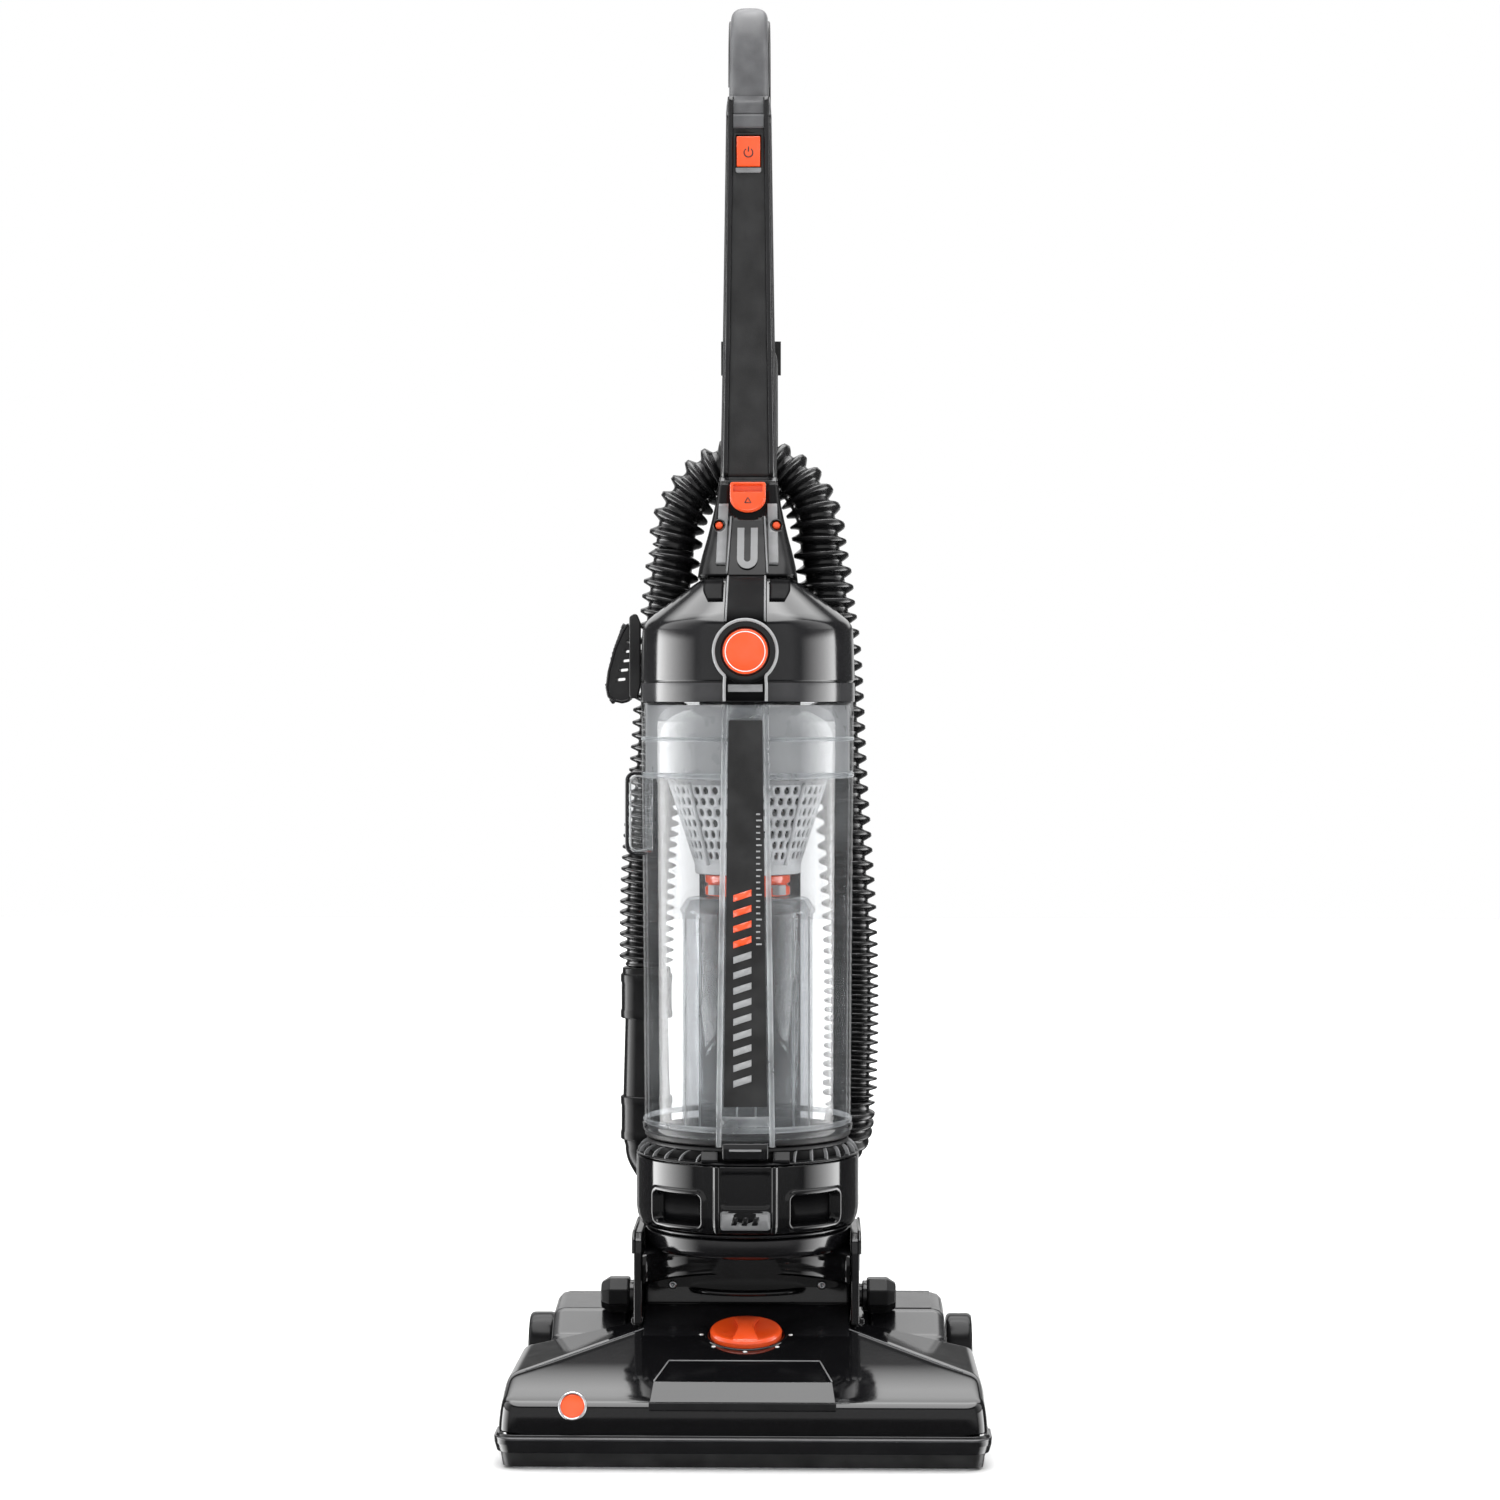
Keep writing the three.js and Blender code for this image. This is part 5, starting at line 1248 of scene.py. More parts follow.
piece("cup_front_ribs", *together(cup_rib(1), cup_rib(-1)), "dirt_cup", CLEAR_RIB, "clear")
BULGE_Y0, BULGE_Y1, BULGE_Z0, BULGE_Z1 = 10.0, 48.0, 432.0, 494.0
bulge_points = []
for x, inset in ((-74, 0), (-85, 0), (-88.6, 1.2), (-91, 3.8), (-92.2, 7.4)):
    outline = rounded(
        [
            (BULGE_Y0 + inset, BULGE_Z0 + inset, 4),
            (BULGE_Y1 - inset, BULGE_Z0 + inset, 4),
            (BULGE_Y1 - inset, BULGE_Z1 - inset, 4),
            (BULGE_Y0 + 10, BULGE_Z1 - inset, 8),
            (BULGE_Y0 + inset, BULGE_Z1 - 12, 8),
        ],
        4,
        5,
    )
    bulge_points += [(x, y, z) for y, z in outline]
even_shading(piece("cup_bulge", *capped(bulge_points, len(outline)), "dirt_cup", CLEAR, "clear"))
# a dark rod round the bulge's outer edge: painted shade along its outline
bulge_edge = rounded(
    [(-79, BULGE_Z1, 0), (-92.4, BULGE_Z1, 9), (-92.4, BULGE_Z0, 9), (-79, BULGE_Z0 + 1, 0)], 0, 9,
)
bulge_edge = [(x, BULGE_Y0 + 9, z) for x, z in bulge_edge]
edge_path = smooth_path(bulge_edge, 60)[0]
piece("cup_bulge_painted_edge_shade", *rod(edge_path, 1.5, 12), "dirt_cup", DEEP, "gloss_black")
# a light rod just inside that edge: a painted highlight along the bulge
BULGE_MID = (BULGE_Z0 + BULGE_Z1) / 2
inner_edge = [(x + 2.6, y - 1.5, z + 0.07 * (BULGE_MID - z)) for x, y, z in bulge_edge]
piece("cup_bulge_painted_highlight", *rod(smooth_path(inner_edge, 60)[0], 0.7, 10), "dirt_cup", SILVER_PRINT_AND_PAINTED_HIGHLIGHT, "clear")

# strip between the ribs, with plain level marks instead of words
STRIP = span("cup_strip")
STRIP_LEAN = 2.2


def on_strip(x, z, lift):
    """A point at a height over the strip's face, which leans out with the cup."""
    share = (z - STRIP[2][0]) / (STRIP[2][1] - STRIP[2][0])
    return (x, STRIP[1][0] + (1 - share) * STRIP_LEAN - lift, z)


def strip_part(outline, depth, lift):
    """An (x, z) outline laid on the strip, with a thickness."""
    return capped(
        [on_strip(x, z, height) for height in (lift, lift - depth) for x, z in outline], len(outline),
    )


strip_outline = rounded([(-16.4, 247.5), (16.4, 247.5), (12.6, 535), (-12.6, 535)], 1, 4)
strip_plate = strip_part(strip_outline, 1.4, -0.2)
strip = piece("cup_strip_plate", *strip_plate, "dirt_cup", HANDLE, "matt_black", ["cup_strip"])
soften(strip, 0.4, 2)
head = strip_part(rounded([(-12.4, 536.4), (12.4, 536.4), (12.2, 546.6), (-12.2, 546.6)], 1, 3), 1.2, -0.4)
piece("strip_head", *head, "dirt_cup", CLEAR_RIB, "clear")
sill_s = np.linspace(-18.4, 18.4, 13)
sill = [(a, 232.4) for a in sill_s] + [(a, 240) for a in sill_s[::-1]]
piece("cup_front_sill", *on_drum(sill, CUP_R0 - 0.8, 2.2), "dirt_cup", CLEAR_RIB, "clear")
silver_marks, orange_marks = [], []
for k in range(13):
    z = 262 + 11.5 * k
    bar = [(-9, z), (4.5, z + 4.4), (4.5, z + 9.4), (-9, z + 5)]
    (silver_marks if k < 9 else orange_marks).append(strip_part(bar, 0.5, 0.25))
for k in range(22):
    z = 368 + 4.6 * k
    end = 11 if k % 4 else 12.2
    silver_marks.append(strip_part([(8, z), (end, z), (end, z + 1.2), (8, z + 1.2)], 0.5, 0.2))
piece("strip_marks_silver", *together(*silver_marks), "dirt_cup", SILVER_PRINT_AND_PAINTED_HIGHLIGHT, "grip_grey")
piece("strip_marks_orange", *together(*orange_marks), "dirt_cup", ORANGE, "orange")

door_profile = [
    (0, 217.2), (73, 217.2), (75.5, 217), (77.6, 217.6), (78.6, 218.8), (78.6, 221.4), (78, 222), (0, 222),
]
door = piece("door_plate", *turn(door_profile, AXIS, 128), "dirt_cup", MATT, "matt_black", ["cup_door"])
even_shading(door)
catch_outline = rounded([(-66, 209), (-55.5, 209), (-55.5, 221), (-65.5, 221), (-66.4, 217)], 1.5, 4)
catch = piece("door_catch", *prism(catch_outline, -17, 17, "x"), "dirt_cup", SATIN, "matt_black")
soften(catch, 1.2, 3)
thumb_outline = rounded([(-68.2, 215.2), (-63, 215.2), (-63, 216.9), (-68.2, 216.7)], 0.6, 3)
soften(piece("door_thumb", *prism(thumb_outline, -12, 12, "x"), "dirt_cup", LIGHT_GREY, "matt_black"), 0.3, 2)
hinge = turned_x([(0, -20), (2.4, -20), (2.4, 20), (0, 20)], (COLUMN_Y + 80.5, 219.6), 24)
knuckles = [
    turned_x([(0, x), (3, x), (3, x + 8), (0, x + 8)], (COLUMN_Y + 80.5, 219.8), 32)
    for x in (-20, -4, 12)
]
leaf = slab(-18, 18, COLUMN_Y + 74, COLUMN_Y + 80, 218, 221.6)
soften(piece("door_hinge", *together(hinge, leaf, *knuckles), "dirt_cup", MATT, "matt_black"), 0.4, 2)

tube_outer = [
    (50, 223), (50, 386), (51.4, 387.6), (52, 389.4), (51.2, 391.4), (47, 397.6), (45, 398.8), (34, 400),
    (31, 400),
]
tube_inner = [(31, 397.6), (44, 396.2), (48, 389), (48, 224.6), (46.5, 223)]
dust_tube = turn(tube_outer + tube_inner, AXIS, 112)
piece("dust_tube", *dust_tube, "dirt_cup", INNER_CLEAR, "clear", ["fine_dust_tube"])
seams = []
for degrees in (262, 278, 225, 315, 200, 340):
    a = math.radians(degrees)
    x, y = 50.2 * math.cos(a), COLUMN_Y + 50.2 * math.sin(a)
    seam_path = np.array([(x, y, z) for z in np.linspace(226, 385, 6)])
    seams.append(rod(seam_path, 0.8))
piece("dust_tube_seams", *together(*seams), "dirt_cup", CLEAR_RIB, "clear")

ring_profile = [
    (25, 400.6), (31.6, 400.6), (32.6, 401.8), (32.6, 407), (30.6, 408.2), (30.6, 409.8), (32.6, 411),
    (32.6, 415.8), (31.8, 416.8), (25, 416.8),
]
ring = piece("cone_ring", *turn(ring_profile, AXIS, 96), "dirt_cup", ORANGE, "orange", ["filter_ring"])
even_shading(ring)
tabs = []
for degrees in (225, 315, 45, 135):
    tab = rounded([(30, -5), (38.5, -4), (38.5, 4), (30, 5)], 1.4, 3)
    points, faces = moved(prism(tab, 402, 409.5, "z"), Matrix.Rotation(math.radians(degrees), 4, "Z"))
    tabs.append(([(x, y + COLUMN_Y, z) for x, y, z in points], faces))
soften(piece("cone_ring_tabs", *together(*tabs), "dirt_cup", FROST, "orange"), 0.5, 2)


HOLE_U, HOLE_V = 0.62, 0.7  # how much of a cell's width and height its hole takes up


def perforated(columns, rows, place):
    """A wall of cells with oval holes; place(u, v, skin) gives the point at u columns and v rows."""
    square = [(k / 4, 0) for k in range(4)] + [(1, k / 4) for k in range(4)]
    square += [(1 - k / 4, 1) for k in range(4)] + [(0, 1 - k / 4) for k in range(4)]
    points, faces = [], []
    for row in range(rows):
        for column in range(columns):
            shift = 0.5 * (row % 2)
            start = len(points)
            for skin in (0, 1):
                points += [place(column + shift + u, row + v, skin) for u, v in square]
                for u, v in square:
                    a = math.atan2(v - 0.5, u - 0.5)
                    hole_u = column + shift + 0.5 + 0.5 * HOLE_U * math.cos(a)
                    hole_v = row + 0.5 + 0.5 * HOLE_V * math.sin(a)
                    points.append(place(hole_u, hole_v, skin))
            for k in range(16):
                m = (k + 1) % 16
                faces.append((start + k, start + m, start + 16 + m, start + 16 + k))
                faces.append((start + 32 + m, start + 32 + k, start + 48 + k, start + 48 + m))
                faces.append((start + 16 + k, start + 16 + m, start + 48 + m, start + 48 + k))
    return points, faces


CONE_LOW, CONE_HIGH = 428.0, 486.0
CONE_COLUMNS, CONE_ROWS = 46, 7


def cone_spot(u, v, skin):
    """A point on the cone's outer or inner skin."""
    z = CONE_LOW + (CONE_HIGH - CONE_LOW) * v / CONE_ROWS
    r = float(np.interp(z, [424, 487], [40.6, 60.8])) - (2.2 if skin else 0)
    a = TAU * u / CONE_COLUMNS
    return r * math.cos(a), COLUMN_Y + r * math.sin(a), z


mesh_wall = perforated(CONE_COLUMNS, CONE_ROWS, cone_spot)
piece("cone_mesh", *mesh_wall, "dirt_cup", PALE, "mesh_grey", ["filter_cone"])
foot_profile = [
    (30, 417.4), (39.6, 417.4), (40.4, 418.4), (40.6, 424), (41.9, 428.2), (39.7, 428.2), (37.8, 423),
    (30, 421),
]
top_profile = [
    (58.4, 485.8), (60.6, 485.8), (61.4, 488.6), (64, 490.2), (77, 491), (78, 492), (78, 546), (75.6, 546),
    (75.6, 493.4), (62, 492.4), (58.8, 489.6),
]
even_shading(piece("cone_foot", *turn(foot_profile, AXIS, 112), "dirt_cup", PALE, "mesh_grey"))
even_shading(piece("cone_flange", *turn(top_profile, AXIS, 128), "dirt_cup", FROST, "mesh_grey"))
cone_bars = []
for k in range(4):
    a = math.radians(45 + 90 * k)
    bar_path = np.array(
        [(r * math.cos(a), COLUMN_Y + r * math.sin(a), z) for r, z in ((41.4, 425), (61.4, 487))]
    )
    cone_bars.append(rod(np.linspace(bar_path[0], bar_path[1], 8), 1.6, 10))
piece("cone_bars", *together(*cone_bars), "dirt_cup", PALE, "mesh_grey")

# -------------------------------------------------- lid with the round badge
LID_LOW = span("cup_lid")[2][0]
LID_R, LID_TOP, LID_SHOULDER, LID_BAND, CROWN = 81.8, 642.0, 606.0, 563.5, 36.0
lid_outer = [
    (77.6, LID_LOW), (LID_R - 0.4, LID_LOW), (LID_R, LID_LOW + 0.5), (LID_R, LID_BAND - 0.6),
    (LID_R - 1, LID_BAND), (LID_R - 1, LID_BAND + 1), (LID_R, LID_BAND + 1.6),
    (LID_R - 0.5, LID_SHOULDER - 14), (LID_R - 1.2, LID_SHOULDER - 3), (LID_R - 2.2, LID_SHOULDER + 1),
    (LID_R - 4.6, LID_SHOULDER + 4.5), (72, LID_SHOULDER + 9.2), (54, LID_SHOULDER + 22.6),
    (CROWN + 4, LID_TOP - 3), (CROWN, LID_TOP - 0.4), (0, LID_TOP),
]
lid_inner = [(0, LID_TOP - 4), (CROWN - 3, LID_TOP - 4), (75, LID_SHOULDER - 1), (77.6, LID_SHOULDER - 5)]
lid = piece(
    "lid_shell", *turn(lid_outer + lid_inner, AXIS, 160), "dirt_cup", DEEP, "gloss_black", ["cup_lid"],
)
even_shading(lid)


band_outline = [
    (LID_R - 1, LID_LOW + 0.2), (LID_R + 0.2, LID_LOW + 0.6), (LID_R + 0.2, LID_BAND - 0.8),
    (LID_R - 1, LID_BAND - 0.4),
]
even_shading(piece("lid_band", *turn(band_outline, AXIS, 160), "dirt_cup", BAND_GREY, "gloss_black"))


def lid_bar_line():
    """The line up the lid's front and over its shoulder to the neck."""
    line = [
        (-85.4, LID_LOW + 0.8), (-85.6, LID_BAND), (-85.6, LID_SHOULDER - 8), (-84.6, LID_SHOULDER + 2),
        (-80, LID_SHOULDER + 9.5), (-67, LID_SHOULDER + 19), (-42, LID_TOP + 0.6), (-28, LID_TOP + 1.2),
    ]
    return smooth_path([(0, y, z) for y, z in line], 40)[0]


def lid_bar():
    """The upright bar on the lid's front."""
    points = []
    for _, y, z in lid_bar_line():
        share = (z - LID_LOW) / (LID_TOP - LID_LOW)
        half = 17 - 1.6 * share
        inward = 6 if z < LID_SHOULDER else 5
        top = 0.7 if z > LID_SHOULDER + 4 else 0
        section = [
            (-half, 0, -inward), (-half, 0, -1.2), (-half + 1.4, 0, 0), (half - 1.4, 0, 0), (half, 0, -1.2),
            (half, 0, -inward),
        ]
        for x, _, deep in section:
            points.append((x, COLUMN_Y + y - deep * (1 - top), z + deep * top))
    return capped(points, 6)


bar = piece("lid_bar", *lid_bar(), "dirt_cup", DARK_AND_PAINTED_SHADE, "gloss_black")
even_shading(bar)
# thin light rods along the bar's edges: painted highlights
bar_edge_highlights = []
for side in (1, -1):
    line = [
        (side * (15.6 - 1.6 * (z - LID_LOW) / (LID_TOP - LID_LOW)), COLUMN_Y + y, z)
        for _, y, z in lid_bar_line()[18:]
    ]
    bar_edge_highlights.append(rod(np.array(line), 0.8))
piece("lid_bar_edge_highlights", *together(*bar_edge_highlights), "dirt_cup", GREY_TRIM_AND_PAINTED_HIGHLIGHT, "grip_grey")


def lid_shade_sheet(side):
    """A thin dark sheet on the lid's cone, beside the bar: painted shade standing in for a hollow."""
    points = []
    rows, columns = 9, 9
    for lift in (0.9, -0.8):
        for z in np.linspace(624.5, LID_TOP - 1.2, rows):
            r = float(
                np.interp(z, [LID_SHOULDER + 9.2, LID_SHOULDER + 22.6, LID_TOP - 3], [72, 54, CROWN + 4])
            ) + lift
            wide = 33 - 0.5 * max(0, 632 - z)
            for x in np.linspace(17.6, wide, columns):
                points.append((side * x, COLUMN_Y - math.sqrt(max(r * r - x * x, 0)), z + lift * 0.6))
    return sheet(points, columns, rows)


piece("lid_painted_shade", *together(lid_shade_sheet(1), lid_shade_sheet(-1)), "dirt_cup", DARK_AND_PAINTED_SHADE, "matt_black")
BADGE_Z = middle("lid_badge")[2]
boss_profile = [
    (0, -57), (24.5, -57), (24.5, -65.4), (23.9, -66.6), (22.6, -67.2), (18.4, -67.2), (17.6, -66.4),
    (0, -66.4),
]
boss = piece("badge_boss", *turned_y(boss_profile, (0, BADGE_Z), 128), "dirt_cup", GLOSS, "gloss_black")
soften(boss, 0.3, 2)
# a light rod round the badge boss and down the bar's edges to the lid's foot: painted highlights on those
# edges
LEG_X, RING_R = 15.6, 23.6
leg_turn = math.acos(LEG_X / RING_R)
keyhole = [(-LEG_X, -65.4, LID_LOW + 0.8), (-LEG_X, -66.4, LID_LOW + 12)]
keyhole += [
    (-RING_R * math.cos(a), -67.6, BADGE_Z + RING_R * math.sin(a))
    for a in np.linspace(-leg_turn, math.pi + leg_turn, 60)
]
keyhole += [(LEG_X, -66.4, LID_LOW + 12), (LEG_X, -65.4, LID_LOW + 0.8)]
keyhole_highlight_path = smooth_path(keyhole, 150)[0]
piece("badge_outline_highlight", *rod(keyhole_highlight_path, 1.15, 12), "dirt_cup", SILVER_PRINT_AND_PAINTED_HIGHLIGHT, "grip_grey")
lid_lip = prism(rounded([(-67.2, 556), (-64, 556), (-64, 562), (-67, 561.4)], 0.8, 3), -12.8, 12.8, "x")
soften(piece("lid_lip", *lid_lip, "dirt_cup", LIGHT_GREY, "grip_grey"), 0.4, 2)
face_profile = [(0, -65), (16.8, -65), (16.8, -68.4), (15.8, -69.2), (9, -69.7), (0, -69.9)]
face = piece(
    "badge_face", *turned_y(face_profile, (0, BADGE_Z), 96), "dirt_cup", ORANGE, "orange", ["lid_badge"],
)
even_shading(face)
accent = turned_y([(14.4, -68), (14.4, -69.6), (15.1, -69.5), (15.1, -68)], (0, BADGE_Z), 96)
piece("badge_accent", *accent, "dirt_cup", WHITE_INK, "grip_grey")

# -------------------------------------------------- spine, neck and the latch on it
keep("spine_housing", SATIN, 2.0, 3)
back_y = 130.0  # rear face of the spine
spine_panel = rounded([(-26, 205), (26, 205), (26, 440), (-26, 440)], 8, 5)
panel_solid = prism(spine_panel, back_y - 1.2, back_y + 1.3, "y")
soften(piece("spine_panel", *panel_solid, "upright", MATT, "body_black"), 0.7, 3)
grip_lines = [
    prism(rounded([(-20, z), (20, z), (20, z + 3), (-20, z + 3)], 1.4, 3), back_y + 1.0, back_y + 2.6, "y")
    for z in np.arange(225, 300, 9)
]
soften(piece("spine_louvres", *together(*grip_lines), "upright", SATIN, "body_black"), 0.4, 2)
spine_screws = [
    moved(screw_head(3.6, 2.0), Matrix.Translation((x, back_y + 0.2, z)) @ facing_rear)
    for x, z in ((-30, 190), (30, 190), (-30, 455), (30, 455))
]
piece("spine_screws", *together(*spine_screws), "upright", STEEL, "steel")


def oblong(half, front, rear, corner, z, count=7):
    """A ring round an upright stem: a rounded rectangle in plan."""
    plan = rounded([(-half, front), (half, front), (half, rear), (-half, rear)], corner, count)
    return [(x, y, z) for x, y in plan]


def skinned(rings):
    """A closed solid over a list of rings."""
    return capped([p for ring in rings for p in ring], len(rings[0]))


def eased(stations, z):
    """Dimensions between stations of (z, ...), smoothly along the height."""
    zs = [s[0] for s in stations]
    return [float(np.interp(z, zs, [s[k] for s in stations])) for k in range(1, len(stations[0]))]


NECK = (
    (643, 38, -4, 128, 14), (651, 37, 1.5, 124, 13), (660, 35, 8, 118, 12), (675, 31, 18, 110.5, 10),
    (690, 27.5, 27, 104, 8), (704, 24.6, 30.8, 98, 7), (718, 22.8, 33, 93, 6),
)
neck_rings = [oblong(*eased(NECK, z), z) for z in np.linspace(643.2, 717.8, 26)]
neck_outline = piece("neck_body", *skinned(neck_rings), "upright", DIM_BLACK, "body_black", ["neck_housing"])
LATCH_LOW, LATCH_HIGH = span("cup_latch")[2]
LATCH_FRONT, LATCH_REAR = span("cup_latch")[1]
LATCH_HALF = span("cup_latch")[0][1]


def front_of_neck(z):
    return eased(NECK, z)[1]


def latch_outline(grow):
    """The latch's (x, z) outline, square above and round below, with its edge moved out."""
    low, high, half = LATCH_LOW - grow, LATCH_HIGH + grow, LATCH_HALF + grow
    middle_z = LATCH_LOW + 11
    arc = [
        (half * math.cos(a), middle_z + (middle_z - low) * math.sin(a)) for a in np.linspace(math.pi, TAU, 25)
    ]
    return [(-half, high - 1.2), *arc, (half, high - 1.2), (half - 1.2, high), (-half + 1.2, high)]


LATCH_DROP = 5.0


def cut_latch_room(obj):
    """Room for the latch at rest and at the bottom of its travel."""
    room = prism(latch_outline(0.9), LATCH_FRONT - 14, LATCH_REAR + 0.9, "y")
    cutting(room, obj)
    cutting(moved(room, Matrix.Translation((0, 0, -LATCH_DROP))), obj)


cut_latch_room(neck_outline)
for side in (-1, 1):
    x, _, z = middle("handle_button_right")
    cutting(turned_y([(0, 10), (3.7, 10), (3.7, 45), (0, 45)], (side * x, z), 32), neck_outline)
even_shading(neck_outline)


def up_the_front(half_low, half_high, z0, z1, proud, thick, count=24):
    """A strip that follows the neck's front face."""
    points = []
    for z in np.linspace(z0, z1, count):
        share = (z - z0) / (z1 - z0)
        half = half_low + (half_high - half_low) * share
        y = front_of_neck(z) - proud
        section = [(-half, thick), (-half, 1), (-half + 1.2, 0), (half - 1.2, 0), (half, 1), (half, thick)]
        points += [(x, y + dy, z) for x, dy in section]
    return capped(points, 6)


centre_strip = piece(
    "neck_strip", *up_the_front(15.2, 12.4, 643.4, 692, 1.4, 6), "upright", DIM_BLACK, "body_black",
)
cut_latch_room(centre_strip)
even_shading(centre_strip)
u_heights = np.linspace(682, 659, 10)
u_arc = np.linspace(math.pi, TAU, 17)
u_rings = []
for reach, proud in ((7.8, 1.5), (7.8, 2.9), (2.5, 2.9), (2.5, 1.5)):
    line = [(-reach, z) for z in u_heights]
    line += [(reach * math.cos(a), 657.8 + reach * math.sin(a)) for a in u_arc]
    line += [(reach, z) for z in u_heights[::-1]]
    u_rings.append([(x, front_of_neck(z) - proud, z) for x, z in line])
u_points = sum(u_rings, [])
u_count = len(u_rings[0])
u_faces = tube_faces(4, u_count, False, True) + [
    tuple(k * u_count + e for k in range(4))
    for e in (0, u_count - 1)
]
piece("neck_u_rim", u_points, u_faces, "upright", GREY_TRIM_AND_PAINTED_HIGHLIGHT, "grip_grey", smooth=False)
# thin light rods up the strip's edges: painted highlights
strip_edge_highlights = []
for side in (1, -1):
    line = np.array(
        [
            (side * (15.4 - 2.6 * (z - 646) / 45), front_of_neck(z) - 1.6, z)
            for z in np.linspace(646, 691, 20)
        ]
    )
    strip_edge_highlights.append(rod(line, 0.75))
piece("neck_edge_highlights", *together(*strip_edge_highlights), "upright", GREY_TRIM_AND_PAINTED_HIGHLIGHT, "grip_grey")
for side, name in ((1, "right"), (-1, "left")):
    wing = []
    for z in np.linspace(653, 701, 20):
        front = front_of_neck(z)
        inner = 16.6 - 1.6 * (z - 653) / 48
        section = [
            (inner, front - 0.9), (inner + 6.6, front - 0.9), (inner + 7.4, front), (inner + 7.4, front + 4),
            (inner, front + 4),
        ]
        wing.append([(side * x, y, z) for x, y in section])
    neck_wing = piece(f"neck_wing_{name}", *skinned(wing), "upright", LIGHT_GREY, "grip_grey")
    x, _, z = middle(f"handle_button_{name}")
    cutting(turned_y([(0, 5), (5.0, 5), (5.0, 45), (0, 45)], (x, z), 40), neck_wing)
    even_shading(neck_wing)

latch_body = prism(latch_outline(0), LATCH_FRONT + 0.4, LATCH_REAR, "y")
latch = piece("latch_plate", *latch_body, "cup_latch", ORANGE, "orange", ["cup_latch"])
cutting(
    slab(
        -LATCH_HALF + 2.4, LATCH_HALF - 2.4, LATCH_FRONT - 3, LATCH_FRONT + 4.6, LATCH_HIGH - 7.4,
        LATCH_HIGH - 2.0,
    ), latch,
)
soften(latch, 0.8, 3)
rim = latch_outline(-1.6)
rim_path = np.array([(x, LATCH_FRONT + 0.5, z) for x, z in rim[1:-3]])
piece("latch_rim", *rod(rim_path, 0.7, 10), "cup_latch", ORANGE, "orange")
arrow_line = [
    (-2.4, LATCH_LOW + 7.6), (0, LATCH_LOW + 7.6), (2.4, LATCH_LOW + 7.6), (1.2, LATCH_LOW + 9.6),
    (0, LATCH_LOW + 11.6), (-1.2, LATCH_LOW + 9.6), (-2.4, LATCH_LOW + 7.6),
]
arrow = rod(np.array([(x, LATCH_FRONT + 0.3, z) for x, z in arrow_line]), 0.35)
piece("latch_arrow", *arrow, "cup_latch", HANDLE, "matt_black")
for side, name in ((-1, "left"), (1, "right")):
    node = f"handle_button_{name}"
    x, _, z = middle(node)
    front, rear = span(node)[1]
    profile = [(0, rear), (3.1, rear), (3.1, front + 1.4), (2.8, front + 0.5), (2.0, front), (0, front - 0.1)]
    button = piece(f"neck_button_{name}", *turned_y(profile, (x, z), 48), node, ORANGE, "orange", [node])
    even_shading(button)
    collar_line = [(3.8, front + 3), (3.8, front - 0.1), (4.8, front - 0.1), (4.8, front + 3)]
    even_shading(
        piece(f"button_collar_{name}", *turned_y(collar_line, (x, z), 48), "upright", SATIN, "body_black")
    )

# -------------------------------------------------- handle, switch and grip
STEM = (
    (718.5, 21.9, 44, 90, 8), (760, 21.2, 46, 89.4, 8), (820, 20.2, 48.5, 88, 7.5),
    (1002.6, 17.6, 51, 84, 6.5),
)
stem_rings = [oblong(*eased(STEM, z), z, 5) for z in np.linspace(718.5, 1002.6, 40)]
stem = piece("handle_stem", *skinned(stem_rings), "upright", HANDLE, "body_black", ["handle_tube"])
SWITCH = span("power_switch")
SW_Z0, SW_Z1 = SWITCH[2]
SW_HALF = SWITCH[0][1]
cutting(slab(-SW_HALF - 0.8, SW_HALF + 0.8, 40, SWITCH[1][1] + 2, SW_Z0 - 1.2, SW_Z1 + 1.2), stem)


def front_of_stem(z):
    return eased(STEM, z)[1]


even_shading(stem)
rails = []
for side in (1, -1):
    points = []
    for z in np.linspace(721, 1018, 60):
        half, front, _, _ = eased(STEM, min(z, 1002.6))
        x = side * (half - 4.0)
        rise = min(1, (z - 721) / 6, (1018 - z) / 6)
        section = [
            (-2.2, 3), (-1.8, -0.2 - 1.1 * rise), (-0.8, -1.7 * rise), (1.2, -1.3 * rise), (2.4, 0.4),
            (2.6, 3),
        ]
        points += [(x + side * dx, front + dy, z) for dx, dy in section]
    rails.append(capped(points, 6))
even_shading(piece("handle_rails", *together(*rails), "upright", SATIN, "body_black"))
foot_ring = [oblong(half, front, rear, 6, z) for z, half, front, rear in (
    (717.8, 22.4, 36, 92.4), (719.5, 22.8, 40, 92), (722, 22.4, 43, 90.8), (723, 21.6, 44.2, 89.6))]
even_shading(piece("handle_foot", *skinned(foot_ring), "upright", SATIN, "body_black"))

rocker_line = [
    (SWITCH[1][0] + 1.5, SW_Z0), (SWITCH[1][1] - 2, SW_Z0 + 1), (SWITCH[1][1], (SW_Z0 + SW_Z1) / 2),
    (SWITCH[1][1] - 2, SW_Z1 - 1), (SWITCH[1][0], SW_Z1), (SWITCH[1][0] + 0.8, (SW_Z0 + SW_Z1) / 2, 30),
]
rocker_outline = rounded(rocker_line, 1.2, 6)
rocker = piece(
    "switch_rocker", *prism(rocker_outline, -SW_HALF, SW_HALF, "x"), "power_switch", ORANGE, "orange",
    ["power_switch"],
)
soften(rocker, 0.7, 3)
symbol_z = (SW_Z0 + SW_Z1) / 2 - 1
symbol_y = SWITCH[1][0] + 0.75
arc_path = np.array(
    [
        (3.4 * math.sin(a), symbol_y, symbol_z + 3.4 * math.cos(a))
        for a in np.radians(np.linspace(35, 325, 30))
    ]
)
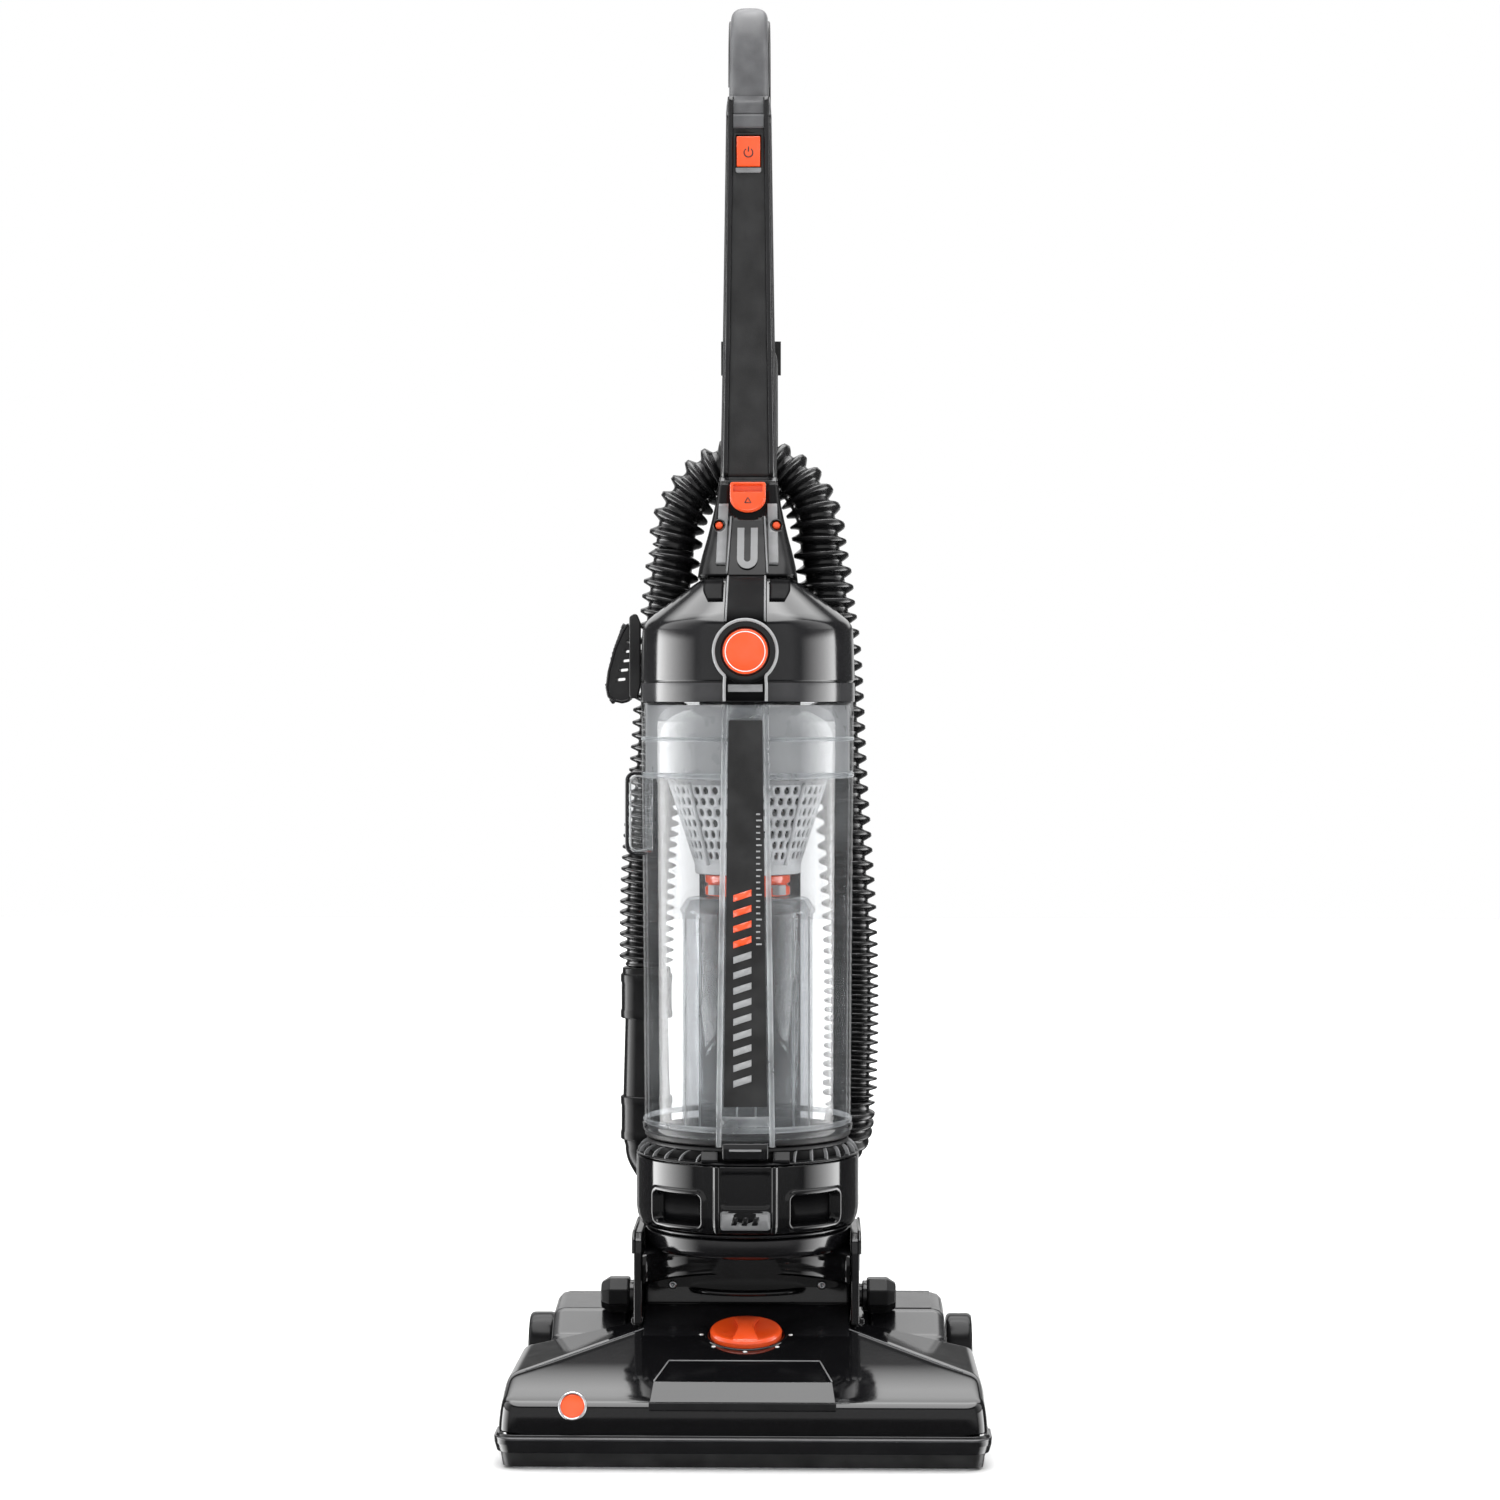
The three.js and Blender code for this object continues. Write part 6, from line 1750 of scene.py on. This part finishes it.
stroke_path = np.array([(0, symbol_y, z) for z in np.linspace(symbol_z + 0.8, symbol_z + 4.8, 5)])
symbol = together(
    rod(arc_path, 0.42),
    rod(stroke_path, 0.42),
)
piece("switch_symbol", *symbol, "power_switch", HANDLE, "matt_black")


def oblong_outline(half, low, high, radius, top_radius=None):
    """A rounded rectangle about x = 0, as (x, z) pairs; the upper corners may have their own radius."""
    top = radius if top_radius is None else top_radius
    corners = [(-half, low, radius), (half, low, radius), (half, high, top), (-half, high, top)]
    return rounded(corners, radius, 4)


def flat_frame(outer, inner, low_y, high_y):
    """A flat frame in X and Z with an opening, from two outlines of equally many points."""
    rings = ((low_y, outer), (high_y, outer), (high_y, inner), (low_y, inner))
    points = [(x, y, z) for y, line in rings for x, z in line]
    return points, tube_faces(4, len(outer), True, True)


switch_front = front_of_stem(975)
bezel_outer = oblong_outline(SW_HALF + 2.6, SW_Z0 - 4, SW_Z1 + 2.6, 2)
bezel_inner = oblong_outline(SW_HALF + 0.8, SW_Z0 - 1, SW_Z1 + 1, 1)
bezel_frame = flat_frame(bezel_outer, bezel_inner, switch_front - 0.5, switch_front + 3)
bezel = piece("switch_bezel", *bezel_frame, "upright", HANDLE, "body_black")
soften(bezel, 0.4, 2)
lip_outline = oblong_outline(SW_HALF + 0.8, SW_Z0 - 4.4, SW_Z0 - 0.6, 2.4, 0.5)
switch_lip = prism(lip_outline, front_of_stem(963) - 2.2, front_of_stem(963) + 2, "y")
soften(piece("switch_lip", *switch_lip, "upright", LIGHT_GREY, "grip_grey"), 0.4, 2)

loop_line = [
    (0, 67, 1003), (0, 66, 1034), (0, 71, 1063), (0, 88, 1082), (0, 112, 1080), (0, 131, 1060),
    (0, 138, 1028), (0, 134, 990), (0, 119, 957), (0, 97, 934), (0, 84, 925),
]
loop_path, _ = smooth_path(loop_line, 120)


def grip_section(i, share):
    """A soft oblong across the loop: wide across X, thinner through the hand."""
    half, thick = 15.8, 11.4
    pinch = 1 - 0.1 * math.sin(math.pi * share)
    return [
        (
            half * pinch * math.copysign(abs(math.cos(a)) ** 0.62, math.cos(a)),
            thick * math.copysign(abs(math.sin(a)) ** 0.72, math.sin(a)),
        )
        for a in (TAU * k / 36 for k in range(36))
    ]


grip = piece("grip_loop", *swept(loop_path, grip_section), "upright", GRIP, "grip_grey", ["handle_grip"])
even_shading(grip)
neck_foot = [oblong(half, front, rear, 6, z) for z, half, front, rear in (
    (1003, 17.6, 51, 84), (1006, 17.6, 51, 84), (1012, 17.2, 52, 82), (1019, 16.4, 54, 79))]
even_shading(piece("grip_foot", *skinned(neck_foot), "upright", GRIP, "grip_grey"))
tongue_rings = []
for k, z in enumerate(np.linspace(1004, 993.4, 7)):
    front = front_of_stem(z)
    tongue_rings.append(oblong(12.6 - 0.1 * k, front - 1.6, front + 3, 1.4, z, 3))
even_shading(piece("grip_tongue", *skinned(tongue_rings), "upright", GRIP, "grip_grey"))
loop_ups = frames_along(loop_path)[1]
for side, name in ((1, "right"), (-1, "left")):
    seam = np.array([loop_path[i] + np.array([side * 14.6, 0, 0]) for i in range(10, 108)])
    piece(f"grip_seam_{name}", *rod(seam, 1.5), "upright", RUBBER, "rubber")
pads = []
for k in range(34, 74, 4):
    p, up = loop_path[k], loop_ups[k]
    line = np.array([p + np.array([x, 0, 0]) + up * 10.9 for x in np.linspace(-9, 9, 7)])
    pads.append(rod(line, 1.1))
piece("grip_pads", *together(*pads), "upright", RUBBER, "rubber")

# -------------------------------------------------- ribbed hoses, wand, cuffs
def ribbed(path, length, pitch_of, crest, valley, bore, sides=26):
    """A hose whose rib winds round an even path; pitch_of(share) gives the rib's spacing along the length."""
    count = len(path)
    phase = np.zeros(count)
    for i in range(1, count):
        phase[i] = phase[i - 1] + (length / count) / pitch_of(i / count)
    side, up = frames_along(path)
    points = []
    for i in range(count):
        fade = min(1.0, i / 6, (count - 1 - i) / 6)
        for k in range(sides):
            a = TAU * k / sides
            wave = (phase[i] + k / sides) % 1.0
            rib = min(1, max(0, (1 - abs(wave * 2 - 1) - 0.28) / 0.5))
            r = valley + (crest - valley) * rib * fade
            points.append(tuple(path[i] + side[i] * (r * math.cos(a)) + up[i] * (r * math.sin(a))))
    for i in reversed(range(count)):
        for k in range(sides):
            a = TAU * k / sides
            points.append(tuple(path[i] + side[i] * (bore * math.cos(a)) + up[i] * (bore * math.sin(a))))
    return points, tube_faces(2 * count, sides, True, True)


WAND_X, WAND_Y, _ = middle("wand")
WAND_HIGH = span("wand")[2][1]
HOSE_R, HOSE_BORE = 21.5, 12.6
left_leg = [
    (WAND_X, WAND_Y, WAND_HIGH + 0.8), (WAND_X, WAND_Y, WAND_HIGH + 20), (-79.5, 91, 420), (-72.5, 96, 510),
    (-68, 101, 590), (-64.8, 103, 622), (-59.8, 104.7, 668),
]
arch = [
    (-59.6, 104.8, 669), (-56, 106, 691.5), (-46.4, 108.5, 711.5), (-36, 110, 723.6), (-19, 111, 734.2),
    (0, 111.3, 738.2), (18, 111, 734.2), (34, 110, 723.6), (44.4, 108.5, 711.5), (52.6, 106, 691.5),
    (55.6, 104.8, 669), (59.2, 104, 648), (62.4, 103.4, 620), (66.4, 103, 590), (72, 97, 480), (79, 91, 370),
    (80, 90, 290), (79, 90, 256), (79, 90, 237),
]
leg_path, leg_length = smooth_path(left_leg, 400)
arch_path, arch_length = smooth_path(arch, 1100)
leg = piece(
    "hose_left_leg",
    *ribbed(leg_path, leg_length, lambda t: 8.4 + 3.4 * step(t, 0.3, 0.9), HOSE_R, 15.6, HOSE_BORE),
    None,
    HOSE_SKIN,
    "rubber",
)
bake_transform(leg)
piece(
    "hose_arch",
    *ribbed(arch_path, arch_length, lambda t: 12.2 - 5.0 * step(t, 0.66, 0.9), HOSE_R, 15.2, HOSE_BORE),
    "upright",
    HOSE_SKIN,
    "rubber",
    ["hose"],
)

wand_profile = [
    (14.6, 205), (19.6, 205), (20.4, 205.8), (20.4, 211), (19.8, 212), (19.8, 232), (20.4, 233),
    (20.4, 238.2), (19.6, 239), (18.4, 239.6), (16.8, 299.6), (17.4, 300), (19.6, 300.2), (20.4, 301),
    (20.4, 306), (19.8, 307), (19.8, 328), (20.4, 329), (20.4, 334), (19.6, 335), (19, 335.6), (19, 339),
    (18.4, 340), (14.6, 340),
]
wand_tube = piece(
    "wand_tube", *turn(wand_profile, (WAND_X, WAND_Y), 72), "wand", DIM_BLACK, "matt_black", ["wand"]
)
even_shading(wand_tube)
elbow_line = [
    (WAND_X, WAND_Y, 204.6), (WAND_X, WAND_Y, 196), (-72, 99, 178), (-62, 109, 163), (-60, 111, 153),
    (-60, 111, 150),
]
elbow_path, _ = smooth_path(elbow_line, 40)


def cuffed(radius, ring_radius, marks):
    """A tube's radius along its length, wider at each mark."""
    return lambda i, t: ring_radius if any(abs(t - m) < 0.05 for m in marks) else radius


elbow = piece(
    "elbow_tube",
    *hollow_sweep(elbow_path, cuffed(16.4, 17.6, (0.02, 0.97)), 13.4, 36),
    "upright",
    DIM_BLACK,
    "matt_black",
    ["lower_elbow"],
)
even_shading(elbow)
end_line = [(79, 90, 236.4), (79, 90, 226), (75, 97, 207), (63, 108, 195), (50, 116, 190), (40.6, 118, 189)]
end_path, _ = smooth_path(end_line, 150)
TAIL_RIBS = 9


def tail_radius(i, share):
    """Ribs like the hose's, which give way to a plain collar at the end."""
    if share > 0.78:
        return 17.0
    wave = share / 0.78 * TAIL_RIBS % 1.0
    return 15.0 + 4.6 * min(1, max(0, (1 - abs(wave * 2 - 1) - 0.28) / 0.5))


cuff = piece(
    "cuff_tube",
    *hollow_sweep(end_path, tail_radius, 13.8, 36),
    "upright",
    HOSE_SKIN,
    "matt_black",
    ["hose_end_cuff"],
)
even_shading(cuff)
duct_line = [(-60, 107, 28.8), (-60, 107, 40), (-60, 112, 85), (-60, 111, 138), (-60, 111, 148.6)]
duct_path, duct_length = smooth_path(duct_line, 160)
duct = piece(
    "duct_hose",
    *ribbed(duct_path, duct_length, lambda t: 5.0, 14.1, 11.8, 10.4),
    None,
    HOSE_SKIN,
    "rubber",
    ["nozzle_hose"],
)
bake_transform(duct)

# -------------------------------------------------- dusting brush on its post
tool_line = [
    (-92.8, 611.6), (-98, 604), (-104.4, 590), (-109.2, 572), (-110.8, 560), (-109.4, 552.6), (-104, 549.6),
    (-99, 548.4), (-92.8, 550),
]
tool_outline = rounded(tool_line, 3, 4)
tool = piece(
    "tool_body", *prism(tool_outline, 72.4, 105.6, "y"), "brush_tool", MATT, "matt_black", ["brush_tool"],
)
for k in range(5):
    z = 564.5 + 7.4 * k
    x = -104.2 + 2.1 * k
    slot_line = rounded([(x, z), (x + 7.4, z + 0.8), (x + 7.4, z + 3.2), (x, z + 2.6)], 1, 3)
    cutting(prism(slot_line, 60, 120, "y"), tool)
soften(tool, 1.2, 3)
heel_line = rounded(
    [(-93.4, 551), (-93.4, 615), (-88, 618.4), (-84.6, 610), (-84.6, 561), (-87, 551.5)], 3, 4,
)
heel = piece("tool_heel", *prism(heel_line, 65, 74.6, "y"), "brush_tool", MATT, "matt_black")
soften(heel, 1.2, 3)
rim_line = np.array([(x - 0.4, 73.2, z) for x, z in tool_outline[2:-2]])
piece("tool_rim", *rod(rim_line, 1.3, 10), "brush_tool", SATIN, "matt_black")
bristles = []
for k in range(16):
    share = k / 15
    x = float(np.interp(share, [0, 0.5, 0.8, 1], [-97, -106, -110.4, -107]))
    z = float(np.interp(share, [0, 0.5, 0.8, 1], [606, 584, 562, 551]))
    for y in (80, 89, 98):
        root = np.array([x + 1.5, y, z])
        tip = root + np.array([-4.4 + 1.2 * share, 0.6 * math.sin(7 * k + y), 2.4 - 4.8 * share])
        bristles.append(swept(np.linspace(root, tip, 4), lambda i, t: circle(1.5 + 0.7 * t, 8)))
piece("tool_bristles", *together(*bristles), "brush_tool", BRISTLE, "rubber")

# -------------------------------------------------- power cord wound on its hooks
HOOK_TOP = span("power_cord")[2][1] - 19.5
HOOK_BOTTOM = span("power_cord")[2][0] + 19.5
CORD_R = 3.1


def cord_loop(half, y, sway):
    """One turn of cord between the hooks, slack in the straight runs."""
    line = []
    for side, z0, z1 in ((1, HOOK_TOP, HOOK_BOTTOM), (-1, HOOK_BOTTOM, HOOK_TOP)):
        for k in range(13):
            a = math.pi * k / 12
            line.append((side * half * math.cos(a), y, z0 + side * half * math.sin(a)))
        for k in range(1, 12):
            t = k / 12
            slack = half + sway * math.sin(math.pi * t)
            line.append((-side * slack, y + side * 0.5 * math.sin(TAU * t), z0 + (z1 - z0) * t))
    path = np.array(line)
    points = []
    n = len(path)
    for i in range(n):
        ahead, behind = path[(i + 1) % n], path[i - 1]
        tangent = (ahead - behind) / np.linalg.norm(ahead - behind)
        side = np.array([0, 1.0, 0]) - tangent * tangent[1]
        side /= np.linalg.norm(side)
        up = np.cross(tangent, side)
        points += [tuple(path[i] + side * a + up * b) for a, b in circle(CORD_R, 12)]
    return points, tube_faces(n, 12, True, True)


inner_half, outer_half = 9.7 + CORD_R, 9.3 + 3 * CORD_R
turns = [
    cord_loop(inner_half, 136, 0.6), cord_loop(inner_half, 142.6, 0.9), cord_loop(outer_half, 135.9, -0.4),
    cord_loop(outer_half, 142.4, 0.2), cord_loop(13.4 + CORD_R, 139.2, 0.3),
]
piece("cord_turns", *together(*turns), "upright", RUBBER, "rubber", ["power_cord"])
plug_rings = []
for z, half_x, half_y in (
    (556, 3.4, 3.4), (561, 5.4, 4.6), (566, 6.4, 5.6), (588, 6.6, 5.8), (594, 6.2, 5.4), (596, 5.4, 4.8),
):
    plug_rings.append(
        [
            (-24.5 + half_x * math.cos(a), 139.4 + half_y * math.sin(a), z)
            for a in (TAU * k / 28 for k in range(28))
        ]
    )
even_shading(piece("plug_body", *skinned(plug_rings), "upright", RUBBER, "rubber"))
blades = [
    prism(rounded([(x, 595), (x + 1.6, 595), (x + 1.6, 612), (x, 612)], 0.6, 3), 136.5, 142.2, "y")
    for x in (-29, -22)
]
soften(piece("plug_blades", *together(*blades), "upright", STEEL, "steel"), 0.3, 2)
relief_path = np.array([(-24.5 + 3.5 * t * t, 139.4, 557 - 26 * t) for t in np.linspace(0, 1, 24)])
relief = swept(relief_path, lambda i, t: circle(CORD_R * (1.12 if i % 3 else 0.86), 12))
piece("plug_relief", *relief, "upright", RUBBER, "rubber")

# -------------------------------------------------- floor, light and camera
def stage_floor():
    """A pale floor of 12 m a side."""
    ticks = [-6.0 + k for k in range(13)]
    mesh = bpy.data.meshes.new("stage_floor")
    mesh.from_pydata([(x, y, 0.0) for y in ticks for x in ticks], [], grid_faces(len(ticks), len(ticks)))
    obj = bpy.data.objects.new("stage_floor", mesh)
    bpy.context.scene.collection.objects.link(obj)
    s = Shader("stage_paper")
    body = s.add("BsdfPrincipled", Roughness=0.85)
    body.inputs["Specular IOR Level"].default_value = 0.1
    s.link(s.mix(s.ramp(s.noise(1.5, 2), 0, 1), (0.93, 0.93, 0.93), (0.96, 0.96, 0.96)), body, "Base Color")
    mesh.materials.append(s.surface(body.outputs["BSDF"]))
    obj.visible_glossy = False


def studio():
    """A white surround for the camera; for the rest, tall side softboxes, a soft top and a pale back."""
    world = bpy.data.worlds.new("studio")
    bpy.context.scene.world = world
    world.use_nodes = True
    nodes, links = world.node_tree.nodes, world.node_tree.links
    nodes.clear()
    out = nodes.new("ShaderNodeOutputWorld")
    place = nodes.new("ShaderNodeTexCoord")
    split = nodes.new("ShaderNodeSeparateXYZ")
    links.new(place.outputs["Generated"], split.inputs[0])

    def maths(operation, a, b=None, c=None):
        node = nodes.new("ShaderNodeMath")
        node.operation = operation
        for socket, value in zip(node.inputs, (a, b, c)):
            if value is None:
                continue
            if isinstance(value, (int, float)):
                socket.default_value = value
            else:
                links.new(value, socket)
        return node.outputs[0]

    def band(value, low, high, soft):
        """1 between low and high, easing to 0 over soft at each end."""
        slopes = []
        for inside in (maths("SUBTRACT", value, low - soft), maths("SUBTRACT", high + soft, value)):
            share = maths("MAXIMUM", maths("DIVIDE", inside, soft), 0.0)
            slopes.append(maths("SMOOTH_MIN", share, 1.0, 0.05))
        return maths("MULTIPLY", *slopes)

    x, y, z = (split.outputs[k] for k in range(3))
    # azimuth 0 is straight behind the object, and 90 is to its right
    azimuth = maths("MULTIPLY", maths("ARCTAN2", x, y), 180 / math.pi)
    height = maths("MULTIPLY", maths("ARCSINE", z), 180 / math.pi)
    upright = maths("ADD", band(height, -55, 6, 3), maths("MULTIPLY", band(height, 13, 62, 4), 0.25))
    ahead = band(maths("SUBTRACT", 180, maths("ABSOLUTE", azimuth)), -10, 48, 20)
    fade = maths("MULTIPLY", maths("ADD", azimuth, 124), 1 / 50)
    left = maths("MULTIPLY", band(azimuth, -122, -67, 2), maths("MINIMUM", fade, 1.0))
    fade_right = maths("MULTIPLY", maths("SUBTRACT", 120, azimuth), 1 / 44)
    right = maths("MULTIPLY", band(azimuth, 70, 118, 2), maths("MINIMUM", fade_right, 1.0))
    boxes = [
        (maths("MULTIPLY", left, upright), 13.0),
        (maths("MULTIPLY", right, upright), 11.0),
        (band(height, 66, 90, 8), 7.6),
        (maths("MULTIPLY", band(azimuth, -24, 24, 8), band(height, 9, 24, 3)), 1.3),
        (maths("MULTIPLY", band(azimuth, -20, 20, 8), band(height, -14, 2, 2)), 0.9),
        (maths("MULTIPLY", band(azimuth, -50, 50, 14), band(height, 44, 60, 11)), 4.5),
        (maths("MULTIPLY", ahead, band(height, -4, 40, 6)), 0.8),
    ]
    total = None
    for mask, strength in boxes:
        lit = maths("MULTIPLY", mask, strength)
        total = lit if total is None else maths("ADD", total, lit)
    total = maths("ADD", total, 0.12)
    seen = nodes.new("ShaderNodeBackground")
    seen.inputs["Color"].default_value = (1, 1, 1, 1)
    shine = nodes.new("ShaderNodeBackground")
    links.new(total, shine.inputs["Strength"])
    fill = nodes.new("ShaderNodeBackground")
    fill.inputs["Strength"].default_value = 1.25
    path = nodes.new("ShaderNodeLightPath")
    matt = nodes.new("ShaderNodeMixShader")
    links.new(path.outputs["Is Diffuse Ray"], matt.inputs[0])
    links.new(shine.outputs[0], matt.inputs[1])
    links.new(fill.outputs[0], matt.inputs[2])
    mix = nodes.new("ShaderNodeMixShader")
    links.new(path.outputs["Is Camera Ray"], mix.inputs[0])
    links.new(matt.outputs[0], mix.inputs[1])
    links.new(seen.outputs[0], mix.inputs[2])
    links.new(mix.outputs[0], out.inputs["Surface"])


CAMERA_PLACE = (0.055, -2.612, 0.55)
CAMERA_TURN = math.radians(1.2)
CAMERA_LENS, CAMERA_SHIFT = 82.44, (1 / 600, -1 / 30)


def camera():
    """Level, in front of the machine and a little to its right."""
    data = bpy.data.cameras.new("camera")
    data.sensor_width = 36.0
    data.lens = CAMERA_LENS
    data.shift_x, data.shift_y = CAMERA_SHIFT
    obj = bpy.data.objects.new("camera", data)
    bpy.context.scene.collection.objects.link(obj)
    obj.location = CAMERA_PLACE
    obj.rotation_euler = (math.pi / 2, 0, CAMERA_TURN)
    bpy.context.scene.camera = obj


stage_floor()
studio()
camera()
bpy.context.scene.view_settings.view_transform = "Standard"
bpy.context.scene.view_settings.look = "None"
